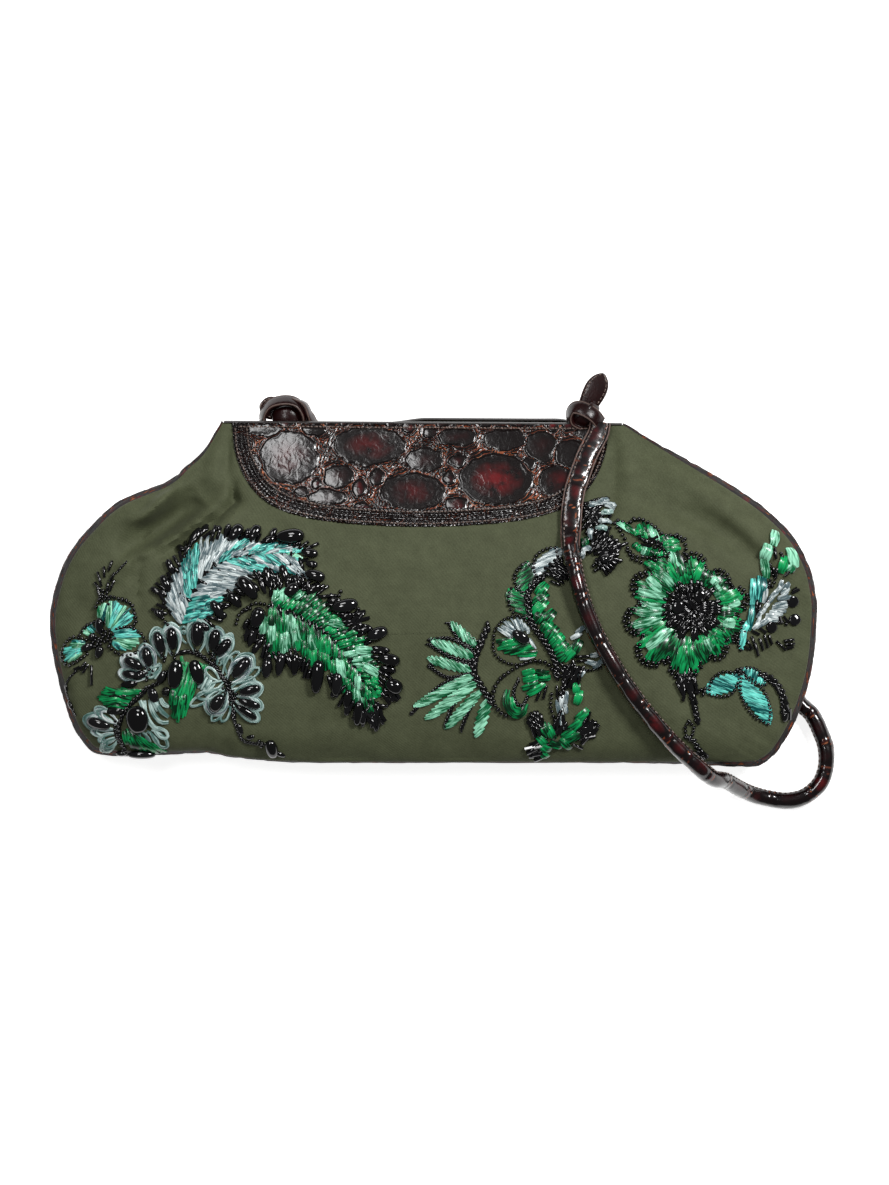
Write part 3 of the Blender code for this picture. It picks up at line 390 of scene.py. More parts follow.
@dataclass(frozen=True)
class PlatedMetal(Finish):
    """Stamped metal, tumbled and plated: an even tint with a fine brushed haze."""

    light: str = "#d8c08a"
    dark: str = "#a98f5a"
    roughness: float = 0.32
    brush_mm: float = 0.8

    def dress(self, tree: bpy.types.NodeTree, shader: bpy.types.Node) -> None:
        """Link a brushed haze to tint and bump."""
        place = surface_vector(tree, on_solid=True)
        lines = add_node(tree, "ShaderNodeMapping", {"Vector": place, "Scale": (1 / self.brush_mm, 0.1, 0.1)})
        haze = add_node(tree, "ShaderNodeTexNoise", {"Vector": lines, "Scale": 1.0, "Detail": 4.0})
        bump = add_node(tree, "ShaderNodeBump", {"Strength": 0.15, "Distance": 0.05 * MM,
                                                 "Height": haze})
        plug_in(tree, shader, {"Base Color": blend_colours(tree, haze, self.dark, self.light), "Normal": bump,
                               "Metallic": 1.0, "Roughness": self.roughness})


@dataclass(frozen=True)
class PressedBoard(Finish):
    """Bag board, pressed from leather and paper fibre: a speckled, quite matt sheet."""

    light: str = "#9a8f7c"
    dark: str = "#6f6555"
    fibre_mm: float = 1.5

    def dress(self, tree: bpy.types.NodeTree, shader: bpy.types.Node) -> None:
        """Link fibre specks to colour and bump."""
        speck = add_node(tree, "ShaderNodeTexNoise", {"Vector": surface_vector(tree, on_solid=True),
                                                      "Scale": 1 / self.fibre_mm, "Detail": 6.0})
        bump = add_node(tree, "ShaderNodeBump", {"Strength": 0.3, "Distance": 0.1 * MM,
                                                 "Height": speck})
        plug_in(tree, shader, {"Base Color": blend_colours(tree, speck, self.dark, self.light),
                               "Normal": bump, "Roughness": 0.85})


@dataclass(frozen=True)
class PaperSweep(Finish):
    """Background paper, uncoated: nearly white, quite matt, with a faint fibre mottle.

    The glow, seen by the camera and in gloss and glass alone, keeps it as white as the paper is.
    """

    light: str = "#fbfbfa"
    dark: str = "#f7f7f6"
    mottle_mm: float = 6.0
    glow: float = 0.84

    def dress(self, tree: bpy.types.NodeTree, shader: bpy.types.Node) -> None:
        """Link the fibre mottle to colour, and the glow to the rays that see the paper."""
        mottle = add_node(tree, "ShaderNodeTexNoise", {"Vector": surface_vector(tree, on_solid=True),
                                                       "Scale": 1 / self.mottle_mm, "Detail": 3.0})
        rays = add_node(tree, "ShaderNodeLightPath").outputs
        seen = add_node(tree, "ShaderNodeMath", {0: rays["Is Camera Ray"], 1: rays["Is Glossy Ray"]},
                        operation="MAXIMUM")
        seen = add_node(tree, "ShaderNodeMath", {0: seen, 1: rays["Is Transmission Ray"]},
                        operation="MAXIMUM")
        glow = add_node(tree, "ShaderNodeMath", {0: seen, 1: self.glow}, operation="MULTIPLY")
        plug_in(tree, shader, {"Base Color": blend_colours(tree, mottle, self.dark, self.light),
                               "Emission Strength": glow, "Emission Color": linear("#ffffff"),
                               "Roughness": 1.0, "Specular IOR Level": 0.0})


OLIVE_SATIN = CottonSatin("olive_cotton_satin")
LINING_SATIN = CottonSatin("lining_satin", light="#4c4d43", dark="#35362d", thread_mm=0.8)
CROC_CALF = CrocodileCalf("crocodile_embossed_calf")
BAND_CALF = CrocodileCalf("crocodile_gusset_calf", glaze=0.0, specular=0.08, roughness=0.6)
STRAP_CALF = CrocodileCalf("crocodile_strap_calf", dark="#0f0607", wine="#581014", wrinkle_high=0.07)
FACING_FACE = SmoothCalf("facing_calf")
STRAP_LINING_CALF = SmoothCalf("smooth_strap_calf", light="#2a0c0c", dark="#0b0606", roughness=0.26,
                               specular=0.32)
KNOT_EDGE = SmoothCalf("knot_leather_edge", light="#6f5a52", dark="#3a2a26", roughness=0.45)
CUT_EDGE = SmoothCalf("cut_leather_edge", light="#6a4f45", dark="#3a2721", roughness=0.45)
SADDLE_THREAD = WaxedThread("waxed_saddle_thread")
BLACK_EDGE = EdgePaint("black_edge_paint")
SNAP_PLATE = PlatedMetal("plated_snap_brass")
STAY_STEEL = PlatedMetal("spring_steel_strip", light="#b9bcc0", dark="#8d9095")
BASE_BOARD = PressedBoard("pressed_bag_board")
JET = JetGlass("jet_glass_bead")
PAPER = PaperSweep("matt_paper_sweep")


def smooth_step(share: Any) -> np.ndarray:
    """Ease from 0 to 1 between shares of 0 and 1."""
    clipped = np.clip(share, 0.0, 1.0)
    return clipped * clipped * (3.0 - 2.0 * clipped)


def smooth_curve(points: Any, steps: int) -> np.ndarray:
    """Follow a smooth curve through points.

    Args:
        points: The points that it passes through.
        steps: How many steps each stretch between two of them takes.

    Returns:
        The curve's points, ends included.
    """
    knots = np.array(points, float)
    padded = np.vstack([2 * knots[0] - knots[1], knots, 2 * knots[-1] - knots[-2]])
    out = []
    for i in range(len(knots) - 1):
        before, start, end, after = padded[i:i + 4]
        u = (np.arange(steps) / steps)[:, None]
        out.append(0.5 * (2 * start + (end - before) * u
                          + (2 * before - 5 * start + 4 * end - after) * u**2
                          + (3 * start - before - 3 * end + after) * u**3))
    out.append(knots[-1:])
    return np.vstack(out)


def run_along(points: np.ndarray) -> np.ndarray:
    """Distance run at each point of a line."""
    return np.concatenate([[0.0], np.cumsum(np.linalg.norm(np.diff(points, axis=0), axis=1))])


def read_at(at: Any, run: np.ndarray, line: np.ndarray) -> np.ndarray:
    """Values of a line's columns at distances run along it."""
    return np.stack([np.interp(at, run, column) for column in line.T], axis=1)


def spaced_curve(points: Any, spacing: float) -> np.ndarray:
    """Read the smooth curve through points at even distances of about the spacing."""
    fine = smooth_curve(points, 24)
    run = run_along(fine)
    at = np.linspace(0.0, run[-1], max(2, round(run[-1] / spacing) + 1))
    return read_at(at, run, fine)


def grid_quads(rows: int, columns: int, wrap: bool = True) -> np.ndarray:
    """Faces between the rows of a grid of points.

    Args:
        rows: How many rows of points it has.
        columns: How many points a row has.
        wrap: Whether a row goes round, so that its last point joins its first.

    Returns:
        Four point numbers for each face.
    """
    r, c = np.meshgrid(np.arange(rows - 1), np.arange(columns if wrap else columns - 1), indexing="ij")
    a, b = r * columns + c, r * columns + (c + 1) % columns
    return np.stack([a, b, b + columns, a + columns], axis=-1).reshape(-1, 4)


class Stock:
    """Points, faces and surface values of one visible piece while it is being made."""

    def __init__(self, name: str, finishes: Sequence[Finish]) -> None:
        """Start an empty piece.

        Args:
            name: The piece's name.
            finishes: Its finishes, which faces name by their place in this list.
        """
        self.name = name
        self.finishes = list(finishes)
        self.count = 0
        self.values: dict[str, list[np.ndarray]] = {"points": [], "surface": [], "mark": [], "tone": []}
        self.faces: list[tuple[int, ...]] = []
        self.slots: list[int] = []

    def solid(self, points: np.ndarray, groups: Sequence[tuple[Any, int]], surface: Any = None,
              mark: Any = 0.0, tone: Any = 0.5) -> None:
        """Add a closed solid, turned so that its faces point out.

        Args:
            points: Places, three columns, in metres.
            groups: Faces with one number of corners, and the finish that they take.
            surface: Surface coordinates in millimetres, or None for the place itself.
            mark: Mark value or values.
            tone: Tone value or values.
        """
        flat = np.asarray(points, float).reshape(-1, 3)
        self.values["points"].append(flat)
        coords = flat / MM if surface is None else np.asarray(surface, float).reshape(-1, 3)
        self.values["surface"].append(coords)
        for key, value in (("mark", mark), ("tone", tone)):
            whole = np.asarray(value, float).reshape(-1)
            self.values[key].append(np.broadcast_to(whole, len(flat)) if len(whole) == 1 else whole)
        volume = 0.0
        for faces, _ in groups:
            corners = flat[np.asarray(faces)]
            for k in range(1, corners.shape[1] - 1):
                volume += np.einsum("ij,ij->", corners[:, 0], np.cross(corners[:, k], corners[:, k + 1]))
        for faces, finish in groups:
            turned = np.asarray(faces)[:, ::-1 if volume < 0 else 1] + self.count
            self.faces.extend(map(tuple, turned.tolist()))
            self.slots.extend([finish] * len(turned))
        self.count += len(flat)

    def shell(self, top: np.ndarray, bottom: np.ndarray, wrap: bool,
              finishes: tuple[int, int, int] = (0, 0, 0), **values: Any) -> None:
        """Add a closed layer between two grids of points.

        Args:
            top: The upper grid: rows, columns and three coordinates.
            bottom: The lower grid, of the same shape.
            wrap: Whether the columns go round, with the first row capped.
            finishes: Finish of the top, of the bottom and of the edges.
            **values: surface, mark and tone of the top grid, which the bottom repeats.
        """
        rows, columns = top.shape[:2]
        shift, last = rows * columns, (rows - 1) * columns
        quads = grid_quads(rows, columns, wrap)
        across, down = np.arange(columns if wrap else columns - 1), np.arange(rows - 1) * columns
        ends = [(last + across, last + (across + 1) % columns)]
        groups = [(quads, finishes[0]), (quads[:, ::-1] + shift, finishes[1])]
        if wrap:
            cap = np.arange(columns)
            groups += [(cap[None, ::-1], finishes[0]), (shift + cap[None], finishes[1])]
        else:
            ends += [(across + 1, across), (down, down + columns),
                     (down + 2 * columns - 1, down + columns - 1)]
        edges = [np.stack([i, j, shift + j, shift + i], axis=1) for i, j in ends]
        groups.append((np.vstack(edges), finishes[2]))
        doubled = {}
        for key, value in values.items():
            flat = np.asarray(value, float)
            doubled[key] = np.concatenate([flat.reshape(-1, 3) if key == "surface" else flat.reshape(-1)] * 2)
        self.solid(np.concatenate([top.reshape(-1, 3), bottom.reshape(-1, 3)]), groups, **doubled)

    def sweep(self, path: np.ndarray, across: np.ndarray, rise: np.ndarray, ring: np.ndarray,
              finish: int = 0, **values: Any) -> None:
        """Add a closed solid swept along a path.

        Args:
            path: Points of the path, in metres.
            across: The section's first direction at each path point.
            rise: The section's second direction at each path point.
            ring: Section places across and up, for each path point or the same for all.
            finish: Which finish it takes.
            **values: surface, mark and tone, for each path point and ring place.
        """
        sides = ring.shape[-2]
        ring = np.broadcast_to(ring, (len(path), sides, 2))
        places = path[:, None] + across[:, None] * ring[..., :1] + rise[:, None] * ring[..., 1:]
        self.rings(places, finish, **values)

    def rings(self, places: np.ndarray, finish: int = 0, **values: Any) -> None:
        """Add a closed solid through rings of points, capped at both ends.

        Args:
            places: Rings, places in a ring and three coordinates.
            finish: Which finish it takes.
            **values: surface, mark and tone, for each place.
        """
        count, sides = places.shape[:2]
        cap = np.arange(sides)
        groups = [(grid_quads(count, sides), finish), (cap[None, ::-1], finish),
                  ((count - 1) * sides + cap[None], finish)]
        self.solid(places, groups, **values)

    def finished(self) -> bpy.types.Object:
        """Make the piece.

        Returns:
            The new object, linked to the scene, with every face pointing out.
        """
        mesh = bpy.data.meshes.new(self.name)
        points = np.concatenate(self.values["points"])
        mesh.from_pydata(points.tolist(), [], self.faces)
        mesh.polygons.foreach_set("material_index", self.slots)
        mesh.shade_smooth()
        mesh.set_sharp_from_angle(angle=math.radians(52))
        surface = mesh.attributes.new("surface", "FLOAT_VECTOR", "POINT")
        surface.data.foreach_set("vector", np.concatenate(self.values["surface"]).astype(np.float32).ravel())
        for key in ("mark", "tone"):
            spread = mesh.attributes.new(key, "FLOAT", "POINT")
            spread.data.foreach_set("value", np.concatenate(self.values[key]).astype(np.float32))
        mesh.update()
        piece = bpy.data.objects.new(self.name, mesh)
        bpy.context.scene.collection.objects.link(piece)
        for finish in self.finishes:
            mesh.materials.append(finish.build())
        return piece


def settle(piece: bpy.types.Object, body: str, slot: str, *nodes: str,
           fold: Optional[tuple[Place, Place]] = None) -> bpy.types.Object:
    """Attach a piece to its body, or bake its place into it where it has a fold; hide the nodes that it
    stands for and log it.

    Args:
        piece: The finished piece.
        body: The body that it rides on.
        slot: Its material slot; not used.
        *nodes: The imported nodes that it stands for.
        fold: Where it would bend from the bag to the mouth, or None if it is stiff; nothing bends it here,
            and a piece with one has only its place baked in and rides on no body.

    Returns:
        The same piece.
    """
    if fold:
        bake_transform(piece)
    else:
        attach(piece, body)
    if nodes:
        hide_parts(*nodes)
    LOG.info("%s: %d faces", piece.name, len(piece.data.polygons))
    return piece


class Ripple:
    """Soft unevenness made of a few waves, the same at every run."""

    def __init__(self, wavelength: float, seed: int) -> None:
        """Choose the waves.

        Args:
            wavelength: The mean distance from crest to crest.
            seed: Which set of waves.
        """
        chance = np.random.default_rng(seed)
        turn = chance.uniform(0, 2 * math.pi, 6)
        pitch = wavelength * chance.uniform(0.7, 1.5, 6)
        self.waves = np.stack([np.cos(turn), np.sin(turn)]) * 2 * math.pi / pitch
        self.phase = chance.uniform(0, 2 * math.pi, 6)

    def read(self, plan: np.ndarray) -> np.ndarray:
        """Heights from about -1 to 1 at places in plan."""
        return np.sin(np.asarray(plan) @ self.waves + self.phase).sum(axis=-1) / 2.8


@dataclass(frozen=True)
class Fold:
    """One crease or roll of slack cloth.

    Args:
        line: Its course in plan, in millimetres.
        rise: Height of its middle in millimetres; a crease is below zero.
        reach: How far it reaches to each side, in millimetres.
    """

    line: tuple[tuple[float, float], ...]
    rise: float
    reach: float

    def read(self, plan: np.ndarray) -> np.ndarray:
        """Heights in millimetres at places in millimetres."""
        course = smooth_curve(self.line, 6)
        run = run_along(course)
        gap = np.linalg.norm(plan[..., None, :] - course, axis=-1)
        nearest = gap.argmin(axis=-1)
        share = np.clip(gap.min(axis=-1) / self.reach, 0, 1)
        ends = np.sin(math.pi * np.clip(run[nearest] / run[-1], 0.04, 0.96)) ** 0.5
        return self.rise * (1 - share**2) ** 2 * ends


FRONT_FOLDS = (
    Fold(((-103.1, 81.5), (-103.3, 68.0), (-103.1, 56.0)), -2.4, 2.4),
    Fold(((-109.0, 76.0), (-110.0, 64.0), (-113.0, 52.0)), 1.8, 6.0),
    Fold(((-128.0, 60.0), (-131.0, 53.2), (-136.3, 45.8), (-140.6, 39.8), (-144.9, 36.8), (-151.0, 36.0)),
         4.4, 5.0),
    Fold(((-115.0, 47.5), (-124.0, 40.5), (-131.5, 35.0), (-139.0, 30.0), (-150.0, 22.5)), -12.5, 11.5),
    Fold(((-112.0, 40.0), (-117.0, 37.2), (-126.3, 30.8), (-134.9, 25.0), (-143.5, 20.0), (-151.0, 16.4),
          (-157.8, 7.2)), 4.4, 4.6),
    Fold(((-98.8, 45.4), (-101.3, 44.0), (-105.2, 39.8), (-112.2, 32.9), (-122.8, 25.0), (-134.5, 18.2)),
         -6.6, 5.6),
    Fold(((-100.6, 54.0), (-100.4, 48.0), (-99.6, 45.0), (-103.0, 41.5)), -5.6, 3.4),
    Fold(((-97.0, 41.5), (-103.6, 34.5), (-111.0, 28.5), (-120.0, 22.0)), 3.4, 5.0),
    Fold(((-147.8, 13.8), (-148.0, 4.0), (-148.6, -6.0)), -1.8, 3.0),
    Fold(((-178.0, -2.0), (-170.0, -22.0), (-172.0, -44.0)), -1.2, 9.0),
    Fold(((88.0, 82.0), (88.6, 62.0), (88.2, 42.0), (86.0, 30.0)), -3.0, 2.8),
    Fold(((94.0, 80.0), (96.0, 62.0), (97.0, 44.0)), 2.6, 5.6),
    Fold(((98.0, 48.0), (120.0, 40.0), (144.0, 28.0), (166.0, 9.0)), -2.6, 8.0),
    Fold(((108.0, 64.0), (132.0, 49.0), (154.0, 33.0), (174.0, 10.0)), 2.2, 7.0),
    Fold(((176.0, -8.0), (168.0, -34.0), (170.0, -60.0)), -1.3, 9.0),
    Fold(((-60.0, 29.0), (-20.0, 25.0), (30.0, 26.0), (62.0, 30.0)), -0.9, 9.0),
    Fold(((-140.0, -76.0), (-80.0, -72.0), (-20.0, -76.0)), 1.0, 10.0),
    Fold(((20.0, -74.0), (80.0, -78.0), (146.0, -72.0)), 0.9, 10.0),
)


class Surface:
    """One side of the bag at a depth, to stand things on."""

    def __init__(self, grid: np.ndarray) -> None:
        """Hold a surface made of rings.

        Args:
            grid: Rings, columns and three coordinates in metres.
        """
        rows, columns = grid.shape[:2]
        faces = [list(range(columns))] + grid_quads(rows, columns).tolist()
        self.tree = BVHTree.FromPolygons(grid.reshape(-1, 3).tolist(), faces)

    def place(self, x: float, y: float) -> tuple[np.ndarray, np.ndarray]:
        """The surface's point over or nearest to a place in plan, and its normal.

        Args:
            x: Along the bag, in metres.
            y: From base to mouth, in metres.

        Returns:
            The point, and the upward unit normal there.
        """
        hit, normal = self.tree.ray_cast(Vector((x, y, 0.1)), Vector((0, 0, -1)))[:2]
        if hit is None:
            hit, normal = self.tree.find_nearest(Vector((x, y, 0.03)))[:2]
        up = np.array(normal)
        return np.array(hit), up if up[2] > 0 else -up

    def heights(self, plan: np.ndarray) -> np.ndarray:
        """Heights in metres over places in plan, of any shape ending in two."""
        flat = plan.reshape(-1, 2)
        levels = [self.place(x, y)[0][2] for x, y in flat]
        return np.array(levels).reshape(plan.shape[:-1])


@dataclass
class BagForm:
    """The bag's two slack domed sides over one seam outline, and the layers inside them."""

    length: float = 0.3785
    height: float = 0.1695
    thickness: float = 0.054
    cloth: float = 0.0016
    spine_drop: float = 0.021
    spine_share: float = 0.35
    front_seams: tuple[float, float, float] = (0.040, 0.038, 0.031)
    back_seams: tuple[float, float, float] = (0.012, 0.017, 0.021)
    corner_fade: float = 0.070
    dome_power: float = 0.6
    mouth_power: float = 0.7
    slack_mm: float = 0.5
    fold_strength: float = 1.25
    fold_hold: tuple[float, float] = (0.965, 0.035)
    mouth_hold: float = 0.45
    pucker_mm: float = 0.22
    pucker_zone: tuple[float, float] = (0.86, 0.1)
    steps: int = 8
    mouth_steps: int = 84
    rings: int = 58
    outline_shares: tuple[tuple[float, float], ...] = (
        (-0.559, 0.994), (-0.606, 0.817), (-0.646, 0.729), (-0.701, 0.622), (-0.823, 0.504),
        (-0.897, 0.357), (-0.950, 0.209), (-0.982, 0.044), (-1.000, -0.168), (-0.987, -0.422),
        (-0.950, -0.723), (-0.913, -0.870), (-0.865, -0.930), (-0.696, -0.937), (-0.601, -0.937),
        (-0.527, -0.968), (-0.376, -0.997), (-0.155, -1.000), (0.140, -1.000), (0.435, -1.000),
        (0.650, -1.000), (0.818, -0.998), (0.857, -0.978), (0.894, -0.900), (0.939, -0.717),
        (0.976, -0.451), (0.989, -0.139), (0.984, 0.009), (0.968, 0.145), (0.929, 0.304),
        (0.857, 0.463), (0.778, 0.587), (0.680, 0.722), (0.583, 0.853), (0.493, 0.980))

    def __post_init__(self) -> None:
        """Work out the seam, its outward direction and its nearness to the mouth."""
        half = np.array([self.length / 2, self.height / 2])
        self.round = smooth_curve(np.array(self.outline_shares) * half, self.steps)
        start, end = self.round[-1], self.round[0]
        mouth = start + (end - start) * np.linspace(0, 1, self.mouth_steps + 1)[1:-1, None]
        self.seam = np.vstack([self.round, mouth])
        along = np.roll(self.seam, -1, axis=0) - np.roll(self.seam, 1, axis=0)
        along /= np.linalg.norm(along, axis=1)[:, None]
        self.outward = np.column_stack([along[:, 1], -along[:, 0]])
        run = run_along(self.round)
        near = np.minimum(run, run[-1] - run)
        self.closeness = np.concatenate([1 - smooth_step(near / self.corner_fade), np.ones(len(mouth))])
        self.run = np.concatenate([run, run[-1] + run_along(np.vstack([start, mouth]))[1:]])
        self.side = np.abs(self.seam[:, 0]) / half[0]
        self.spine = np.column_stack([self.seam[:, 0] * self.spine_share,
                                      np.full(len(self.seam), -self.spine_drop)])
        self.front_seam, self.back_seam = (self.level(*s) for s in (self.front_seams, self.back_seams))
        self.shares = np.sin(np.linspace(0.004, 1, self.rings) * math.pi / 2)[:, None]
        self.slack = Ripple(0.055, 3)
        self.pucker = Ripple(0.0052, 8)

    def level(self, base: float, end: float, mouth: float) -> np.ndarray:
        """Seam height all round, from its levels at the base, the ends and the mouth."""
        around = base + (end - base) * self.side**2
        return around + (mouth - around) * self.closeness

    def plan(self, inset: Any) -> np.ndarray:
        """Places of all rings in plan, the last moved in from the seam by an inset."""
        edge = self.seam - self.outward * np.broadcast_to(inset, len(self.seam))[:, None]
        return self.spine + (edge - self.spine) * self.shares[..., None]

    def front(self, depth: float, inset: Any = 0.0) -> np.ndarray:
        """The front side with its folds.

        Args:
            depth: How far inside the outer face, in metres.
            inset: How far the seam is moved in, in metres.

        Returns:
            Rings, columns and three coordinates.
        """
        plan = self.plan(inset)
        rise = (1 - self.shares**2) ** (self.dome_power + self.mouth_power * self.closeness)
        seam = self.front_seam - depth * self.closeness
        height = seam + (self.thickness - depth - seam) * rise
        in_mm = plan / MM
        folds = sum(fold.read(in_mm) for fold in FRONT_FOLDS) + self.slack_mm * self.slack.read(plan)
        start, width = self.fold_hold
        hold = self.fold_strength * (1 - smooth_step((self.shares - start) / width))
        mouth_hold = 1 - self.mouth_hold * self.closeness
        gather = self.pucker.read(np.column_stack([self.run, np.zeros(len(self.run))]))
        start, width = self.pucker_zone
        near_seam = np.clip((self.shares - start) / width, 0, 1)
        pinch = self.pucker_mm * gather * near_seam * (1 - self.closeness)
        height = height + (folds * hold * mouth_hold + pinch * (1 - self.shares**24)) * MM
        return np.dstack([plan, height])

    def back(self, depth: float, inset: Any = 0.0) -> np.ndarray:
        """The back side, flat where the bag lies on it.

        Args:
            depth: How far inside the outer face, in metres.
            inset: How far the seam is moved in, in metres.

        Returns:
            Rings, columns and three coordinates.
        """
        plan = self.plan(inset)
        low = np.clip(-self.outward[:, 1], 0, 1)
        start = 0.3 + 0.25 * low
        share = np.clip((self.shares - start) / (1 - start), 0, 1)
        turned = share ** (1.5 + low)
        rise = turned + (smooth_step(share) - turned) * self.closeness
        seam = self.back_seam + depth * self.closeness
        return np.dstack([plan, depth + (seam - depth) * rise])

    def mouth_line(self, x: Any) -> Any:
        """Place of the mouth's edge at x, in metres."""
        left, right = self.round[0], self.round[-1]
        return left[1] + (right[1] - left[1]) * (x - left[0]) / (right[0] - left[0])

    def below_mouth(self, line: np.ndarray, clear: float) -> np.ndarray:
        """The part of a line in plan that keeps clear of the mouth's edge."""
        return line[line[:, 1] < self.mouth_line(line[:, 0]) - clear]


@dataclass
class YokeCut:
    """Outline of the yokes and of the layers behind them: straight above, round below."""

    form: BagForm
    middle: float = -0.007495
    half_width: float = 0.093796
    depth: float = 0.0515
    shares: tuple[tuple[float, float], ...] = (
        (1.0, 0.0), (0.985, 0.27), (0.93, 0.53), (0.845, 0.72), (0.72, 0.85), (0.52, 0.94),
        (0.25, 0.985), (0.0, 1.0))

    def edge(self, grow: float, spacing: float) -> np.ndarray:
        """The round edge from left to right, grown by an amount, read at a spacing."""
        size = np.array([self.half_width + grow, self.depth + grow])
        both = [(-x, y) for x, y in self.shares] + [(x, y) for x, y in self.shares[-2::-1]]
        half = spaced_curve(np.array(both) * size, spacing)
        top = self.form.mouth_line(self.middle)
        return np.column_stack([self.middle + half[:, 0], top - half[:, 1]])

    def grid(self, grow: float, spacing: float, lift: Any = None) -> np.ndarray:
        """Places in plan from the mouth's edge down to the round edge.

        Args:
            grow: How far the outline is grown, in metres.
            spacing: Distance between places, in metres.
            lift: How far the top edge stands above the mouth line at given x, or None.

        Returns:
            Rows, columns and two coordinates.
        """
        low = self.edge(grow, spacing)
        high = self.form.mouth_line(low[:, 0])
        if lift is not None:
            high = high + lift(low[:, 0])
        low[:, 1] = np.minimum(low[:, 1], high - 0.0002)
        shares = np.linspace(0, 1, round((self.depth + grow) / spacing) + 1)[:, None]
        return np.stack([np.broadcast_to(low[:, 0], (len(shares), len(low))),
                         high + (low[:, 1] - high) * shares], axis=-1)

    def back_lift(self, x: np.ndarray) -> np.ndarray:
        """How far the back yoke stands above the front one along the mouth, in metres."""
        return 0.0021 * (smooth_step((x + 0.024) / 0.020) * smooth_step((0.076 - x) / 0.016))

    def inside(self, plan: np.ndarray) -> np.ndarray:
        """Distance inside the round edge in metres, below zero outside it."""
        low = self.edge(0.0, 0.002)
        gap = np.full(plan.shape[:-1], 9.0)
        for point in low:
            gap = np.minimum(gap, np.linalg.norm(plan - point, axis=-1))
        within = np.interp(plan[..., 0], low[:, 0], low[:, 1], left=9.0, right=9.0) < plan[..., 1]
        return np.where(within, gap, -gap)


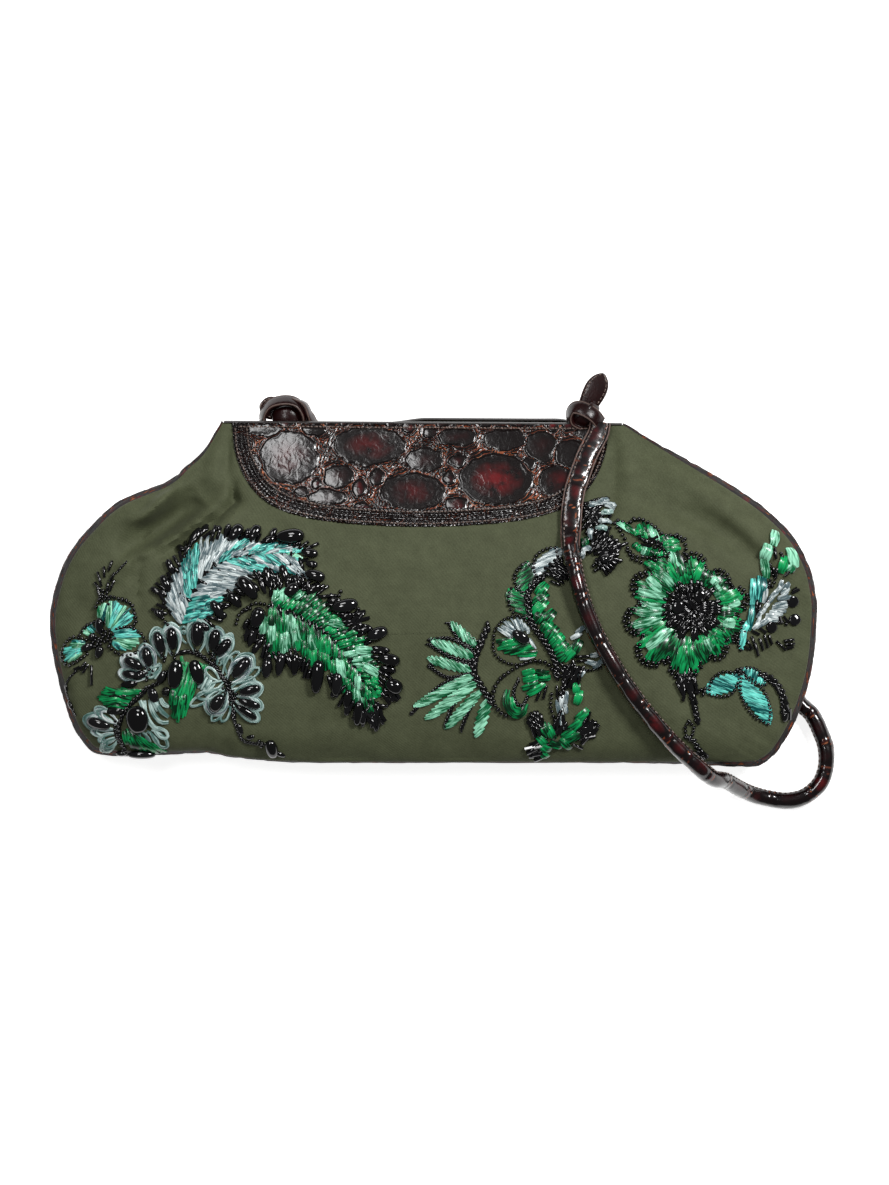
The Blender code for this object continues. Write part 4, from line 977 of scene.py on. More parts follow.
class CrocHide:
    """Raised pattern of a crocodile hide: polished scales with cracked creases between them.

    Each groove and mark is a curve over the distance from a crack, in millimetres.
    """

    ringed_groove = ((0, 0.12, 0.3, 0.6, 1.5), (-0.42, -0.34, -0.06, 0.15, 0.0))
    ringed_mark = ((0, 0.1, 0.2), (1.0, 0.8, 0.0))
    plain_groove = ((0, 0.18, 0.32, 0.62, 1.15, 2.2), (-0.3, -0.1, -0.12, -0.5, -0.06, 0.0))
    plain_mark = ((0, 0.16, 0.3), (1.0, 0.9, 0.0))
    rim_groove = (0.5, 0.3)
    dome_mm = 0.26
    crack_rings = (0.55, 1.9, 3.4)
    tries = 4000
    batch = 4000

    def __init__(self, scales: Any, seed: int, rings: Sequence[float] = ()) -> None:
        """Hold the scales.

        Args:
            scales: Middle and half sizes of each scale, four numbers in millimetres.
            seed: Which set of tones and crease widths.
            rings: How far outside a scale the cracks run that follow its outline, in millimetres.
        """
        self.scales = np.array(scales, float)
        self.rings = rings
        self.tones = np.random.default_rng(seed).uniform(0.1, 1.0, len(self.scales))
        self.spread = Ripple(9.0, seed)
        self.wobble = [Ripple(6.5, seed + 1), Ripple(6.5, seed + 2)]

    @classmethod
    def filled(cls, large: Any, low: Sequence[float], high: Sequence[float], size: float,
               seed: int) -> "CrocHide":
        """Fill the ground between large scales with small ones.

        Args:
            large: The large scales: four numbers each, and how wine-red their heart is.
            low: Lowest corner of the ground, in millimetres.
            high: Highest corner.
            size: Mean half size of a small scale.
            seed: Which filling.

        Returns:
            The whole hide.
        """
        chance = np.random.default_rng(seed)
        scales = [tuple(s[:4]) for s in large]
        for _ in range(cls.tries):
            x, y = chance.uniform(low, high)
            rx, ry = size * chance.uniform(0.7, 1.5), size * chance.uniform(0.6, 1.1)
            if all(math.hypot((x - sx) / (sw + rx), (y - sy) / (sh + ry)) > 1.06
                   for sx, sy, sw, sh in scales):
                scales.append((x, y, rx, ry))
        hide = cls(scales, seed, cls.crack_rings)
        hide.tones[:len(large)] = [s[4] for s in large]
        return hide

    @classmethod
    def rows(cls, length: float, width: float, scale: tuple[float, float], seed: int,
             knots: bool = False) -> "CrocHide":
        """Lay small scales in uneven rows along a strip.

        Args:
            length: The strip's length in millimetres.
            width: Its width.
            scale: Length and width of a scale.
            seed: Which unevenness.
            knots: Whether every second scale is a short one, as on a strap that is rolled.

        Returns:
            The hide.
        """
        chance = np.random.default_rng(seed)
        scales = []
        for row in range(-1, round(width / scale[1]) + 1):
            x = -scale[0] * chance.uniform(0.2, 1.0)
            while x < length + scale[0]:
                step = scale[0] * chance.uniform(0.7, 1.4)
                if knots and len(scales) % 2:
                    step = scale[0] * chance.uniform(0.1, 0.26)
                scales.append((x + step / 2, (row + 0.5 + chance.uniform(-0.15, 0.15)) * scale[1],
                               step * 0.46, scale[1] * chance.uniform(0.38, 0.5)))
                x += step
        return cls(scales, seed)

    def read(self, plan: np.ndarray) -> tuple[np.ndarray, np.ndarray, np.ndarray, np.ndarray]:
        """Read the hide at places.

        Args:
            plan: Places in millimetres, of any shape ending in two.

        Returns:
            Relief in millimetres, mark, tone and nearness to the scale's rim.
        """
        flat = np.asarray(plan, float).reshape(-1, 2)
        flat = flat + 0.55 * np.stack([w.read(flat) for w in self.wobble], axis=1)
        relief, mark = np.empty(len(flat)), np.empty(len(flat))
        tone, rim = np.empty(len(flat)), np.empty(len(flat))
        for start in range(0, len(flat), self.batch):
            part = slice(start, start + self.batch)
            away = flat[part, None] - self.scales[:, :2]
            share = np.linalg.norm(away / self.scales[:, 2:], axis=-1) + 1e-6
            gap = np.linalg.norm(away, axis=-1) * (1 - 1 / share)
            order = np.argpartition(gap, 1, axis=1)[:, :2]
            rows = np.arange(len(order))
            pair = gap[rows[:, None], order]
            first = np.where(pair[:, 0] < pair[:, 1], order[:, 0], order[:, 1])
            half = np.abs(pair[:, 0] - pair[:, 1]) / 2
            wide = 1 + 0.45 * self.spread.read(flat[part])
            for ring in self.rings:
                half = np.minimum(half, np.abs(pair.min(axis=1) - ring * np.clip(wide, 0.8, 1.3)))
            crease = half / np.clip(wide, 0.55, 1.6)
            tone[part] = self.tones[first]
            rim[part] = np.clip(share[rows, first], 0, 1.2)
            groove = np.interp(crease, *(self.ringed_groove if self.rings else self.plain_groove))
            mark[part] = np.interp(crease, *(self.ringed_mark if self.rings else self.plain_mark))
            if self.rings:
                deep, width = self.rim_groove
                groove -= deep * np.exp(-(pair.min(axis=1) / width) ** 2)
            relief[part] = groove + self.dome_mm * (1 - np.clip(rim[part], 0, 1) ** 2)
        shape = np.shape(plan)[:-1]
        return relief.reshape(shape), mark.reshape(shape), tone.reshape(shape), rim.reshape(shape)


class Side(Enum):
    """Which half of the bag a layer belongs to, and the body that its mouth part moves with."""

    FRONT = MOUTH
    BACK = BAG

    @property
    def outwards(self) -> float:
        """+1 where the outside faces up, -1 where it faces down."""
        return 1.0 if self is Side.FRONT else -1.0

    @property
    def fold(self) -> Optional[tuple[Place, Place]]:
        """Where the side's cloth bends when the mouth opens; the back's cloth stays as it is."""
        return CLOTH_FOLD if self is Side.FRONT else None

    def word(self) -> str:
        """The side's name as used in piece names."""
        return self.name.lower()


class Layers:
    """Outer faces of the bag's sides, each worked out once, and the layers laid against them."""

    def __init__(self, form: BagForm) -> None:
        """Hold the form that the layers belong to."""
        self.form = form
        self.made: dict[Side, Surface] = {}

    def on(self, side: Side) -> Surface:
        """The outer face of a side."""
        if side not in self.made:
            grid = self.form.front(0.0) if side is Side.FRONT else self.form.back(0.0)
            self.made[side] = Surface(grid)
        return self.made[side]

    def slab(self, stock: Stock, side: Side, grid: np.ndarray, depths: tuple[float, float],
             **values: Any) -> None:
        """Add a layer over a grid in plan between two depths of a side."""
        faces = []
        for depth in depths:
            level = self.on(side).heights(grid) - side.outwards * depth
            faces.append(np.dstack([grid, level]))
        stock.shell(faces[0], faces[1], False, **values)

    def sew(self, stock: Stock, side: Side, line: np.ndarray, lift: float, outer: bool, finish: int,
            **stitch: float) -> None:
        """Sew a thread row along a line in plan.

        Args:
            stock: The piece that it is added to.
            side: The side that it is sewn on.
            line: The row's course, in metres.
            lift: How far it lies from the side's outer face.
            outer: Whether it shows on the outside of the bag, or inside.
            finish: Which finish the thread takes.
            **stitch: pitch, long and thick of the stitches.
        """
        spots, ups = zip(*(self.on(side).place(x, y) for x, y in line))
        ups = np.array(ups) * (side.outwards if outer else -side.outwards)
        thread_row(stock, np.array(spots) + ups * lift, ups, finish, **stitch)


@dataclass
class FabricShell:
    """Front and back panels of olive satin."""

    form: BagForm
    cut: YokeCut
    under_yoke: float = 0.00065

    def build(self) -> Surface:
        """Build both panels.

        Returns:
            The front's outer surface, which the beadwork is sewn on.
        """
        inset = self.form.cloth * (1 - self.form.closeness)
        for side, shape in ((Side.FRONT, self.form.front), (Side.BACK, self.form.back)):
            outer, inner = shape(0.0), shape(self.form.cloth, inset)
            if side is Side.FRONT:
                bare = outer.copy()
            sunk = smooth_step(self.cut.inside(outer[..., :2]) / 0.0008 + 0.2) * self.under_yoke
            outer[..., 2] -= side.outwards * sunk
            inner[..., 2] += side.outwards * sunk * 0.4
            stock = Stock(f"{side.word()}_fabric", [OLIVE_SATIN])
            stock.shell(outer, inner, True)
            settle(stock.finished(), BAG, "olive_fabric", f"{side.word()}_panel", fold=side.fold)
        return Surface(bare)


@dataclass
class Gusset:
    """Leather band between the panels: two ends that run up to the mouth, and the base."""

    form: BagForm
    thickness: float = 0.0016
    rows: int = 14
    seam_gap: float = 0.0001
    base_share: float = 0.86
    base_bulge: float = 0.0006
    end_bulge: float = 0.0024
    hide_mm: float = 28.0
    hide_start_mm: float = 2.0
    scale_mm: tuple[float, float] = (8.5, 6.5)
    seed: int = 41

    def runs(self) -> dict[str, tuple[int, int]]:
        """First and last seam points of each stretch."""
        x_share = self.form.seam[:, 0] / (self.form.length / 2)
        low = np.flatnonzero((self.form.seam[:, 1] < 0) & (np.abs(x_share) < self.base_share))
        return {"gusset_left": (0, low[0] + 1), "gusset_base": (low[0], low[-1] + 1),
                "gusset_right": (low[-1], len(self.form.round))}

    def bulges(self) -> np.ndarray:
        """How far the band stands out of the seams all round, in metres."""
        x_share = self.form.seam[:, 0] / (self.form.length / 2)
        ends = smooth_step((np.abs(x_share) - 0.5) / 0.4)
        bulge = self.base_bulge + self.end_bulge * np.where(self.form.seam[:, 1] < 0, ends, 1.0)
        return bulge * (1 - 0.6 * self.form.closeness)

    def build(self) -> None:
        """Build the three stretches."""
        bulge = self.bulges()
        cloth = self.form.cloth * self.form.closeness + self.seam_gap
        for name, (first, last) in self.runs().items():
            part = slice(first, last)
            low, high = self.form.back_seam[part] + cloth[part], self.form.front_seam[part] - cloth[part]
            run = self.form.run[part] / MM
            share = np.linspace(0, 1, self.rows + 1)[:, None]
            level = low + (high - low) * share
            across = (level - low) / MM
            hide = CrocHide.rows(run[-1] - run[0], self.hide_mm, self.scale_mm, self.seed + first)
            relief, mark, tone, rim = hide.read(np.stack([np.broadcast_to(run - run[0], level.shape),
                                                          across + self.hide_start_mm], axis=-1))
            hold = np.sin(math.pi * share) ** 0.5
            layers = []
            for inset in (0.0, self.thickness):
                out = bulge[part] * np.sin(math.pi * share) - inset + relief * MM * hold * (inset == 0)
                plan = self.form.seam[part] + self.form.outward[part] * out[..., None]
                layers.append(np.dstack([plan, level]))
            surface = np.stack([np.broadcast_to(run, level.shape), across, rim], axis=-1)
            stock = Stock(name.replace("gusset", "band"), [BAND_CALF])
            stock.shell(layers[0], layers[1], False, surface=surface, mark=mark, tone=tone)
            fold = None if name == "gusset_base" else GUSSET_FOLD
            settle(stock.finished(), BAG, "croc_leather", name, fold=fold)


def oval(wide: Any, high: Any, sides: int) -> np.ndarray:
    """Ring of a section that is round where it is as high as wide, and squarer where it is flat.

    Args:
        wide: Half width, one or one for each path point, in metres.
        high: Half height.
        sides: How many places the ring has.

    Returns:
        Section places across and up.
    """
    wide, high = np.atleast_1d(wide)[:, None], np.atleast_1d(high)[:, None]
    turn = 2 * math.pi * (np.arange(sides) + 0.5) / sides
    power = 0.5 + 0.5 * np.minimum(high / wide, 1.0)
    across = wide * np.sign(np.cos(turn)) * np.abs(np.cos(turn)) ** power
    up = high * np.sign(np.sin(turn)) * np.abs(np.sin(turn)) ** power
    return np.stack([across, up], axis=-1)


def frames_along(path: np.ndarray, facing: Any = UP) -> tuple[np.ndarray, np.ndarray, np.ndarray]:
    """Directions along, across and up from a path.

    Args:
        path: Its points.
        facing: The direction that the upper face looks, one or one for each point.

    Returns:
        Unit vectors along, across and up at each point.
    """
    along = np.gradient(path, axis=0)
    along /= np.linalg.norm(along, axis=1)[:, None]
    across = np.cross(along, np.broadcast_to(facing, along.shape))
    across /= np.linalg.norm(across, axis=1)[:, None]
    return along, across, np.cross(across, along)


def thread_row(stock: Stock, line: np.ndarray, ups: np.ndarray, finish: int, pitch: float = 0.0022,
               long: float = 0.0015, thick: float = 0.00032) -> None:
    """Sew a row of stitches along a line, each a small rounded rod half sunk in the leather.

    Args:
        stock: The piece that they are added to.
        line: Points along the row, in metres.
        ups: The direction out of the leather at each point.
        finish: Which finish the thread takes.
        pitch: Distance from stitch to stitch.
        long: Length of a stitch.
        thick: Half thickness of the thread.
    """
    run = run_along(line)
    for number, middle in enumerate(np.arange(pitch / 2, run[-1], pitch)):
        at = middle + np.array([-0.5, -0.36, 0.0, 0.36, 0.5]) * long
        spine, up = read_at(at, run, line), read_at(at, run, ups)
        sink = np.array([-0.9, -0.1, 0.25, -0.1, -0.9])[:, None] * thick
        spine = spine + up * sink
        _, across, rise = frames_along(spine, up)
        size = np.array([0.55, 0.95, 1.0, 0.95, 0.55]) * thick
        ring = oval(size, size, 6)
        stock.sweep(spine, across, rise, ring, finish, tone=[(number * 0.37) % 1.0])


YOKE_SCALES = (
    (-72.8, 66.8, 14.8, 13.2, 0.35), (-32.8, 72.6, 18.0, 9.6, 0.5), (30.3, 55.8, 18.5, 12.6, 1.0),
    (-11.3, 49.6, 16.0, 9.2, 0.4), (-48.3, 57.2, 7.5, 5.8, 0.1), (-5.5, 65.6, 9.4, 5.8, 0.1),
    (34.3, 75.6, 10.6, 5.2, 0.0), (-54.3, 46.8, 9.8, 4.2, 0.1), (52.6, 72.2, 8.0, 7.6, 0.1),
    (68.2, 68.0, 9.4, 7.6, 0.0), (61.4, 54.8, 10.0, 8.2, 0.45), (-60.5, 80.4, 6.0, 2.6, 0.0),
    (-85.3, 80.4, 9.0, 3.2, 0.0), (-28.8, 56.8, 4.0, 4.2, 0.1), (11.0, 76.8, 9.6, 4.4, 0.1),
    (76.0, 78.6, 7.0, 3.0, 0.0), (-90.2, 62.0, 4.0, 5.5, 0.1), (10.8, 64.6, 4.4, 3.6, 0.2),
    (77.6, 59.0, 4.6, 5.0, 0.1), (-66.5, 49.6, 3.6, 2.6, 0.1), (46.6, 63.6, 3.6, 3.4, 0.0))


@dataclass
class Yokes:
    """Crocodile yokes sewn round the mouth, their stitch rows and painted edges."""

    form: BagForm
    cut: YokeCut
    layers: Layers
    proud: float = 0.00062
    sunk: float = 0.0006
    spacing: float = 0.00044
    rows_in: tuple[float, ...] = (0.0014, 0.0072)
    back_spacing: float = 0.0011
    rib_wide: float = 0.0078
    rib_fade: float = 0.0012
    rib_calm: float = 0.45
    rib_mark: float = 0.4
    round_mm: float = 0.35
    round_reach: float = 0.0007
    pearl_pitch: float = 0.0020
    pearl_mm: float = 0.24
    small_scale_mm: float = 4.0
    edge_radius: float = 0.080

    def pearls(self, grid: np.ndarray, inside: np.ndarray) -> np.ndarray:
        """Rows of small pearls embossed along the round edge, as heights from -2 to 2.

        Args:
            grid: Places in plan.
            inside: Their distance inside the round edge.

        Returns:
            A height for each place.
        """
        away = (grid - (self.cut.middle, self.form.mouth_line(self.cut.middle))) / (
            self.cut.half_width, -self.cut.depth)
        course = np.arctan2(away[..., 0], np.clip(away[..., 1], 0, None)) * self.edge_radius
        row = np.round(inside / self.pearl_pitch)
        return (np.cos(inside / self.pearl_pitch * 2 * math.pi)
                + np.cos((course / self.pearl_pitch + 0.5 * row) * 2 * math.pi))

    def build(self) -> None:
        """Build the front and back yokes."""
        for side in Side:
            front = side is Side.FRONT
            grid = self.cut.grid(0.0, self.spacing if front else self.back_spacing,
                                 None if front else self.cut.back_lift)
            spots = np.array(YOKE_SCALES)
            if not front:
                spots[:, 0] = -15.0 - spots[:, 0]
            hide = CrocHide.filled(spots, (-104, 28), (90, 86), self.small_scale_mm, 12 if front else 19)
            relief, mark, tone, rim = hide.read(grid / MM)
            inside = self.cut.inside(grid)
            rib = 1 - smooth_step((inside - self.rib_wide) / self.rib_fade)
            relief = relief * (1 - self.rib_calm * rib)
            relief = relief + rib * self.pearl_mm * self.pearls(grid, inside)
            mark = mark * (1 - self.rib_mark * rib)
            rim = np.maximum(rim, rib)
            round_off = -self.round_mm * (1 - np.clip(inside / self.round_reach, 0, 1)) ** 2
            level = self.layers.on(side).heights(grid)
            outer = level + side.outwards * (self.proud + (relief + round_off) * MM)
            inner = level - side.outwards * self.sunk
            stock = Stock(f"{side.word()}_yoke_leather", [CROC_CALF, BLACK_EDGE, SADDLE_THREAD])
            stock.shell(np.dstack([grid, outer]), np.dstack([grid, inner]), False, (0, 0, 1),
                        surface=np.dstack([grid / MM, rim]), mark=mark, tone=tone)
            self.stitch(stock, side)
            settle(stock.finished(), side.value, "croc_leather", f"{side.word()}_yoke")

    def stitch(self, stock: Stock, side: Side) -> None:
        """Sew the rows along the round edge, and one row inside the mouth's edge."""
        lines = [self.cut.edge(-inset, 0.002) for inset in self.rows_in]
        ends = np.linspace(self.cut.middle - self.cut.half_width + 0.003,
                           self.cut.middle + self.cut.half_width - 0.003, 90)
        lines.append(np.column_stack([ends, self.form.mouth_line(ends) - 0.0022]))
        for line in lines:
            self.layers.sew(stock, side, self.form.below_mouth(line, 0.0015), self.proud + 0.00012, True, 2,
                            pitch=0.0021, long=0.0015, thick=0.0004)


@dataclass
class MouthInside:
    """What lies behind the yokes: stays, facings, painted mouth edges, the snap, lining and pocket."""

    form: BagForm
    cut: YokeCut
    layers: Layers
    stay_size: tuple[float, float] = (0.120, 0.010)
    stay: tuple[float, float] = (0.0016, 0.0026)
    facing: tuple[float, float] = (0.0028, 0.0038)
    lining: tuple[float, float] = (0.0042, 0.0050)
    pocket: tuple[float, float] = (0.0052, 0.0060)
    pocket_hem: float = 0.0066
    pocket_drop: float = 0.078
    pocket_high: float = 0.062
    pocket_half: float = 0.060
    pocket_corner: float = 0.010
    snap_drop: float = 0.015
    snap_level: float = 0.026

    def build(self) -> None:
        """Build all that the mouth holds."""
        for side in Side:
            self.build_stay(side)
            self.build_facing(side)
            self.build_edge(side)
            self.build_lining(side)
            self.build_snap(side)
        self.build_pocket()

    def build_stay(self, side: Side) -> None:
        """Cut one spring steel strip that keeps its half of the mouth straight."""
        long, wide = self.stay_size
        top = self.form.mouth_line(self.cut.middle) - 0.0025
        x = self.cut.middle + np.linspace(-long / 2, long / 2, 61)
        y = top - np.linspace(0, wide, 9)
        grid = np.stack(np.meshgrid(x, y), axis=-1)
        stock = Stock(f"{side.word()}_steel_strip", [STAY_STEEL])
        self.layers.slab(stock, side, grid, self.stay)
        settle(stock.finished(), side.value, "spring_steel", f"{side.word()}_stay")

    def build_facing(self, side: Side) -> None:
        """Cut one smooth facing, with a stitch row inside its round edge."""
        stock = Stock(f"{side.word()}_facing_leather", [FACING_FACE, BLACK_EDGE, SADDLE_THREAD])
        self.layers.slab(stock, side, self.cut.grid(-0.0015, 0.002), self.facing, finishes=(0, 0, 1))
        line = self.form.below_mouth(self.cut.edge(-0.0035, 0.002), 0.002)
        self.layers.sew(stock, side, line, self.facing[1] + 0.0001, False, 2)
        settle(stock.finished(), side.value, "facing_leather", f"{side.word()}_facing")

    def build_edge(self, side: Side) -> None:
        """Paint the mouth's edge: a thin rounded bead over yoke, fabric and facing."""
        clear = 0.0004
        x = np.linspace(self.form.round[0][0] + clear, self.form.round[-1][0] - clear, 130)
        y = self.form.mouth_line(x) + 0.0001
        if side is Side.BACK:
            y = y + self.cut.back_lift(x)
        level = self.layers.on(side).heights(np.column_stack([x, y - 0.0003]))
        path = np.column_stack([x, y, level - side.outwards * 0.0015])
        _, across, rise = frames_along(path)
        stock = Stock(f"{side.word()}_mouth_edge", [BLACK_EDGE])
        stock.sweep(path, across, rise, oval(0.0009, 0.0023, 12))
        settle(stock.finished(), side.value, "croc_leather")

    def build_lining(self, side: Side) -> None:
        """Sew one half of the lining; the halves meet at mid height round the seam."""
        shape = self.form.front if side is Side.FRONT else self.form.back
        middle = (self.form.front_seam + self.form.back_seam) / 2
        grids = []
        for depth in self.lining:
            grid = shape(depth, depth)
            skirt = grid[-1:].copy()
            skirt[0, :, 2] = middle + side.outwards * 0.00015
            mouth = slice(len(self.form.round), None)
            skirt[0, mouth, 2] = grid[-1, mouth, 2] - side.outwards * 0.0002
            grids.append(np.vstack([grid, skirt]))
        stock = Stock(f"{side.word()}_lining", [LINING_SATIN])
        stock.shell(grids[0], grids[1], True)
        settle(stock.finished(), side.value, "lining_satin", f"lining_{side.word()}", fold=side.fold)

    def build_pocket(self) -> None:
        """Sew the slip pocket on the back half of the lining, with a turned top hem."""
        top = self.form.mouth_line(self.cut.middle) - self.pocket_drop
        y = top - np.linspace(0, self.pocket_high, 40)
        corner = np.clip((y - (top - self.pocket_high)) / self.pocket_corner, 0, 1)
        half = self.pocket_half - self.pocket_corner * (1 - np.sqrt(np.clip(1 - (1 - corner) ** 2, 0, 1)))
        x = self.cut.middle + np.linspace(-1, 1, 70) * half[:, None]
        grid = np.stack([x, np.broadcast_to(y[:, None], x.shape)], axis=-1)
        stock = Stock("slip_pocket", [LINING_SATIN, SADDLE_THREAD])
        self.layers.slab(stock, Side.BACK, grid, self.pocket)
        self.layers.slab(stock, Side.BACK, grid[:5], (self.pocket[1], self.pocket_hem))
        rim = np.vstack([grid[1:, 1], grid[-2, 2:-2], grid[:0:-1, -2]])
        self.layers.sew(stock, Side.BACK, rim, self.pocket[1] + 0.0001, False, 1)
        settle(stock.finished(), Side.BACK.value, "lining_satin", "inner_pocket")

    def build_snap(self, side: Side) -> None:
        """Turn one half of the magnetic snap, seated on its facing, with rounded rims."""
        y = self.form.mouth_line(self.cut.middle) - self.snap_drop
        spot, _ = self.layers.on(side).place(self.cut.middle, y)
        seat = abs(spot[2] - side.outwards * self.facing[1] - self.snap_level)
        rim, collar, flange, bevel, face = 0.007, 0.0045, 0.001, 0.00025, 0.0002
        profile = [(rim - bevel, seat), (rim, seat - bevel), (rim, seat - flange + bevel),
                   (rim - bevel, seat - flange), (collar + bevel, seat - flange - 0.0001),
                   (collar, seat - flange - bevel), (collar, face + bevel), (collar - bevel, face),
                   (0.0022, face), (0.0019, face + 0.0002)]
        turn = np.arange(40) / 40 * 2 * math.pi
        rows = np.array([[(r * math.cos(a), r * math.sin(a), z * side.outwards) for a in turn]
                         for r, z in profile])
        stock = Stock(f"{side.word()}_snap_half", [SNAP_PLATE])
        stock.rings(rows + np.array([self.cut.middle, y, self.snap_level]))
        settle(stock.finished(), side.value, "snap_metal", f"{side.word()}_snap")


FLAT_RIGHT_ROUTE = (
    (0.0820, 0.0842, 0.0336), (0.0812, 0.0792, 0.0347), (0.0780, 0.0730, 0.0364), (0.0752, 0.0672, 0.0384),
    (0.0722, 0.0592, 0.0412), (0.0694, 0.0508, 0.0441), (0.0679, 0.0420, 0.0468), (0.0674, 0.0352, 0.0483))
TAPER_RIGHT_ROUTE = (
    (0.0673, 0.0319, 0.0487), (0.0670, 0.0270, 0.0508), (0.0672, 0.0213, 0.0536), (0.0683, 0.0159, 0.0549))
ROLL_ROUTE = (
    (0.0684, 0.0155, 0.0550), (0.0700, 0.0070, 0.0573), (0.0722, -0.0012, 0.0583), (0.0758, -0.0118, 0.0584),
    (0.0812, -0.0238, 0.0584), (0.0888, -0.0372, 0.0581), (0.0978, -0.0508, 0.0568),
    (0.1082, -0.0642, 0.0546), (0.1188, -0.0762, 0.0512), (0.1255, -0.0824, 0.0497),
    (0.1322, -0.0885, 0.0462), (0.1385, -0.0930, 0.0380), (0.1443, -0.0942, 0.0275),
    (0.1503, -0.0975, 0.0175), (0.1565, -0.1004, 0.0095), (0.1640, -0.1028, 0.0052),
    (0.1758, -0.1045, 0.0043), (0.1848, -0.1022, 0.0043), (0.1922, -0.0957, 0.0043),
    (0.1952, -0.0868, 0.0043), (0.1950, -0.0778, 0.0043), (0.1918, -0.0688, 0.0043),
    (0.1878, -0.0612, 0.0043), (0.1818, -0.0552, 0.0043), (0.1772, -0.0442, 0.0043),
    (0.1738, -0.0292, 0.0043), (0.1698, -0.0142, 0.0043), (0.1632, 0.0020, 0.0043),
    (0.1548, 0.0158, 0.0043), (0.1398, 0.0308, 0.0043), (0.1222, 0.0418, 0.0043), (0.1022, 0.0488, 0.0043),
    (0.0622, 0.0518, 0.0043), (0.0072, 0.0528, 0.0043), (-0.0228, 0.0535, 0.0043),
    (-0.0352, 0.0552, 0.0055), (-0.0452, 0.0588, 0.0078))
FLAT_LEFT_ROUTE = (
    (-0.0457, 0.0590, 0.0079), (-0.0520, 0.0612, 0.0094), (-0.0575, 0.0655, 0.0115),
    (-0.0612, 0.0720, 0.0138), (-0.0632, 0.0790, 0.0160), (-0.0640, 0.0850, 0.0182))


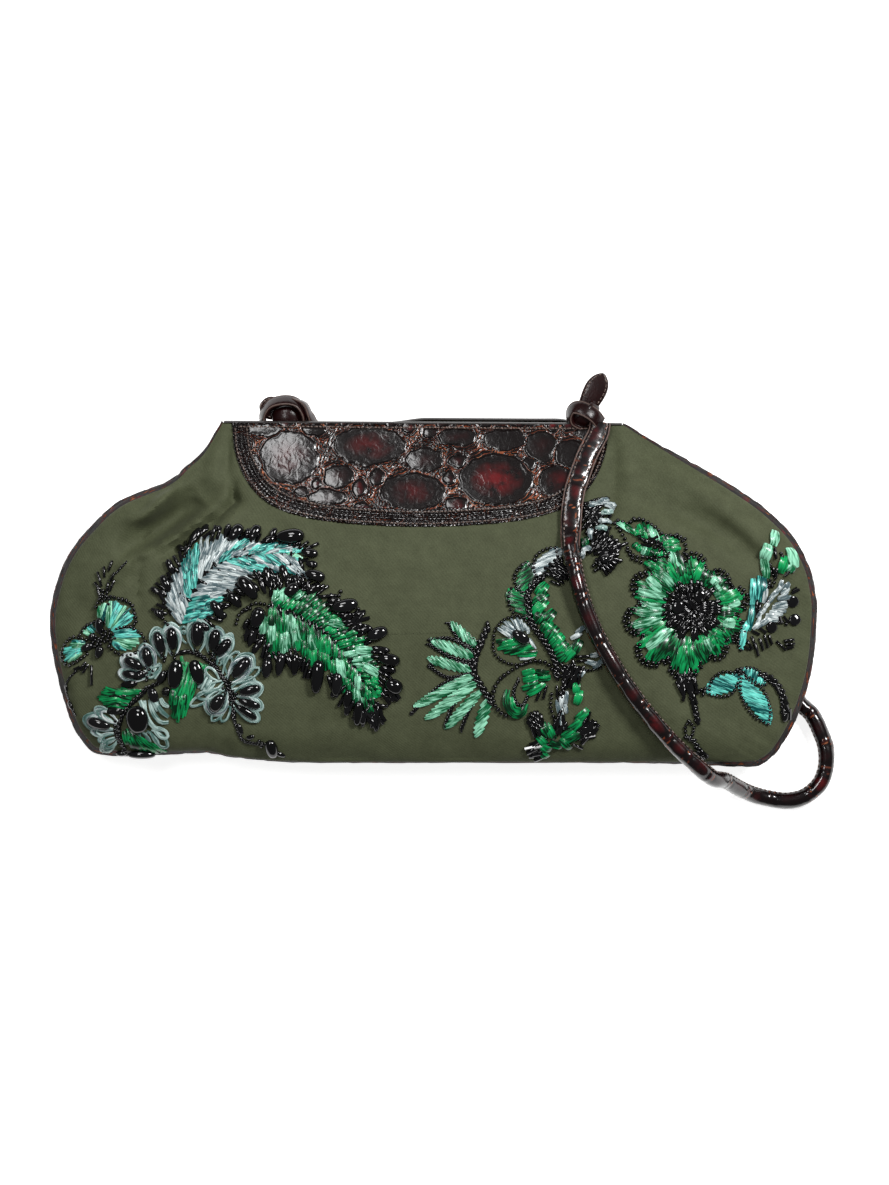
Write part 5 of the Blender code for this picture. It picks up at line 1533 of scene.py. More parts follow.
@dataclass
class Strap:
    """Strap of folded crocodile calf: flat sewn ends that are rolled to a cord between them."""

    roll: float = 0.0085
    width: float = 0.0100
    flat: float = 0.0030
    hide_mm: float = 28.0
    sides: int = 28
    length: float = 0.543
    row_turn: float = math.radians(28)

    def hide_on(self, stock: Stock, path: np.ndarray, wide: np.ndarray, high: np.ndarray, scale: Any,
                seed: int, relief: float, knots: bool = False) -> None:
        """Sweep the strap's hide along a path.

        Args:
            stock: The piece it is added to.
            path: Points about 1 mm apart, in metres.
            wide: Half widths along it.
            high: Half heights along it.
            scale: Length and width of a scale in millimetres.
            seed: Which unevenness.
            relief: How strong the raised pattern is.
            knots: Whether every second scale is a short one.
        """
        _, across, rise = frames_along(path)
        ring = oval(wide, high, self.sides)
        girth = np.linalg.norm(np.diff(ring, axis=1, append=ring[:, :1]), axis=-1)
        around = np.concatenate([np.zeros((len(path), 1)), np.cumsum(girth, axis=1)[:, :-1]], axis=1) / MM
        run = np.broadcast_to((run_along(path) / MM)[:, None], around.shape)
        hide = CrocHide.rows(run[-1, 0], self.hide_mm, scale, seed, knots)
        raised, mark, tone, rim = hide.read(np.stack([run, around], axis=-1))
        out = ring / np.linalg.norm(ring, axis=-1, keepdims=True)
        ring = ring + out * (raised * relief * MM)[..., None]
        surface = np.stack([run, around, rim], axis=-1)
        stock.sweep(path, across, rise, ring, 0, surface=surface, mark=mark, tone=tone)

    def build_roll(self) -> bpy.types.Object:
        """Build the rolled cord and hide the imported roll in its place.

        Returns:
            The rolled cord.
        """
        path = spaced_curve(ROLL_ROUTE, 0.001)
        run = run_along(path)
        uneven = 1 + 0.025 * np.sin(run / 0.011) * np.sin(run / 0.0037 + 1)
        half = np.full(len(path), self.roll / 2) * 0.985 * uneven
        stock = Stock("rolled_strap", [STRAP_CALF, CUT_EDGE, SADDLE_THREAD])
        self.hide_on(stock, path, half, half, (14.0, 13.35), 71, 0.6, knots=True)
        _, across, rise = frames_along(path)
        out = -across * math.cos(self.row_turn) + rise * math.sin(self.row_turn)
        line = path + out * (self.roll / 2)
        thread_row(stock, line[::3], out[::3], 2, 0.0026, 0.0017, 0.00035)
        piece = settle(stock.finished(), BAG, "strap_leather", "strap_roll")
        return piece

    def flat_end(self, name: str, route: Any, round_share: Any, seed: int) -> bpy.types.Object:
        """Build a flat end that turns round towards the roll.

        Args:
            name: The piece's name.
            route: Points of its course.
            round_share: Roundness from 0 (flat) to 1 (rolled) at shares of its length.
            seed: Which unevenness.

        Returns:
            The piece, not yet riding on anything.
        """
        path = spaced_curve(route, 0.001)
        share = np.interp(np.linspace(0, 1, len(path)), *round_share)
        wide = (self.width + (self.roll - self.width) * share) / 2
        high = (self.flat + (self.roll - self.flat) * share) / 2
        stock = Stock(name, [STRAP_CALF, CUT_EDGE, SADDLE_THREAD])
        self.hide_on(stock, path, wide * 0.97, high * 0.97, (11.0, 9.0), seed, 0.75)
        _, across, rise = frames_along(path)
        keep = share < 0.86
        for lean, thick, up in ((1, 0.00045, 0.0), (-1, 0.00055, 0.25), (-1, 0.00045, -0.55)):
            line = path + across * (lean * wide * 0.97)[:, None] + rise * (high * up)[:, None]
            stock.sweep(line[keep], across[keep], rise[keep], oval(thick, thick, 8), 1)
        for lean, inset in ((-1, 0.0017), (1, 0.0015)):
            line = path + across * (lean * (wide - inset))[:, None] + rise * (high * 0.99)[:, None]
            thread_row(stock, line[keep], rise[keep], 2, 0.0025, 0.0016, 0.00034)
        return stock.finished()

    def build(self, knots: list[bpy.types.Object]) -> None:
        """Build both flat ends and the roll between them.

        Args:
            knots: The knots at its ends; not used.
        """
        right = self.flat_end("strap_end_right", FLAT_RIGHT_ROUTE + TAPER_RIGHT_ROUTE,
                              ([0, 0.70, 0.8, 0.9, 1.0], [0.0, 0.0, 0.25, 0.8, 1.0]), 81)
        settle(right, MOUTH, "strap_leather", "strap_flat_right", "strap_taper_right", fold=STRAP_FOLD)
        left = self.flat_end("strap_end_left", FLAT_LEFT_ROUTE,
                             ([0, 0.2, 0.5, 0.7, 1.0], [1.0, 0.85, 0.3, 0.05, 0.0]), 83)
        settle(left, BAG, "strap_leather", "strap_flat_left")
        self.build_roll()


@dataclass
class Knot:
    """One end of the strap, tied round its tab: a tight lump, wraps with cut edges, and the tongue."""

    word: str
    side: Side
    place: tuple[float, float, float]
    turn: float
    tab_x: float
    reach: float = 0.0250
    half_width: float = 0.0055
    grow: float = 1.28
    tab_depths: tuple[float, float] = (0.0015, 0.0025)

    def band(self, stock: Stock, points: Any, wide: float, thick: float, edged: bool = True) -> None:
        """Lay one wrap of strap round the lump, its face turned away from the knot's middle.

        Args:
            stock: The piece it is added to.
            points: Its course from the knot's middle, in millimetres.
            wide: Half width in metres.
            thick: Half thickness in metres.
            edged: Whether its pale cut edges show.
        """
        middle = np.array(self.place)
        path = middle + spaced_curve(np.array(points) * MM * self.grow, 0.0006)
        facing = path - middle
        _, across, rise = frames_along(path, facing)
        stock.sweep(path, across, rise, oval(wide, thick, 16), 0)
        for lean in (-1, 1) if edged else ():
            line = path + across * lean * (wide - 0.0002) + rise * thick * 0.5
            stock.sweep(line, across, rise, oval(0.00042, 0.00042, 6), 1)

    def tongue(self, stock: Stock) -> None:
        """Cut the strap's sewn tip that stands out of the knot."""
        shares = np.array([(0.0, 0.72), (0.25, 0.86), (0.5, 1.0), (0.7, 0.97), (0.86, 0.72), (0.95, 0.4),
                           (1.0, 0.12)])
        curve = smooth_curve(shares, 6)
        angle = math.radians(self.turn)
        along = np.array([math.cos(angle), math.sin(angle), 0.0])
        across = np.array([math.sin(angle), -math.cos(angle), 0.0])
        reach = curve[:, 0]
        curl = 0.0012 * np.sin(reach * 2.6) * self.side.outwards
        path = np.array(self.place) + along * (reach * self.reach)[:, None] + UP * curl[:, None]
        _, _, rise = frames_along(path)
        crosses = np.broadcast_to(across, path.shape)
        wide = curve[:, 1] * self.half_width
        stock.sweep(path, crosses, rise, oval(wide, np.full(len(path), 0.0010), 20), 0)
        for lean in (-1, 1):
            line = path + crosses * (lean * (wide - 0.0001))[:, None]
            stock.sweep(line, crosses, rise, oval(0.00035, 0.00035, 6), 1)
            line = path + crosses * (lean * (wide - 0.0011))[:, None] + rise * 0.00105
            thread_row(stock, line[8:], rise[8:], 2, 0.0023, 0.0014, 0.00036)

    def build(self) -> bpy.types.Object:
        """Tie the knot.

        Returns:
            The knot, riding on its half of the mouth.
        """
        stock = Stock(f"knot_{self.word}", [STRAP_LINING_CALF, KNOT_EDGE, SADDLE_THREAD])
        low, girth = (-2.0, 1.35) if self.word == "left" else (-0.4, 1.1)
        lump = np.array([(-5.8, low + 0.6, 0.0), (-3.0, low + 0.2, 0.4), (0.0, low, 0.6),
                         (3.0, low + 0.2, 0.4), (5.8, low + 0.8, 0.0)])
        path = np.array(self.place) + spaced_curve(lump * MM * self.grow, 0.0006)
        share = np.linspace(-1, 1, len(path))
        size = np.sqrt(np.clip(1 - share**2 * 0.93, 0.02, 1))
        _, across, rise = frames_along(path)
        stock.sweep(path, across, rise, oval(0.0042 * girth * size, 0.0037 * size, 20), 0)
        if self.word == "left":
            self.band(stock, [(-9.0, -6.5, 1.0), (-9.2, -1.5, 2.4), (-6.4, 2.6, 3.0), (-1.0, 4.1, 3.2),
                              (3.8, 3.0, 3.0), (6.6, -1.0, 2.2), (6.8, -6.0, 0.8)], 0.0036, 0.0012)
            self.band(stock, [(2.6, 4.6, 1.0), (6.6, 2.6, 2.4), (8.6, -1.4, 2.2), (10.2, -4.6, 0.4)], 0.0030,
                      0.0012)
        else:
            self.band(stock, [(-0.6, -3.6, -1.6), (-1.4, -3.9, 1.2), (0.4, -2.0, 3.7), (3.4, 1.4, 3.6),
                              (4.6, 3.6, 1.2), (3.8, 3.8, -1.6), (1.6, 1.6, -3.4)], 0.0032, 0.0012,
                      edged=False)
            self.band(stock, [(6.6, -3.6, 2.0), (4.2, -0.6, 4.2), (0.4, 1.8, 4.4), (-3.2, 2.4, 3.2),
                              (-5.0, 0.2, 1.8), (-4.6, -3.0, 0.6), (-1.4, -4.8, -0.6)], 0.0036, 0.0013)
        self.tongue(stock)
        return settle(stock.finished(), self.side.value, "strap_leather", f"strap_knot_{self.word}")

    def build_tab(self, form: BagForm, layers: Layers) -> None:
        """Sew the tab that the knot is tied on between yoke and facing."""
        edge = form.mouth_line(self.tab_x)
        y = np.linspace(edge + 0.0016, edge - 0.0114, 20)
        x = self.tab_x + np.linspace(-0.004, 0.004, 9)
        grid = np.stack(np.meshgrid(x, y), axis=-1)
        held = np.minimum(grid[..., 1], edge - 0.0003)
        level = layers.on(self.side).heights(np.stack([grid[..., 0], held], axis=-1))
        faces = [np.dstack([grid, level - self.side.outwards * depth]) for depth in self.tab_depths]
        stock = Stock(f"tab_{self.word}", [STRAP_LINING_CALF, CUT_EDGE])
        stock.shell(faces[0], faces[1], False, (0, 0, 1))
        settle(stock.finished(), self.side.value, "strap_leather", f"strap_tab_{self.word}")


class Raffia(Enum):
    """The raffia colours, in the order of a motif's finishes."""

    AQUA = 0
    MINT = 1
    EMERALD = 2
    SILVER = 3
    PALE = 4


# Each light colour is partly a painted highlight and each dark partly painted shade, over the raffia's own
# dye.
RAFFIA_FINISHES = (
    ViscoseRaffia("aqua_viscose_raffia", light="#74e6d6", dark="#04494a"),
    ViscoseRaffia("mint_viscose_raffia", light="#a0e9c6", dark="#0a6038"),
    ViscoseRaffia("emerald_viscose_raffia", light="#0fa25a", dark="#002511"),
    ViscoseRaffia("silver_viscose_raffia", light="#dbe5e4", dark="#52656a"),
    ViscoseRaffia("pale_viscose_raffia", light="#b4cdc7", dark="#4d6f69"))
GLASS = len(RAFFIA_FINISHES)
Line = Sequence[tuple[float, float]]


def along_line(line: Line, spacing: float) -> tuple[np.ndarray, np.ndarray]:
    """Places and headings along a smooth line.

    Args:
        line: Its points in millimetres.
        spacing: Distance from place to place.

    Returns:
        Places, and the heading there in radians.
    """
    path = spaced_curve(line, spacing)
    step = np.gradient(path, axis=0)
    return path, np.arctan2(step[:, 1], step[:, 0])


def shade_at(colours: Sequence[Raffia], share: float) -> Raffia:
    """The colour at a share of the way from the first to the last."""
    return colours[min(max(int(share * len(colours)), 0), len(colours) - 1)]


def disc(middle: Sequence[float], reach: float, count: int) -> Iterator[tuple[np.ndarray, float]]:
    """Places that fill a disc evenly from its middle outwards.

    Args:
        middle: The disc's middle.
        reach: Its radius.
        count: How many places.

    Yields:
        Each place, and its distance from the middle.
    """
    for k in range(count):
        turn, out = k * SPIRAL_TURN, reach * math.sqrt((k + 0.5) / count)
        yield np.array([middle[0] + out * math.cos(turn), middle[1] + out * math.sin(turn)]), out


def laid_on(up: np.ndarray, heading: float) -> np.ndarray:
    """The unit direction of a heading in degrees, laid on cloth that has a normal."""
    angle = math.radians(heading)
    along = np.array([math.cos(angle), math.sin(angle), 0.0])
    along -= up * (along @ up)
    return along / np.linalg.norm(along)


class Motif:
    """One flower or sprig sewn on the cloth. Designs are in millimetres, headings in degrees."""

    node = ""
    slot = ""
    bends = False

    def __init__(self, cloth: Surface) -> None:
        """Thread the needle.

        Args:
            cloth: The surface that it is sewn on.
        """
        self.cloth = cloth
        self.chance = np.random.default_rng(len(self.node) * 7 + 5)
        self.stock = Stock(f"{self.node}_needlework", list(RAFFIA_FINISHES) + [JET])

    def sew(self) -> None:
        """Sew everything of the motif."""
        raise NotImplementedError

    def finish(self) -> None:
        """Sew the motif, knot it off and hide the imported node that it stands for."""
        self.sew()
        settle(self.stock.finished(), BAG, self.slot, self.node, fold=CLOTH_FOLD if self.bends else None)

    def ribbon(self, line: Line, wide: float, raffia: Raffia, arch: float = 0.8, rest: float = 0.35,
               curve: bool = True) -> None:
        """Lay one raffia stitch along a line, arched between its ends.

        Args:
            line: Its course in plan.
            wide: Its width.
            raffia: Its colour.
            arch: How far its middle stands above its ends.
            rest: How far its ends stand above the cloth.
            curve: Whether it is read closely, or only as a straight stitch.
        """
        plan = spaced_curve(line, 1.3 if curve else 2.4)
        share = np.linspace(0, 1, len(plan))
        if len(plan) < 4:
            share = np.linspace(0, 1, 4)
            plan = np.array(line[0]) + (np.array(line[-1]) - np.array(line[0])) * share[:, None]
        spots, ups = zip(*(self.cloth.place(x * MM, y * MM) for x, y in plan))
        lift = (rest + arch * np.sin(math.pi * share) ** 0.7 + self.chance.uniform(0, 0.25)) * MM
        path = np.array(spots) + np.array(ups) * lift[:, None]
        _, across, rise = frames_along(path, np.array(ups))
        half = wide / 2 * (0.5 + 0.5 * np.sin(math.pi * np.clip(share, 0.06, 0.94)) ** 0.5)
        ring = oval(half * MM, 0.26 * MM + 0.08 * half * MM, 8)
        run = np.broadcast_to((run_along(path) / MM)[:, None], ring.shape[:2])
        place = np.stack([run, ring[..., 0] / MM + self.chance.uniform(0, 50), run * 0], axis=-1)
        self.stock.sweep(path, across, rise, ring, raffia.value, surface=place,
                         tone=[self.chance.uniform(0.04, 0.92) ** 1.45])

    def drop(self, place: Sequence[float], heading: float, long: float, wide: float, high: float = 0.0,
             point: float = 0.0, lift: float = 0.0, rings: int = 8, sides: int = 12) -> None:
        """Sew on one glass drop, pebble or bead, lying along its heading.

        Args:
            place: Its middle.
            heading: The direction of its long axis, in degrees.
            long: Its length.
            wide: Its width.
            high: Its height, or 0 for 0.8 of its width.
            point: How much narrower its first end is, from 0 to 1.
            lift: How far it stands above the cloth.
            rings: Rings along it.
            sides: Places of each ring.
        """
        spot, up = self.cloth.place(place[0] * MM, place[1] * MM)
        along = laid_on(up, heading)
        across = np.cross(along, up)
        high = high or wide * 0.8
        turn = np.linspace(0.12, math.pi - 0.12, rings)
        reach = -np.cos(turn)
        size = np.sin(turn) ** 0.8 * (1 - point * (1 - reach) / 2)
        middle = spot + up * (high / 2 * 0.8 + lift) * MM
        path = middle + along * (reach * long / 2 * MM)[:, None]
        ring = oval(size * wide / 2 * MM, size * high / 2 * MM, sides)
        self.stock.sweep(path, np.broadcast_to(across, path.shape), np.broadcast_to(up, path.shape), ring,
                         GLASS, tone=[self.chance.uniform()])

    def bugle(self, start: Sequence[float], end: Sequence[float], thick: float = 1.7) -> None:
        """Sew on one bugle, a six-sided glass tube, between two places."""
        start, end = np.array(start), np.array(end)
        heading = math.degrees(math.atan2(*(end - start)[::-1]))
        spot, up = self.cloth.place(*((start + end) / 2 * MM))
        along = laid_on(up, heading)
        half = np.linalg.norm(end - start) / 2
        reach = np.array([-1.0, -0.94, 0.94, 1.0]) * half * MM
        lift = (thick * 0.45 + self.chance.uniform(0, 0.5)) * MM
        path = spot + up * lift + along * reach[:, None]
        size = np.array([0.72, 1.0, 1.0, 0.72]) * thick / 2 * MM
        ring = oval(size, size, 6)
        self.stock.sweep(path, np.broadcast_to(np.cross(along, up), path.shape),
                         np.broadcast_to(up, path.shape), ring, GLASS, tone=[self.chance.uniform()])

    def bead(self, place: Sequence[float], size: float = 2.1, heading: float = 0.0,
             lift: float = 0.0) -> None:
        """Sew on one round seed bead."""
        self.drop(place, heading, size * 0.86, size, size, lift=lift, rings=6, sides=10)

    def beads(self, line: Line, size: float = 2.1) -> None:
        """Sew a row of seed beads along a line."""
        places, headings = along_line(line, size * 1.02)
        for place, heading in zip(places, headings):
            jitter = self.chance.uniform(-0.12, 0.12, 2)
            self.bead(place + jitter, size * self.chance.uniform(0.92, 1.06), math.degrees(heading))

    def heap(self, middle: Sequence[float], reach: float, count: int, size: float = 2.1) -> None:
        """Sew a small heap of seed beads round a place."""
        for place, out in disc(middle, reach, count):
            self.bead(place, size, lift=0.7 * (1 - out / (reach + 1e-6)))

    def fan(self, base: Line, rim: Line, count: int, wide: float, colours: Sequence[Raffia],
            arch: float = 0.9, lean: float = 0.0, rows: int = 1) -> None:
        """Lay stitches side by side from a base line to a rim line.

        Args:
            base: Where they start.
            rim: Where they end.
            count: How many in a row.
            wide: Width of each.
            colours: Their colours, spread evenly from first to last.
            arch: How high they stand.
            lean: How far they lean towards the last one, as a share of the lines.
            rows: Rows of stitches from rim to base, each over the one before.
        """
        ends = []
        for line, shift in ((base, -lean / 2), (rim, lean / 2)):
            curve = smooth_curve(line, 12) if len(line) > 1 else np.array([line[0]] * 2)
            run = run_along(curve)
            at = np.clip(np.linspace(0, 1, count) + shift, 0, 1) * run[-1]
            ends.append(read_at(at, run, curve))
        for row in range(rows)[::-1]:
            near, far = max(row / rows - 0.08, 0), min((row + 1) / rows + 0.08, 1)
            for k, (start, end) in enumerate(zip(*ends)):
                shake = self.chance.uniform(-0.6, 0.6, (2, 2))
                out = end - start
                raffia = shade_at(colours, (k + self.chance.uniform(-0.8, 0.8) + 0.5) / count)
                self.ribbon([start + out * near + shake[0],
                             start + out * far * self.chance.uniform(0.88, 1.08)
                             + shake[1]], wide * self.chance.uniform(0.7, 1.25), raffia,
                            arch * self.chance.uniform(0.6, 1.4), 0.35 + 0.35 * (rows - 1 - row), curve=False)

    def fringe(self, line: Line, spacing: float, long: float, side: int, drops: int = 0) -> None:
        """Sew bugles that point out of a line, with a glass drop between them now and then.

        Args:
            line: The line that they start on.
            spacing: Distance from one to the next.
            long: Mean length.
            side: 1 to point to the left of the line's course, -1 to the right.
            drops: Which one of so many is a drop, or 0 for none.
        """
        for number, (place, heading) in enumerate(zip(*along_line(line, spacing))):
            turn = heading + side * (math.pi / 2 - 0.5) + self.chance.uniform(-0.35, 0.35)
            way = np.array([math.cos(turn), math.sin(turn)])
            reach = long * self.chance.uniform(0.65, 1.15)
            start = place - way * reach * 0.25
            if drops and number % drops == 0:
                self.drop(start + way * reach * 0.75, math.degrees(turn), reach * 0.95,
                          self.chance.uniform(3.2, 4.6), point=0.3, rings=8)
            else:
                self.bugle(start, start + way * reach, 1.9)

    def thicket(self, middle: Sequence[float], reach: float, count: int, heading: float, spread: float = 50.0,
                long: float = 6.0) -> None:
        """Sew a dense patch of bugles that lie about one way."""
        for place, _ in disc(middle, reach, count):
            angle = math.radians(heading + self.chance.uniform(-spread, spread))
            way = np.array([math.cos(angle), math.sin(angle)]) * long * self.chance.uniform(0.35, 0.6)
            self.bugle(place - way, place + way, 2.0)

    def loop(self, base: Sequence[float], tip: Sequence[float], wide: float, thick: float = 1.3,
             raffia: Raffia = Raffia.PALE) -> None:
        """Lay raffia in an open loop from a base round a tip and back.

        Args:
            base: Where both ends are sewn in.
            tip: Its farthest place.
            wide: The loop's width.
            thick: The ribbon's width.
            raffia: Its colour.
        """
        base, tip = np.array(base), np.array(tip)
        out = tip - base
        side = np.array([out[1], -out[0]]) / np.linalg.norm(out) * wide / 2
        line = [base - side * 0.25, base + out * 0.35 - side * 0.85, base + out * 0.75 - side,
                tip - side * 0.35, tip + side * 0.35, base + out * 0.75 + side,
                base + out * 0.35 + side * 0.85, base + side * 0.25]
        self.ribbon(line, thick, raffia, arch=0.5, rest=0.6)

    def petal(self, base: Sequence[float], tip: Sequence[float], wide: float, filled: bool = True) -> None:
        """Lay several raffia strands in loops, one in the other, round a glass pebble.

        Args:
            base: The petal's foot.
            tip: Its tip.
            wide: Its width.
            filled: Whether it holds a pebble.
        """
        base, tip = np.array(base), np.array(tip)
        for share in (1.0, 0.96, 0.92, 0.88, 0.83, 0.78, 0.72):
            raffia = Raffia.SILVER if self.chance.uniform() < 0.35 else Raffia.PALE
            end = base + (tip - base) * share + self.chance.uniform(-0.6, 0.6, 2)
            self.loop(base, end, wide * (share + 0.02), self.chance.uniform(0.8, 1.5), raffia)
        if filled:
            heading = math.degrees(math.atan2(*(tip - base)[::-1]))
            long = np.linalg.norm(tip - base)
            self.drop(base + (tip - base) * 0.54, heading, long * 0.74, wide * 0.72, wide * 0.6, 0.2, 0.4, 10,
                      16)
        self.heap(base, 1.8, 3, 1.9)

    def leaf(self, base: Sequence[float], tip: Sequence[float], wide: float, colours: Sequence[Raffia],
             stitch: float = 1.5, lean: float = 0.35, outline: float = 2.1, slant: float = 1.0,
             blunt: float = 0.7) -> None:
        """Sew a leaf: slanting stitches across it, inside a row of seed beads.

        Args:
            base: Its foot.
            tip: Its tip.
            wide: Its width.
            colours: Colours from foot to tip.
            stitch: Width of a stitch.
            lean: How far each stitch leans towards the tip.
            outline: Size of the outline's beads, or 0 for none.
            slant: 1 or -1, which way the stitches lean.
            blunt: How it narrows to its ends: the smaller, the blunter.
        """
        base, tip = np.array(base), np.array(tip)
        out = tip - base
        long = np.linalg.norm(out)
        side = np.array([out[1], -out[0]]) / long * slant
        count = max(4, round(long / stitch))
        for k in range(count):
            share = (k + 0.5) / count
            half = wide / 2 * math.sin(math.pi * min(max(share, 0.05), 0.95)) ** blunt
            shift = out * lean * half / wide * 0.5
            centre = base + out * share
            self.ribbon([centre - side * half - shift, centre + side * half + shift],
                        stitch * (1.15 if outline else 0.9),
                        shade_at(colours, share), 0.6, curve=False)
        if outline:
            half = wide / 2 + outline * 0.45
            shares = np.linspace(0, 1, 9)
            bow = half * np.sin(math.pi * shares) ** 0.75
            for turn in (-1, 1):
                self.beads([tuple(base + out * s + side * turn * b) for s, b in zip(shares, bow)], outline)

    def cord(self, line: Line, thick: float = 1.5) -> None:
        """Sew down a black twisted cord of tiny beads along a line."""
        places, headings = along_line(line, thick * 0.55)
        for k, (place, heading) in enumerate(zip(places, headings)):
            off = 0.2 * thick * (1 if k % 2 else -1)
            spot = place + off * np.array([-math.sin(heading), math.cos(heading)])
            self.drop(spot, math.degrees(heading) + 30, thick * 1.5, thick * 0.8, thick * 0.8,
                      rings=5, sides=7)


class AquaFrond(Motif):
    """Curved frond of aqua and silver raffia with a black rib, drops and bugles along its edges."""

    node, slot, bends = "aqua_frond", "aqua_ribbon", True

    def sew(self) -> None:
        """Sew both halves, the rib and the glass round it."""
        aqua, silver = Raffia.AQUA, Raffia.SILVER
        rib = [(-125.6, -15.3), (-122.2, -4.5), (-118.8, 3.5), (-110.9, 12.2), (-101.3, 16.2), (-86.9, 18.8),
               (-74.2, 18.6), (-67.0, 14.9)]
        outer = [(-135.4, -13.3), (-133.8, -1.7), (-130.0, 8.2), (-124.8, 17.0), (-117.2, 24.4),
                 (-107.7, 27.2), (-95.7, 25.8), (-83.8, 24.2), (-72.6, 23.6), (-64.2, 20.8)]
        inner = [(-116.4, -15.3), (-110.9, -12.1), (-107.7, -6.5), (-102.9, -0.7), (-95.7, 4.3), (-87.7, 9.2),
                 (-79.0, 9.8), (-71.8, 8.3), (-63.2, 6.5)]
        self.fringe(outer, 2.8, 8.2, 1, 4)
        self.fringe(inner, 2.7, 8.4, -1, 3)
        self.fan(rib[:7], outer, 54, 1.9, (silver, silver, silver, aqua, aqua, silver, silver, silver, aqua,
                                           silver, aqua, aqua, silver, aqua), 1.1, 0.16, 2)
        self.fan(rib, inner, 50, 1.9, (aqua, aqua, aqua, silver, silver, silver, silver, aqua, aqua, silver,
                                       aqua, silver, silver), 1.1, 0.16, 2)
        self.ribbon([(-74.4, 19.4), (-66.2, 15.8)], 3.2, Raffia.MINT)
        self.ribbon([(-72.6, 16.6), (-65.8, 14.9)], 2.6, aqua)
        self.cord(rib, 1.3)
        self.fringe(rib[1:], 5.0, 7.0, 1)
        self.fringe(rib[1:], 5.6, 7.0, -1)
        for x, y, heading, long, wide in (
                (-119.6, 26.3, 62, 11.5, 5.4), (-123.5, 19.4, 72, 8.0, 2.6), (-114.7, 29.2, 70, 6.0, 2.2),
                (-108.9, 30.0, 60, 6.5, 3.0), (-104.5, 29.0, 75, 7.0, 2.0), (-99.3, 28.7, 55, 9.8, 7.0),
                (-90.0, 28.6, 62, 9.2, 6.0), (-82.8, 25.2, 25, 7.0, 4.2), (-72.0, 27.1, 2, 14.2, 8.4),
                (-133.8, 3.9, 118, 9.2, 5.0), (-134.9, -0.3, 118, 7.0, 2.0), (-130.8, 11.8, 60, 3.0, 2.6),
                (-127.1, 11.8, 60, 3.0, 2.4), (-62.6, 18.8, -8, 8.6, 5.2), (-61.4, 13.4, -10, 6.0, 4.2),
                (-59.8, 7.7, -18, 10.4, 6.6), (-60.6, 1.0, 35, 8.6, 5.0), (-71.6, 0.5, 38, 8.6, 7.0),
                (-75.1, 8.5, 108, 9.8, 4.8), (-83.6, 6.9, 98, 10.6, 4.6), (-87.7, 9.4, 118, 6.0, 2.4),
                (-93.1, 1.6, 128, 14.0, 8.0), (-99.7, -4.3, 130, 9.6, 6.2), (-108.3, -8.9, 125, 10.2, 5.8),
                (-116.0, -1.7, -18, 9.0, 2.0), (-115.2, -10.7, 2, 8.4, 1.9), (-132.4, -8.9, 105, 6.5, 1.9)):
            self.drop((x, y), heading, long, wide, point=0.25, rings=9, sides=14)
        self.beads([(-134.8, -5.7), (-136.0, -8.9), (-135.2, -13.7), (-132.8, -16.5)])
        self.beads([(-72.6, 23.0), (-67.4, 23.8), (-63.8, 22.6), (-61.4, 19.8)], 2.3)
        self.beads([(-68.6, 9.4), (-65.0, 6.2), (-66.2, 1.5), (-63.0, -0.1)], 2.2)


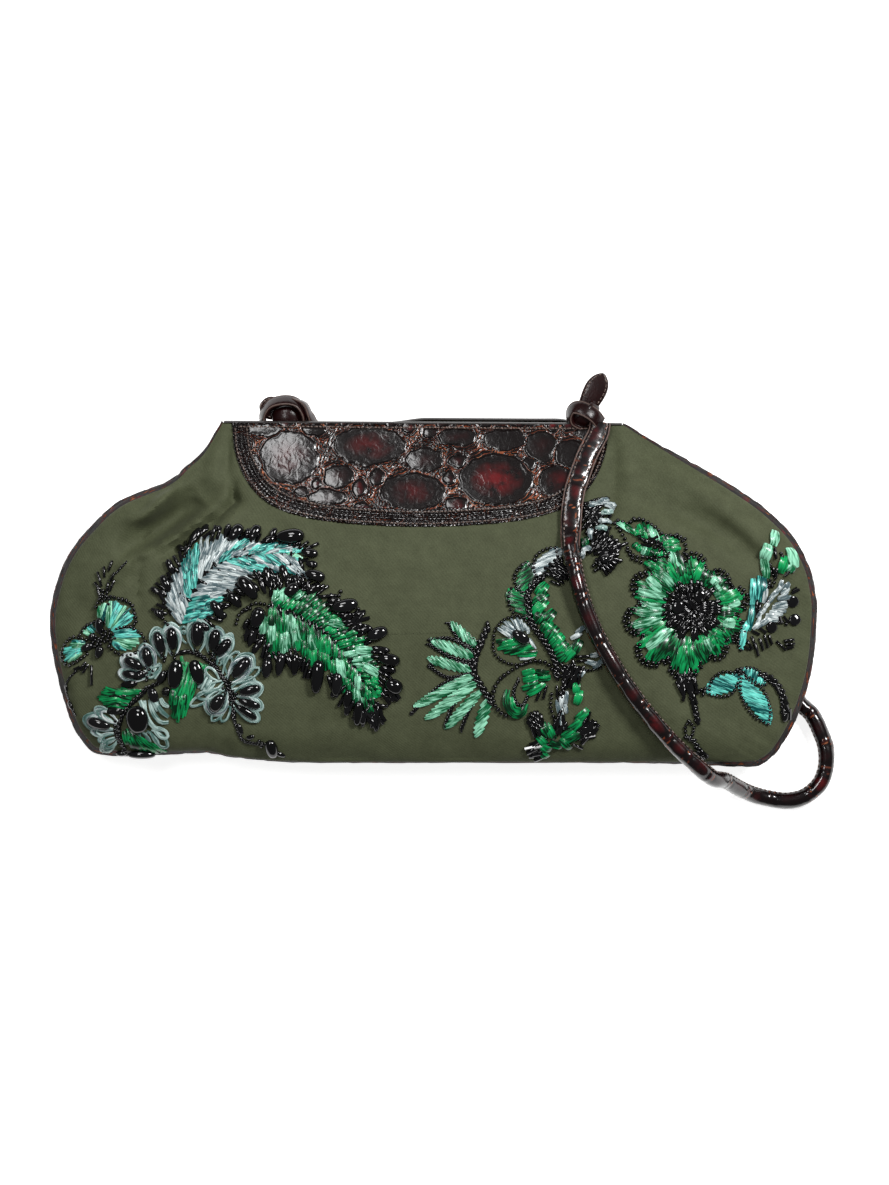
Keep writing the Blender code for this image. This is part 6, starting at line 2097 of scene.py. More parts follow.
class GreenFrond(Motif):
    """Leaning frond of emerald and mint ribbons, with long pebbles and bugles along both edges."""

    node, slot = "green_frond", "green_ribbon"

    def sew(self) -> None:
        """Sew both halves, the rib and the glass round it."""
        mint, green = Raffia.MINT, Raffia.EMERALD
        rib = [(-81.0, -6.7), (-71.0, -11.2), (-60.6, -16.5), (-52.7, -22.0), (-45.9, -30.8), (-39.9, -38.8),
               (-33.1, -48.8), (-30.0, -56.0)]
        upper = [(-84.2, -1.7), (-77.4, 1.5), (-66.2, 0.7), (-56.9, -2.1), (-51.1, -8.7), (-44.7, -16.3),
                 (-36.5, -22.1), (-30.2, -31.2), (-27.2, -40.8), (-26.8, -50.8)]
        lower = [(-85.8, -23.2), (-80.6, -31.8), (-75.0, -30.2), (-67.4, -31.0), (-60.8, -37.8),
                 (-54.7, -40.4), (-49.1, -43.4), (-44.5, -50.0), (-38.1, -56.5), (-31.9, -60.9)]
        self.fringe(upper, 2.7, 9.0, 1, 4)
        self.fringe(lower, 2.7, 9.6, -1, 3)
        self.fan(rib, upper, 34, 2.7, (mint, green, green, green, green, green, green, green, mint, green,
                                       green, green), 1.5, 0.14, 2)
        self.fan(rib, lower, 36, 2.8, (green, green, mint, green, green, green, green, green, green, green,
                                       mint, green, green), 1.5, 0.14, 2)
        for x, y, end_x, end_y, wide in (
                (-75.8, -5.7, -75.0, 0.3, 4.0), (-70.6, -3.3, -65.8, -0.5, 4.2),
                (-53.5, -15.3, -45.9, -16.5, 4.0), (-41.5, -28.8, -31.5, -29.2, 4.4),
                (-36.7, -36.0, -28.4, -41.0, 4.6), (-81.4, -13.3, -80.6, -27.0, 4.4),
                (-70.0, -15.3, -68.4, -26.6, 4.6), (-47.9, -32.0, -45.9, -43.8, 4.6),
                (-84.8, -12.3, -86.0, -21.8, 4.0), (-62.0, -20.0, -60.5, -30.0, 4.2)):
            self.ribbon([(x, y), (end_x, end_y)], wide, mint, 2.0, 0.8)
        self.cord(rib, 1.4)
        self.fringe(rib, 4.4, 8.0, 1)
        self.fringe(rib, 4.0, 9.5, -1)
        for x, y, heading, long, wide in (
                (-83.8, -38.0, 84, 9.8, 6.0), (-77.2, -36.2, 80, 11.6, 5.2), (-69.7, -36.0, 86, 11.4, 5.2),
                (-58.6, -42.2, 84, 17.0, 7.4), (-49.0, -45.8, 84, 12.0, 6.4), (-43.7, -53.1, 82, 9.6, 5.0),
                (-38.5, -60.1, 84, 12.6, 5.6), (-88.5, -13.0, 70, 11.0, 8.0), (-45.1, -7.3, 12, 13.4, 7.4),
                (-28.9, -21.0, 20, 10.8, 7.2), (-23.1, -33.8, -12, 11.0, 7.2), (-20.8, -46.8, -28, 9.4, 8.2),
                (-26.8, -38.8, -32, 11.0, 2.0), (-91.5, -23.0, 75, 9.0, 3.6), (-94.0, -16.0, 60, 6.0, 3.0)):
            self.drop((x, y), heading, long, wide, point=0.18, rings=10, sides=16)
        for line in ([(-53.9, -2.5), (-51.1, -1.7), (-48.3, -2.5), (-47.1, -0.1)],
                     [(-46.7, -12.5), (-43.9, -13.3), (-41.1, -12.9), (-38.3, -12.1)],
                     [(-95.0, -9.0), (-91.0, -6.5), (-86.0, -6.0), (-81.0, -8.5)],
                     [(-99.0, -16.0), (-97.0, -11.0), (-92.0, -8.5)], [(-36.7, -11.3), (-38.3, -8.9)]):
            self.beads(line, 2.1)
        self.thicket((-90.0, -20.0), 5.0, 14, 70.0)
        self.thicket((-22.5, -51.5), 3.5, 10, -45.0)
        self.thicket((-30.0, -61.5), 4.5, 16, -70.0, 30.0)
        self.thicket((-39.0, -15.0), 5.0, 12, 20.0, 30.0)


class EndFlower(Motif):
    """Small open flower at the left end: aqua petals, dark pebbles, a bugle sprig and a thin stem."""

    node, slot = "end_flower", "aqua_ribbon"

    def sew(self) -> None:
        """Sew petals, outlines, middle, sprig and stem."""
        aqua, mint = Raffia.AQUA, Raffia.MINT
        self.fan([(-162.4, -17.2), (-160.2, -19.0)],
                 [(-162.1, -6.5), (-159.1, -5.1), (-154.7, -6.5), (-151.1, -9.5), (-150.0, -13.9)], 14, 2.0,
                 (mint, aqua, mint, aqua, aqua))
        self.fan([(-160.2, -21.2), (-159.9, -25.6)],
                 [(-151.1, -18.3), (-147.4, -20.5), (-147.0, -24.9), (-151.1, -28.2), (-156.9, -28.9)], 14,
                 2.0, (aqua, aqua, mint, mint, aqua))
        self.fan([(-167.6, -13.1), (-165.0, -14.2)], [(-166.5, -6.5), (-162.4, -5.1)], 5, 1.8, (mint, aqua))
        self.fan([(-169.8, -19.7), (-170.5, -21.9)], [(-171.2, -15.7), (-174.9, -20.1)], 5, 1.8, (aqua, mint))
        self.fan([(-174.5, -24.9), (-174.9, -27.8), (-176.0, -30.7)],
                 [(-179.7, -24.1), (-183.7, -28.5), (-183.0, -34.0), (-179.7, -34.4)], 13, 1.8,
                 (aqua, mint, aqua, aqua, mint))
        for line in ([(-168.5, -7.6), (-166.5, -3.6), (-163.2, -2.5), (-158.4, -3.2), (-153.3, -4.7),
                      (-149.6, -9.5), (-148.9, -15.3), (-151.4, -17.5)],
                     [(-151.4, -17.5), (-145.9, -21.2), (-144.1, -25.6), (-147.0, -29.3), (-153.3, -31.8),
                      (-159.1, -30.0), (-162.1, -27.1)],
                     [(-169.4, -15.0), (-173.8, -17.2), (-176.7, -21.9), (-173.8, -24.1)],
                     [(-173.8, -24.1), (-180.4, -22.7), (-184.8, -27.8), (-185.2, -33.7), (-181.9, -36.6),
                      (-176.7, -33.7), (-173.1, -31.1)],
                     [(-162.1, -6.5), (-163.2, -10.9), (-163.9, -15.3)],
                     [(-158.4, -18.3), (-154.7, -17.5), (-151.1, -17.7)],
                     [(-155.5, -4.3), (-150.7, -6.5), (-149.6, -10.9)]):
            self.beads(line, 2.0)
        for place, heading, long, wide in (
                ((-166.6, -16.9), 86, 8.2, 4.8), ((-173.2, -27.6), 22, 6.6, 4.4),
                ((-166.8, -30.1), 70, 6.4, 4.8), ((-171.0, -22.7), 60, 4.4, 3.6)):
            self.drop(place, heading, long, wide, point=0.15, rings=9, sides=14)
        self.heap((-162.8, -22.3), 4.0, 15, 2.0)
        self.heap((-168.1, -24.9), 2.8, 8, 2.0)
        for start, end in (
                ((-165.7, 2.4), (-167.9, 9.8)), ((-164.3, 6.8), (-164.7, 12.4)),
                ((-162.4, 10.0), (-160.5, 15.3)), ((-161.9, 5.2), (-158.4, 9.2)),
                ((-165.7, -0.1), (-169.4, 4.6)), ((-163.5, -0.8), (-162.4, 4.5)),
                ((-161.9, -0.1), (-159.3, 5.8)), ((-167.9, 1.5), (-166.8, -2.1)),
                ((-176.9, -39.2), (-173.8, -35.0)), ((-175.3, -40.6), (-172.5, -36.0)),
                ((-170.7, -46.7), (-170.9, -36.6)), ((-179.8, -38.8), (-176.7, -37.3))):
            self.bugle(start, end, 1.5)
        self.heap((-164.3, -2.3), 3.0, 8, 1.9)
        self.cord([(-158.4, 9.2), (-155.5, 12.5), (-153.4, 14.6)], 0.9)
        self.cord([(-178.2, -39.2), (-182.5, -43.9), (-184.7, -51.3), (-181.7, -55.7), (-179.1, -61.5)], 1.0)
        self.drop((-181.1, -56.4), 125, 4.6, 2.4)
        self.drop((-183.2, -48.0), 80, 3.6, 1.8)


class PebbleFlowerHigh(Motif):
    """Upper pebble flower: dark pebbles in pale loops round a beaded stem, and a green tuft."""

    node, slot = "pebble_flower_high", "mint_ribbon"

    def sew(self) -> None:
        """Sew loops, pebbles, tuft and stem."""
        green = Raffia.EMERALD
        self.fan([(-124.7, -35.1), (-121.4, -35.9), (-117.3, -36.6)],
                 [(-131.3, -53.5), (-130.5, -62.3), (-126.9, -63.4), (-121.4, -54.2)], 12, 2.6, (green,), 1.3)
        self.fan([(-129.1, -47.6), (-123.2, -47.6)], [(-131.3, -57.1), (-129.1, -64.8), (-125.4, -59.3)], 6,
                 2.8, (green,), 1.5)
        self.fan([(-118.8, -35.1), (-115.9, -36.6)], [(-114.4, -40.3), (-112.2, -38.1)], 4, 2.2, (green,))
        self.ribbon([(-126.1, -32.2), (-125.4, -35.9), (-123.2, -40.3)], 2.0, green)
        for base, tip, wide in (
                ((-118.4, -30.0), (-117.7, -13.1), 10.6), ((-111.5, -31.5), (-108.2, -17.5), 8.6),
                ((-110.0, -33.7), (-101.2, -22.7), 8.0), ((-134.9, -32.9), (-138.8, -18.6), 8.0),
                ((-129.8, -31.5), (-131.3, -16.4), 8.6), ((-140.8, -39.5), (-144.5, -26.5), 7.6),
                ((-143.0, -38.8), (-155.5, -32.9), 8.2), ((-143.7, -42.5), (-156.6, -40.3), 6.4)):
            self.petal(base, tip, wide)
        for base, tip, wide in (
                ((-107.4, -35.1), (-101.6, -21.2), 5.0), ((-107.8, -36.6), (-104.5, -28.5), 4.4),
                ((-104.9, -47.6), (-121.4, -56.0), 4.2), ((-104.1, -49.8), (-118.1, -52.0), 4.0),
                ((-105.6, -44.7), (-115.1, -49.8), 3.6), ((-107.8, -43.9), (-113.7, -38.1), 3.8),
                ((-136.4, -37.3), (-140.8, -41.0), 3.2), ((-132.0, -17.5), (-133.3, -16.4), 3.0),
                ((-125.4, -21.2), (-124.8, -17.5), 3.4), ((-136.4, -35.9), (-142.3, -42.5), 3.6),
                ((-123.2, -25.6), (-125.4, -19.7), 3.6)):
            self.loop(base, tip, wide, 1.4, Raffia.PALE)
        self.fan([(-114.4, -40.3), (-110.0, -44.7)], [(-117.3, -47.6), (-113.7, -52.0)], 7, 1.6,
                 (Raffia.PALE,))
        self.fan([(-140.8, -36.6), (-136.4, -38.8)], [(-143.7, -40.3), (-140.1, -43.9)], 6, 1.6,
                 (Raffia.PALE,))
        for place, heading, long, wide in (
                ((-129.1, -41.1), 82, 14.6, 8.2), ((-118.4, -40.0), 108, 12.6, 7.0),
                ((-140.1, -51.4), 112, 7.8, 5.4), ((-133.8, -49.7), 70, 4.6, 4.4),
                ((-135.8, -42.5), 60, 7.2, 4.2), ((-147.0, -41.6), 25, 7.2, 4.6),
                ((-152.1, -46.0), 6, 8.6, 3.8), ((-107.7, -28.7), 35, 6.4, 5.2),
                ((-124.7, -30.0), 10, 5.0, 2.6)):
            self.drop(place, heading, long, wide, wide * 0.62, 0.1, 0.2, 11, 18)
        self.cord([(-127.6, -30.4), (-121.7, -30.0), (-115.9, -32.2), (-110.7, -36.6), (-106.3, -41.7),
                   (-103.4, -45.4)], 1.8)
        self.cord([(-132.0, -38.8), (-136.4, -44.7), (-142.3, -47.6), (-146.7, -52.0), (-151.1, -55.7)], 1.8)
        for place in ((-135.8, -30.7), (-129.4, -21.6), (-108.9, -21.2), (-106.5, -28.2), (-133.5, -49.1),
                      (-143.0, -32.2)):
            self.bead(place, 2.2, lift=2.2)


class PebbleFlowerLow(Motif):
    """Lower pebble flower: one big round pebble with pale loops, green ribbon and long pebbles."""

    node, slot = "pebble_flower_low", "mint_ribbon"

    def sew(self) -> None:
        """Sew loops, ribbons, pebbles and stem."""
        green, pale = Raffia.EMERALD, Raffia.PALE
        self.fan([(-149.6, -52.0), (-146.7, -49.8), (-156.9, -54.2)],
                 [(-163.5, -48.3), (-166.5, -52.0), (-165.0, -57.1)], 9, 2.6, (green,), 1.2)
        self.fan([(-146.7, -49.1), (-151.1, -53.5), (-154.0, -57.9)],
                 [(-153.3, -48.3), (-158.4, -48.3), (-162.1, -56.4)], 7, 2.4, (green,), 1.2)
        self.fan([(-154.7, -68.9), (-152.5, -68.9), (-149.6, -71.8)],
                 [(-153.3, -75.5), (-146.7, -78.4), (-136.4, -80.6), (-133.5, -77.7)], 10, 2.8, (green,), 1.2)
        for base, tip, wide in (
                ((-158.4, -67.4), (-174.2, -63.4), 8.4), ((-158.0, -65.2), (-168.5, -57.9), 5.0),
                ((-158.4, -69.6), (-170.7, -69.6), 4.6), ((-158.0, -71.1), (-167.1, -74.0), 4.4),
                ((-157.7, -72.9), (-165.7, -78.0), 4.6)):
            self.petal(base, tip, wide, filled=wide > 8)
        for line in ([(-144.5, -54.2), (-143.7, -60.8), (-140.1, -66.7), (-134.9, -68.9)],
                     [(-141.9, -53.8), (-140.1, -60.1), (-136.4, -64.5), (-132.7, -64.8)],
                     [(-139.0, -53.1), (-137.1, -57.9), (-132.7, -62.3)],
                     [(-146.7, -54.2), (-145.2, -57.1), (-142.9, -62.3)],
                     [(-136.4, -53.1), (-134.9, -55.7), (-132.4, -57.1)],
                     [(-140.8, -51.3), (-139.3, -55.7), (-137.9, -59.3)]):
            self.ribbon(line, 2.5, pale, 1.0)
        for base, tip, wide in (((-146.7, -69.6), (-142.9, -76.2), 3.8),
                                ((-143.7, -69.6), (-138.5, -76.9), 4.0),
                                ((-141.5, -68.9), (-133.6, -76.4), 4.4),
                                ((-140.1, -67.4), (-133.3, -71.8), 3.8)):
            self.loop(base, tip, wide, 1.8)
        for place, heading, long, wide in (
                ((-147.7, -63.3), 100, 13.8, 11.6), ((-146.1, -81.6), -3, 14.0, 6.8),
                ((-158.0, -52.1), 2, 9.0, 3.6), ((-159.0, -59.3), 4, 9.0, 3.8),
                ((-156.1, -79.6), 60, 5.6, 4.8)):
            self.drop(place, heading, long, wide, wide * 0.62, 0.05, 0.2, 12, 20)
        self.bugle((-160.6, -52.0), (-153.3, -51.9), 2.2)
        self.bugle((-162.1, -59.3), (-154.7, -59.2), 2.2)
        self.cord([(-143.7, -48.3), (-148.1, -52.7), (-154.7, -60.1), (-157.3, -67.4), (-156.9, -73.3),
                   (-154.7, -78.4)], 1.9)


class BeadTail(Motif):
    """Right-hand pebble loops of the flower and the beaded tail that ends in one long drop."""

    node, slot = "bead_tail", "black_bead"

    def sew(self) -> None:
        """Sew loops, pebbles, tail and end drop."""
        for base, tip, wide in (
                ((-102.5, -44.8), (-91.7, -32.0), 9.6), ((-99.7, -50.7), (-85.8, -47.2), 7.6),
                ((-100.1, -52.7), (-85.8, -57.5), 6.4), ((-104.5, -48.8), (-111.7, -59.9), 10.4),
                ((-101.3, -54.3), (-87.7, -63.9), 6.0)):
            self.petal(base, tip, wide)
        for base, tip, wide in (
                ((-105.3, -42.4), (-98.1, -30.4), 5.4), ((-100.5, -45.6), (-87.7, -38.4), 4.4),
                ((-101.3, -48.0), (-90.1, -43.2), 3.6), ((-103.7, -55.9), (-110.9, -63.5), 3.6),
                ((-102.1, -56.7), (-106.1, -63.9), 3.4), ((-102.9, -40.8), (-102.9, -32.0), 4.4)):
            self.loop(base, tip, wide, 1.4)
        tail = [(-110.9, -35.2), (-106.9, -40.8), (-102.9, -47.2), (-100.9, -53.5), (-100.1, -63.9),
                (-96.2, -73.2), (-90.8, -75.2), (-84.8, -75.8)]
        self.cord(tail[:5], 2.0)
        self.cord(tail[4:], 1.4)
        self.drop((-81.4, -77.2), 100, 10.5, 6.6, point=0.1)
        self.drop((-77.6, -80.4), 152, 6.6, 2.6)
        self.drop((-97.2, -68.2), 110, 6.0, 3.0)
        self.drop((-91.8, -72.2), 20, 4.4, 2.4)
        self.heap((-86.8, -74.8), 1.6, 3)


class FanSprig(Motif):
    """Fan of seven mint leaves on a black cord."""

    node, slot = "fan_sprig", "mint_ribbon"

    def sew(self) -> None:
        """Sew the cord, the leaves and the cords between them."""
        mint = Raffia.MINT
        self.cord([(26.4, -16.8), (22.7, -25.0), (20.1, -31.9), (18.9, -39.6), (23.0, -47.4), (27.7, -54.7)],
                  2.9)
        self.cord([(23.4, -25.4), (20.1, -31.9), (19.3, -39.2)], 2.3)
        leaves = (((20.4, -26.3), (7.9, -16.8), 4.6), ((18.7, -31.5), (-1.6, -25.4), 5.2),
                  ((17.4, -38.1), (-2.6, -34.3), 4.8), ((16.9, -41.4), (-8.0, -56.8), 4.8),
                  ((19.3, -44.6), (-2.6, -62.7), 4.8), ((21.4, -49.3), (6.6, -67.3), 4.6),
                  ((25.0, -53.6), (21.7, -71.1), 5.6))
        for base, tip, wide in leaves:
            self.leaf(base, tip, wide * 1.05, (mint,), 2.5, lean=0.9, outline=0, blunt=0.3)
        for line in ([(23.0, -26.7), (15.7, -22.0), (5.8, -15.4)],
                     [(19.5, -29.7), (7.9, -23.4), (-3.3, -24.1)],
                     [(19.3, -34.5), (8.8, -33.2), (-3.7, -25.9)],
                     [(18.4, -36.2), (8.8, -35.3), (-3.3, -36.2)],
                     [(17.4, -40.5), (6.2, -42.6), (-3.3, -37.0)],
                     [(16.1, -41.8), (2.7, -46.5), (-12.1, -60.7)],
                     [(18.2, -45.5), (9.6, -55.1), (4.5, -67.0)],
                     [(20.8, -50.8), (16.5, -59.4), (12.6, -68.9)],
                     [(20.4, -26.7), (13.1, -25.9), (7.9, -18.1)]):
            self.cord(line, 1.6)


class ScrollSprig(Motif):
    """Scrolling sprig: a chain of green stitches, leaves, one petal with a pebble, and a bushy foot."""

    node, slot, bends = "scroll_sprig", "green_ribbon", True

    def sew(self) -> None:
        """Sew leaves, petal, chain, hook and foot."""
        green, silver = Raffia.EMERALD, Raffia.SILVER
        self.leaf((49.9, 7.7), (59.4, 21.5), 9.0, (silver,), 1.9, lean=1.6, outline=2.0)
        self.leaf((44.5, -1.8), (44.8, 14.2), 9.4, (green,), 2.8, lean=1.0, outline=2.0)
        self.leaf((46.6, -13.4), (37.6, 1.3), 9.2, (green,), 2.8, lean=-1.0, outline=2.0)
        self.fan([(38.9, -22.4), (43.2, -19.0), (46.6, -20.7)],
                 [(31.6, -18.1), (35.5, -14.2), (42.3, -14.2), (46.2, -18.1)], 11, 1.9, (silver,))
        self.fan([(50.5, -31.5), (49.2, -26.7), (38.9, -23.3)], [(40.6, -31.0), (32.9, -29.7), (30.7, -25.0)],
                 9, 2.6, (green,), 1.2)
        self.ribbon([(41.9, -33.2), (49.2, -31.7)], 2.6, silver)
        self.ribbon([(46.6, -23.3), (49.7, -28.4)], 1.8, silver)
        self.drop((42.3, -22.4), -35, 9.4, 5.8, 4.2, 0.1, 0.5, 11, 18)
        self.beads([(47.5, -17.3), (42.3, -12.5), (35.5, -13.4), (30.3, -18.1), (28.6, -25.0), (29.9, -31.5),
                    (35.5, -35.3), (42.3, -36.2), (49.2, -34.0)], 1.9)
        self.beads([(60.4, -42.6), (56.1, -36.2), (50.5, -34.3), (44.1, -35.8), (38.0, -38.9), (32.0, -43.5),
                    (28.7, -50.0), (29.4, -56.4), (34.2, -61.0), (39.9, -61.8)], 2.4)
        chain = (((50.5, -1.8), (55.3, 3.8)), ((48.8, -6.5), (55.7, -0.9)), ((48.2, -11.2), (55.3, -4.3)),
                 ((49.7, -15.5), (53.5, -9.5)), ((53.1, -16.4), (59.1, -9.5)), ((53.1, -19.8), (57.4, -14.7)),
                 ((55.3, -23.7), (60.4, -17.3)), ((57.4, -26.7), (63.4, -21.6)),
                 ((59.1, -30.6), (65.2, -25.0)), ((60.4, -34.0), (66.9, -28.4)),
                 ((63.4, -34.0), (69.9, -26.7)), ((66.9, -32.3), (72.0, -24.1)))
        for start, end in chain:
            self.ribbon([start, end], 5.4, green, 1.9)
        self.cord([(54.4, 7.7), (47.5, 2.5), (45.6, -4.3), (46.6, -11.2), (49.2, -18.1), (53.1, -23.3),
                   (57.0, -29.3), (60.0, -36.2), (60.6, -42.6)], 2.8)
        for start, end in (((43.2, -40.5), (49.2, -39.2)), ((43.6, -43.9), (50.9, -42.2)),
                           ((43.2, -48.2), (50.9, -44.8)), ((45.8, -51.3), (54.4, -45.7)),
                           ((50.1, -39.6), (56.1, -40.5)), ((51.4, -43.1), (57.0, -42.6))):
            self.ribbon([start, end], 3.6, green, 1.5)
        self.ribbon([(35.9, -48.7), (35.0, -55.1), (38.9, -60.7), (43.2, -60.3), (45.1, -55.6)], 3.8, green,
                    1.2)
        self.ribbon([(37.6, -52.5), (38.9, -57.7), (42.3, -58.6)], 2.8, green, 1.4)
        self.cord([(41.5, -43.5), (38.9, -49.5), (39.9, -54.7), (43.2, -56.4), (46.6, -50.8)], 1.5)
        for start, end in (((65.2, -49.5), (64.7, -56.0)), ((63.0, -50.8), (62.1, -57.7)),
                           ((60.4, -53.8), (61.7, -61.2)), ((62.1, -57.7), (63.4, -64.6)),
                           ((64.3, -56.0), (65.2, -60.3)), ((62.6, -62.9), (63.4, -68.5))):
            self.ribbon([start, end], 2.4, silver, 1.0)
        self.beads([(57.8, -50.8), (57.4, -57.3), (59.1, -63.7), (62.0, -69.8)], 2.1)
        for start, end, wide in (
                ((70.3, -44.8), (69.9, -50.8), 4.2), ((72.0, -49.1), (69.9, -56.0), 4.4),
                ((75.9, -58.6), (69.9, -63.7), 4.6), ((73.3, -62.9), (66.4, -68.9), 4.6),
                ((69.9, -68.0), (63.0, -72.3), 4.4), ((73.3, -69.8), (63.9, -74.5), 4.0),
                ((53.1, -65.0), (56.1, -72.3), 4.8), ((55.3, -65.5), (59.1, -73.2), 4.2),
                ((50.5, -71.9), (55.3, -75.8), 4.2), ((51.4, -75.8), (57.4, -78.4), 4.2),
                ((52.7, -79.2), (56.1, -81.8), 4.0), ((62.1, -73.2), (67.3, -77.9), 3.6),
                ((57.0, -74.9), (63.0, -76.6), 4.4)):
            self.ribbon([start, end], wide, green, 1.7)
        for start, end in (
                ((46.6, -62.0), (50.5, -68.5)), ((48.8, -59.0), (51.4, -65.5)),
                ((51.8, -60.3), (53.5, -64.6)), ((47.9, -66.3), (51.4, -71.5)),
                ((46.6, -75.8), (50.9, -74.1)), ((47.5, -78.4), (51.8, -77.1)),
                ((49.7, -81.4), (52.7, -78.8)), ((73.3, -67.6), (78.5, -63.3)),
                ((74.2, -71.5), (79.4, -67.2)), ((72.5, -74.1), (77.6, -70.6)),
                ((68.2, -75.4), (73.3, -77.9)), ((75.9, -63.7), (76.8, -59.4)),
                ((65.6, -38.8), (64.7, -47.4)), ((67.7, -38.8), (67.3, -48.2)),
                ((63.0, -37.0), (69.9, -36.2)), ((69.5, -32.3), (76.8, -31.9)),
                ((69.9, -34.5), (76.8, -34.0)), ((60.4, -46.5), (60.4, -52.5)),
                ((55.3, -46.5), (53.5, -53.4)), ((52.7, -48.2), (50.1, -54.3)), ((58.7, 6.9), (63.9, 3.8)),
                ((57.0, 5.1), (62.1, 3.0)), ((60.4, 9.4), (64.7, 6.0)), ((58.7, 11.6), (63.9, 9.4)),
                ((60.8, 17.2), (61.3, 12.0)), ((62.6, 17.2), (63.0, 12.0))):
            self.bugle(start, end, 1.5)
        for base, tip in (((74.2, -34.5), (82.4, -36.2)), ((76.8, -31.9), (81.9, -31.0)),
                          ((70.7, -43.1), (74.2, -38.8)), ((69.9, -20.7), (74.2, -17.3)),
                          ((67.3, -23.3), (72.5, -20.7)), ((78.5, -37.9), (82.8, -34.0))):
            self.ribbon([base, tip], 2.6, silver, 1.2)
        self.beads([(73.3, -39.2), (77.6, -38.8), (81.9, -37.5)], 1.8)
        self.cord([(63.6, -36.6), (64.0, -46.0), (62.0, -54.0)], 2.6)
        for place, heading, count in (((50.0, -66.0), -60, 12), ((50.5, -78.5), 20, 12),
                                      ((75.5, -69.0), 35, 16), ((62.0, -66.0), 80, 8),
                                      ((60.5, 10.0), -30, 14), ((69.0, -41.0), 80, 10)):
            self.thicket(place, 4.2, count, heading, 26.0, 7.0)


class BugleSpray(Motif):
    """Spray beside the strap: silver knots and a heap of black bugles."""

    node, slot, bends = "bugle_spray", "black_bead", True

    def sew(self) -> None:
        """Sew knots, bugles and beads."""
        for place, reach, count, heading in (((79.5, 36.0), 5.5, 14, 80), ((80.0, 27.0), 6.0, 16, 60),
                                             ((86.0, 20.0), 5.5, 12, 20), ((76.5, 40.0), 4.0, 9, 20)):
            self.thicket(place, reach, count, heading, 34.0, 8.5)
        for x, y, end_x, end_y, raffia in (
                (79.8, 43.9, 86.0, 44.5, Raffia.SILVER), (85.0, 43.4, 89.0, 40.0, Raffia.SILVER),
                (81.5, 38.0, 87.0, 38.6, Raffia.PALE), (81.0, 34.5, 86.8, 34.3, Raffia.SILVER),
                (79.5, 31.2, 85.4, 30.4, Raffia.PALE), (77.0, 31.0, 77.0, 26.2, Raffia.SILVER),
                (73.5, 26.3, 75.4, 22.0, Raffia.EMERALD), (73.2, 20.3, 77.0, 21.5, Raffia.SILVER),
                (72.6, 17.3, 74.4, 19.4, Raffia.SILVER), (76.8, 42.6, 79.6, 43.2, Raffia.SILVER)):
            for k in range(3):
                shift = self.chance.uniform(-1.1, 1.1, 2)
                self.ribbon([(x + shift[0], y + shift[1]), (end_x + shift[1], end_y + shift[0])], 2.2, raffia,
                            1.5 + 0.5 * k, 1.0)
        for turn in range(-60, 61, 12):
            way = (math.cos(math.radians(turn)), math.sin(math.radians(turn)))
            self.bugle((79.5 + way[0] * 2, 18.0 + way[1] * 2), (79.5 + way[0] * 12, 18.0 + way[1] * 12), 2.1)
        self.heap((80.7, 12.9), 3.0, 8, 2.2)
        self.drop((84.0, 15.5), 0, 5.0, 5.0, lift=1.0)
        self.cord([(71.5, 38.0), (73.5, 42.0), (79.0, 45.0), (85.5, 46.2)], 1.8)


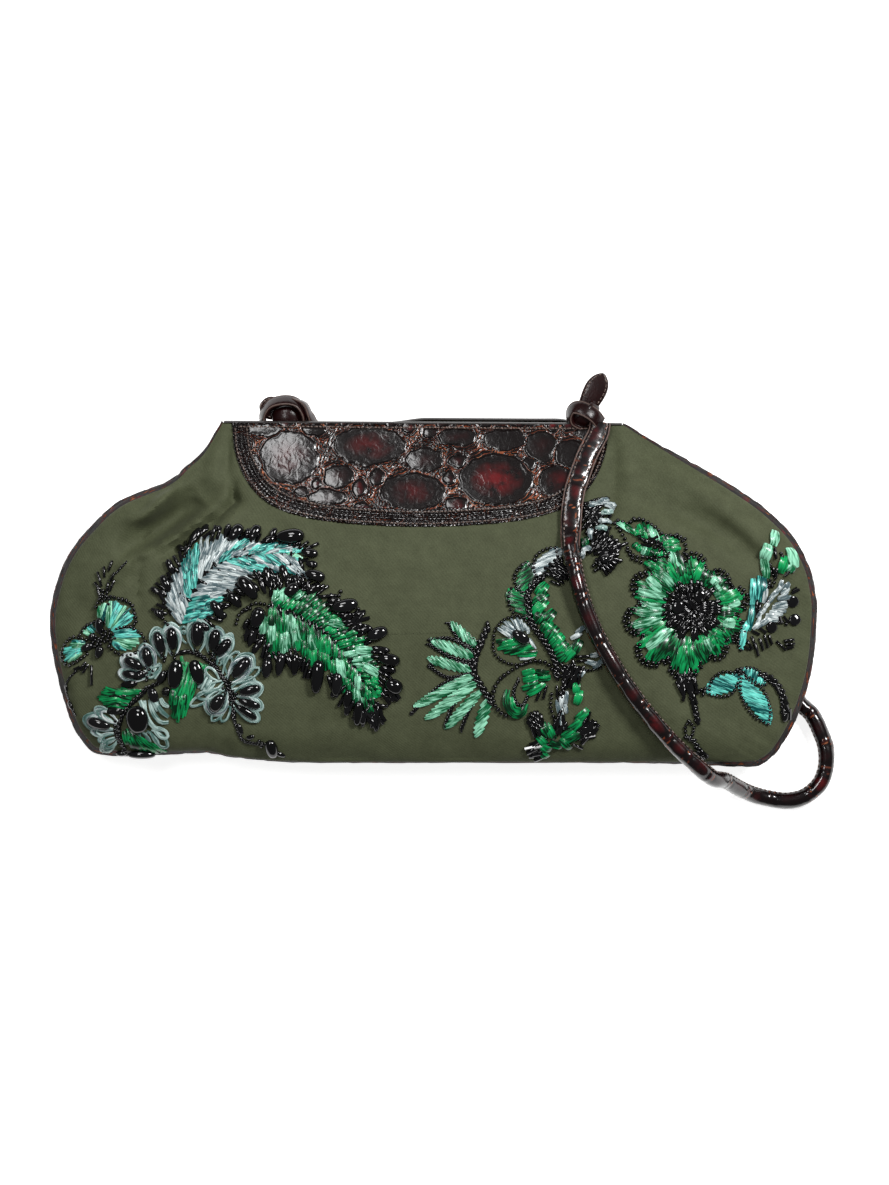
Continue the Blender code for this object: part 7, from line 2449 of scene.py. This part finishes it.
class RoundFlower(Motif):
    """Round flower: a bristling bugle heart, fat green ribbon petals and a scalloped bead rim."""

    node, slot = "round_flower", "green_ribbon"
    centre = (127.3, -9.1)
    petals = 10
    heart = 13.5
    heart_bugles = 132
    golden_turn = 2.399963

    def reach(self, turn: float) -> float:
        """How far the petals reach at an angle: farther down to the left than up to the right."""
        return 29.0 + 4.6 * math.cos(turn - math.radians(215)) + 1.5 * math.sin(turn * 3 + 1.0)

    def spot(self, reach: float, turn: float) -> tuple[float, float]:
        """The place at a distance and angle from the middle."""
        return self.centre[0] + reach * math.cos(turn), self.centre[1] + reach * math.sin(turn)

    def sew(self) -> None:
        """Sew petals from the heart outwards, the rim and the heart."""
        spread = 2 * math.pi / self.petals
        for number in range(self.petals):
            middle = spread * (number + 0.35 + self.chance.uniform(-0.1, 0.1))
            reach = self.reach(middle) + self.chance.uniform(-1.2, 1.6)
            for k, lean in enumerate((-0.44, 0.44, -0.26, 0.26, 0.0, -0.14, 0.12)):
                turn, on_top = middle + lean * spread, k > 4
                out = reach * (1 - 0.95 * lean**2) - 0.2 - on_top * self.chance.uniform(2.0, 5.0)
                pale = self.chance.uniform() < (0.55 if on_top else 0.08)
                start = self.heart + on_top * self.chance.uniform(1.0, 4.0)
                twist = self.chance.uniform(-0.07, 0.07) + lean * spread * 0.3
                self.ribbon([self.spot(start, turn), self.spot((start + out) / 2, turn + twist * 0.3),
                             self.spot(out, turn + twist)], self.chance.uniform(3.8, 5.8),
                            Raffia.MINT if pale else Raffia.EMERALD, self.chance.uniform(1.2, 2.0),
                            0.4 + on_top * 0.9)
            rim = [self.spot(reach * (1.0 - 0.8 * abs(lean) ** 2.0) - 0.6, middle + lean * spread)
                   for lean in np.linspace(-0.5, 0.5, 7)]
            self.beads(rim, 2.4)
            self.beads([self.spot(math.dist(place, self.centre) + 2.1, math.atan2(
                place[1] - self.centre[1], place[0] - self.centre[0])) for place in rim[1:-1]], 2.3)
            self.beads([self.spot(r, middle + spread / 2) for r in (17.0, 21.0, reach * 0.86)], 1.9)
        for k in range(self.heart_bugles):
            turn = k * self.golden_turn
            near, far = ((0.5, 8.5), (5.0, 12.8), (8.5, 15.8))[k % 3]
            lean = self.chance.uniform(-0.3, 0.3)
            self.bugle(self.spot(near, turn), self.spot(far, turn + lean), 1.9)
        self.drop((120.5, -7.7), 15, 6.8, 6.2, 2.6, lift=1.6, rings=10, sides=18)
        self.drop((131.1, -2.3), 60, 6.8, 5.8, 2.6, lift=1.6, rings=10, sides=18)
        for place in ((130.2, -9.1), (123.0, 0.6), (134.7, -13.5), (127.3, -18.0), (119.0, -19.5),
                      (132.0, -4.5), (125.0, -13.0)):
            self.bead(place, 2.4, lift=2.4)


class FlowerBud(Motif):
    """Half-open bud above the round flower, and the ribbons that join them."""

    node, slot, bends = "flower_bud", "green_ribbon", True

    def sew(self) -> None:
        """Sew petals, heart, rim and joining ribbons."""
        green, mint = Raffia.EMERALD, Raffia.MINT
        self.fan([(100.1, 28.8), (97.2, 30.0)], [(93.0, 33.3), (90.1, 34.1)], 5, 2.4, (green, mint))
        self.fan([(101.3, 27.1), (107.1, 26.3), (111.3, 24.2)], [(98.8, 30.8), (103.0, 34.1), (108.8, 30.8)],
                 9, 2.8, (green, green, mint), 1.2)
        self.fan([(111.3, 25.0), (112.9, 21.7)], [(115.4, 27.5), (121.2, 24.2), (122.0, 20.1)], 8, 2.8,
                 (green,), 1.2)
        self.fan([(101.3, 23.4), (109.6, 20.9), (112.9, 20.1)], [(98.0, 21.7), (103.8, 18.4), (113.7, 16.7)],
                 10, 2.7, (green, mint, green, green), 1.2)
        for raffia, line in (
                (mint, [(115.4, 20.9), (117.9, 16.7), (118.7, 9.3)]),
                (green, [(118.7, 20.9), (121.2, 15.1), (123.7, 6.0)]),
                (mint, [(117.1, 18.4), (121.2, 11.8), (127.4, 6.8)]),
                (green, [(105.5, 15.1), (110.4, 10.9), (113.7, 7.6)]),
                (green, [(109.6, 15.9), (114.6, 12.6), (117.1, 8.4)]),
                (green, [(103.8, 14.3), (107.1, 12.6), (111.3, 10.9)])):
            self.ribbon(line, 3.6, raffia, 1.5)
        for start, end in (((100.9, 26.7), (106.3, 24.2)), ((103.0, 25.0), (108.8, 23.4)),
                           ((106.3, 26.7), (109.6, 24.2)), ((102.1, 23.0), (107.1, 22.1)),
                           ((108.8, 22.1), (112.1, 23.8)), ((99.7, 27.5), (103.4, 27.9)),
                           ((107.9, 25.9), (110.8, 27.1))):
            self.bugle(start, end, 1.8)
        self.heap((111.3, 22.1), 3.2, 9)
        for line in ([(89.3, 33.7), (91.4, 35.0), (95.9, 33.3), (98.0, 35.0), (102.1, 35.8), (108.8, 32.1),
                      (113.7, 27.9), (118.7, 27.5), (123.7, 24.2), (124.1, 20.1), (122.0, 17.2)],
                     [(89.3, 33.7), (92.2, 29.2), (94.7, 25.0), (95.9, 20.9), (98.8, 17.6), (104.6, 16.7),
                      (109.6, 15.5)],
                     [(95.5, 20.1), (98.0, 16.3), (102.1, 14.7)], [(98.8, 35.8), (103.4, 35.0)],
                     [(120.0, 27.9), (123.7, 25.9)]):
            self.beads(line, 2.2)


class RibbonSprig(Motif):
    """Sprig at the right end: folded ribbons, aqua and silver stitches, dull sequins and bugles."""

    node, slot, bends = "ribbon_sprig", "aqua_ribbon", True

    def sew(self) -> None:
        """Sew ribbons, feather and glass."""
        aqua, silver, mint = Raffia.AQUA, Raffia.SILVER, Raffia.MINT
        for line, wide, raffia in (
                ([(168.6, 29.2), (167.8, 23.4)], 4.6, mint), ([(165.1, 22.5), (163.9, 15.9)], 5.6, mint),
                ([(163.9, 16.7), (164.3, 7.6)], 4.2, mint), ([(175.9, 20.5), (178.4, 12.6)], 5.6, mint),
                ([(173.0, 16.7), (171.8, 10.1)], 4.4, Raffia.EMERALD),
                ([(177.6, 13.4), (175.1, 10.1)], 4.0, mint), ([(157.7, 5.1), (157.4, -5.2)], 3.0, aqua),
                ([(160.6, 6.4), (159.8, -4.0)], 2.4, aqua), ([(163.1, 6.0), (162.2, -4.0)], 3.2, aqua),
                ([(164.3, 2.6), (163.1, -4.8)], 2.2, silver), ([(157.3, -8.1), (155.6, -18.1)], 3.2, aqua),
                ([(155.2, -15.6), (152.3, -20.6)], 3.0, aqua), ([(153.1, -18.1), (151.9, -27.6)], 3.0, aqua)):
            (x, y), (end_x, end_y) = line
            more_x, more_y = 0.12 * (end_x - x), 0.12 * (end_y - y)
            self.ribbon([(x - more_x, y - more_y), (end_x + more_x, end_y + more_y)], wide * 1.15, raffia,
                        1.2)
        self.fan([(157.3, -18.5), (161.0, -12.3), (165.1, -5.6), (170.1, 1.0)],
                 [(160.6, -14.8), (163.9, -7.3), (169.3, -0.7), (173.4, 6.0)], 9, 2.6, (silver,), 1.2)
        self.fan([(159.3, -18.1), (165.1, -11.4), (169.3, -5.6), (172.6, 1.0)],
                 [(163.5, -13.9), (172.6, -13.1), (175.5, -4.8), (175.9, 4.3)], 13, 2.8, (silver,), 1.2)
        for start, end in (
                ((166.0, -3.2), (161.8, -10.6)), ((159.8, -4.0), (158.9, -11.4)),
                ((161.4, -5.6), (160.2, -12.3)), ((168.5, 21.7), (168.9, 15.9)),
                ((166.8, 14.3), (166.0, 8.4)), ((168.0, 12.6), (169.3, 7.6)), ((170.1, 11.8), (169.3, 6.8)),
                ((176.7, 9.3), (178.8, 12.2)), ((173.4, 7.6), (175.9, 10.1)),
                ((152.7, -27.2), (156.0, -28.9)), ((154.4, -23.9), (157.3, -28.9)),
                ((156.9, -22.2), (159.3, -28.9)), ((158.5, -25.5), (160.2, -32.2)),
                ((160.6, -23.1), (162.7, -29.3)), ((162.7, -21.4), (165.1, -28.0)),
                ((165.1, -21.4), (167.2, -26.4)), ((156.9, -19.7), (161.0, -21.4)),
                ((160.6, -18.1), (164.3, -20.6)), ((169.3, -24.7), (174.3, -29.3)),
                ((173.0, -24.7), (178.4, -23.9)), ((173.4, -26.4), (178.8, -26.0)),
                ((174.3, -28.0), (178.0, -27.6)), ((176.7, -0.7), (180.9, 1.0)), ((177.2, 0.6), (179.7, 1.8)),
                ((173.0, -12.3), (175.5, -15.6)), ((170.5, -12.3), (171.8, -15.6)),
                ((165.1, 1.0), (166.4, 6.0))):
            self.bugle(start, end, 1.6)
        for place in ((177.6, -5.0), (178.6, -14.1), (167.0, -17.7)):
            self.drop(place, 30, 6.0, 5.8, 1.6, rings=10, sides=18)
        self.beads([(171.4, 18.8), (172.6, 18.8), (172.2, 17.2)], 2.2)
        self.beads([(166.8, 10.1), (168.9, 6.0), (167.2, 2.6)], 2.0)
        self.beads([(170.5, -15.2), (172.2, -15.2), (174.3, -16.0), (175.9, -14.8)], 2.0)
        self.beads([(148.6, -21.4), (150.6, -26.4), (151.5, -28.9)], 2.0)


class AquaLeaves(Motif):
    """Three aqua leaves in seed-bead outlines, and a drooping black stem beside them."""

    node, slot = "aqua_leaves", "aqua_ribbon"

    def sew(self) -> None:
        """Sew leaves and stem."""
        aqua = Raffia.AQUA
        self.leaf((150.4, -41.3), (136.1, -50.8), 10.2, (aqua,), 1.9, lean=0.9, outline=1.9, blunt=0.55)
        self.leaf((152.3, -41.1), (165.1, -65.7), 9.8, (aqua,), 1.9, lean=-0.8, outline=1.9)
        self.leaf((152.7, -38.1), (163.9, -46.1), 5.4, (aqua,), 1.8, outline=1.8)
        self.cord([(161.4, -40.9), (166.8, -43.4), (171.4, -48.7), (173.4, -54.6), (174.3, -61.2)], 2.8)
        self.cord([(163.1, -42.1), (168.5, -46.3), (172.2, -52.9), (172.6, -60.4)], 2.2)
        for start, end in (((171.8, -51.2), (175.1, -56.2)), ((173.0, -55.0), (175.5, -59.9)),
                           ((172.2, -57.9), (173.0, -63.7)), ((175.1, -57.9), (175.9, -63.7)),
                           ((165.1, -42.1), (168.5, -44.6)), ((168.5, -46.3), (170.9, -50.8))):
            self.bugle(start, end, 1.9)
        self.drop((173.6, -62.0), 80, 5.4, 3.4)
        self.heap((150.6, -39.6), 2.0, 5)


class FlowerStem(Motif):
    """Black stem under the round flower: bugles above, a small bud below."""

    node, slot = "flower_stem", "black_bead"

    def sew(self) -> None:
        """Sew bugles, stem and bud."""
        for start, end in (((121.2, -40.9), (120.4, -45.4)), ((122.9, -42.1), (122.0, -49.6)),
                           ((123.7, -47.1), (122.9, -54.6)), ((125.4, -42.1), (126.2, -47.9)),
                           ((127.4, -42.1), (128.3, -46.3)), ((126.2, -48.7), (127.4, -55.4)),
                           ((127.4, -49.6), (129.9, -56.2)), ((128.7, -56.2), (129.9, -62.8)),
                           ((127.4, -55.0), (128.7, -60.4)), ((129.5, -62.0), (130.7, -66.2)),
                           ((121.2, -47.9), (123.7, -52.9))):
            self.bugle(start, end, 1.8)
        self.cord([(124.5, -42.1), (126.6, -49.6), (128.8, -57.9), (130.2, -64.5)], 2.6)
        self.thicket((124.8, -45.5), 4.6, 14, -80.0, 22.0, 8.0)
        self.beads([(125.8, -64.1), (124.1, -67.8), (124.9, -71.5), (127.8, -73.6)], 1.9)
        self.beads([(126.2, -64.5), (128.3, -67.4), (127.7, -71.1)], 1.9)
        self.cord([(124.9, -72.0), (128.7, -74.4), (130.7, -77.8), (134.1, -81.9)], 2.2)
        for start, end in (((128.7, -76.9), (131.2, -78.6)), ((131.2, -78.6), (133.6, -83.6)),
                           ((132.0, -77.8), (135.3, -81.9)), ((129.9, -78.6), (131.2, -81.9))):
            self.bugle(start, end, 1.5)
        self.heap((132.8, -49.6), 2.2, 5)


MOTIFS = (AquaFrond, GreenFrond, EndFlower, PebbleFlowerHigh, PebbleFlowerLow, BeadTail, FanSprig,
          ScrollSprig, BugleSpray, RoundFlower, FlowerBud, RibbonSprig, AquaLeaves, FlowerStem)


@dataclass
class Studio:
    """Pale sweep, soft lights and the camera straight above the bag."""

    frame_height: float = 0.5925
    distance: float = 8.0
    centre: tuple[float, float] = (0.0045, -0.0005)

    def build(self) -> None:
        """Set up floor, light and camera."""
        self.build_camera()
        self.build_floor()
        self.build_light()
        bpy.context.scene.view_settings.view_transform = "Standard"

    def build_camera(self) -> None:
        """Look straight down on the bag, with a long lens."""
        lens = bpy.data.cameras.new("camera")
        lens.sensor_width = 36.0
        lens.lens = lens.sensor_width * self.distance / self.frame_height
        lens.clip_end = 50.0
        camera = bpy.data.objects.new("camera", lens)
        camera.location = (*self.centre, self.distance)
        bpy.context.scene.collection.objects.link(camera)
        bpy.context.scene.camera = camera

    def build_floor(self) -> None:
        """Lay a wide matt paper sheet under the bag."""
        half, level = 6.0, -0.0003
        mesh = bpy.data.meshes.new("paper_sweep")
        mesh.from_pydata([(-half, -half, level), (half, -half, level), (half, half, level),
                          (-half, half, level)], [], [(0, 1, 2, 3)])
        floor = bpy.data.objects.new("paper_sweep", mesh)
        bpy.context.scene.collection.objects.link(floor)
        mesh.materials.append(PAPER.build())

    def build_light(self) -> None:
        """Hang a softbox overhead, one beyond the mouth and one to the right, and soft light all round."""
        for name, place, size, power in (("softbox_over", (-0.62, 0.35, 2.6), 0.4, 12.0),
                                         ("softbox_mouth", (-0.27, 0.67, 0.95), 0.30, 3.1),
                                         ("softbox_right", (1.6, 1.3, 2.3), 0.7, 75.0)):
            lamp = bpy.data.lights.new(name, "AREA")
            lamp.shape = "SQUARE"
            lamp.size = size
            lamp.energy = power
            box = bpy.data.objects.new(name, lamp)
            box.location = place
            box.visible_camera = False
            box.rotation_euler = (Vector(place)).to_track_quat("Z", "Y").to_euler()
            bpy.context.scene.collection.objects.link(box)
        world = bpy.data.worlds.new("soft_room")
        bpy.context.scene.world = world
        world.use_nodes = True
        world.node_tree.nodes.clear()
        air = add_node(world.node_tree, "ShaderNodeBackground",
                       {"Color": linear("#ffffff"), "Strength": 0.11})
        add_node(world.node_tree, "ShaderNodeOutputWorld", {"Surface": air})


def dress_base_board() -> None:
    """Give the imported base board, which lies under the lining, its finish."""
    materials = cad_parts["base_board"].data.materials
    materials.clear()
    materials.append(BASE_BOARD.build())
    LOG.info("base_board: %s", BASE_BOARD.name)


def main() -> None:
    """Build the bag piece by piece."""
    logging.basicConfig(level=logging.INFO, format="%(message)s")
    Studio().build()
    form = BagForm()
    cut = YokeCut(form)
    layers = Layers(form)
    knots = [Knot("right", Side.FRONT, (0.0735, 0.0882, 0.0300), 63.0, 0.0725, reach=0.0228),
             Knot("left", Side.BACK, (-0.0740, 0.0898, 0.0230), 168.0, -0.0740, reach=0.0140)]
    tied = [knot.build() for knot in knots]
    Strap().build(tied)
    for knot in knots:
        knot.build_tab(form, layers)
    cloth = FabricShell(form, cut).build()
    Gusset(form).build()
    Yokes(form, cut, layers).build()
    MouthInside(form, cut, layers).build()
    dress_base_board()
    for motif in MOTIFS:
        motif(cloth).finish()


if __name__ == "__main__":
    main()
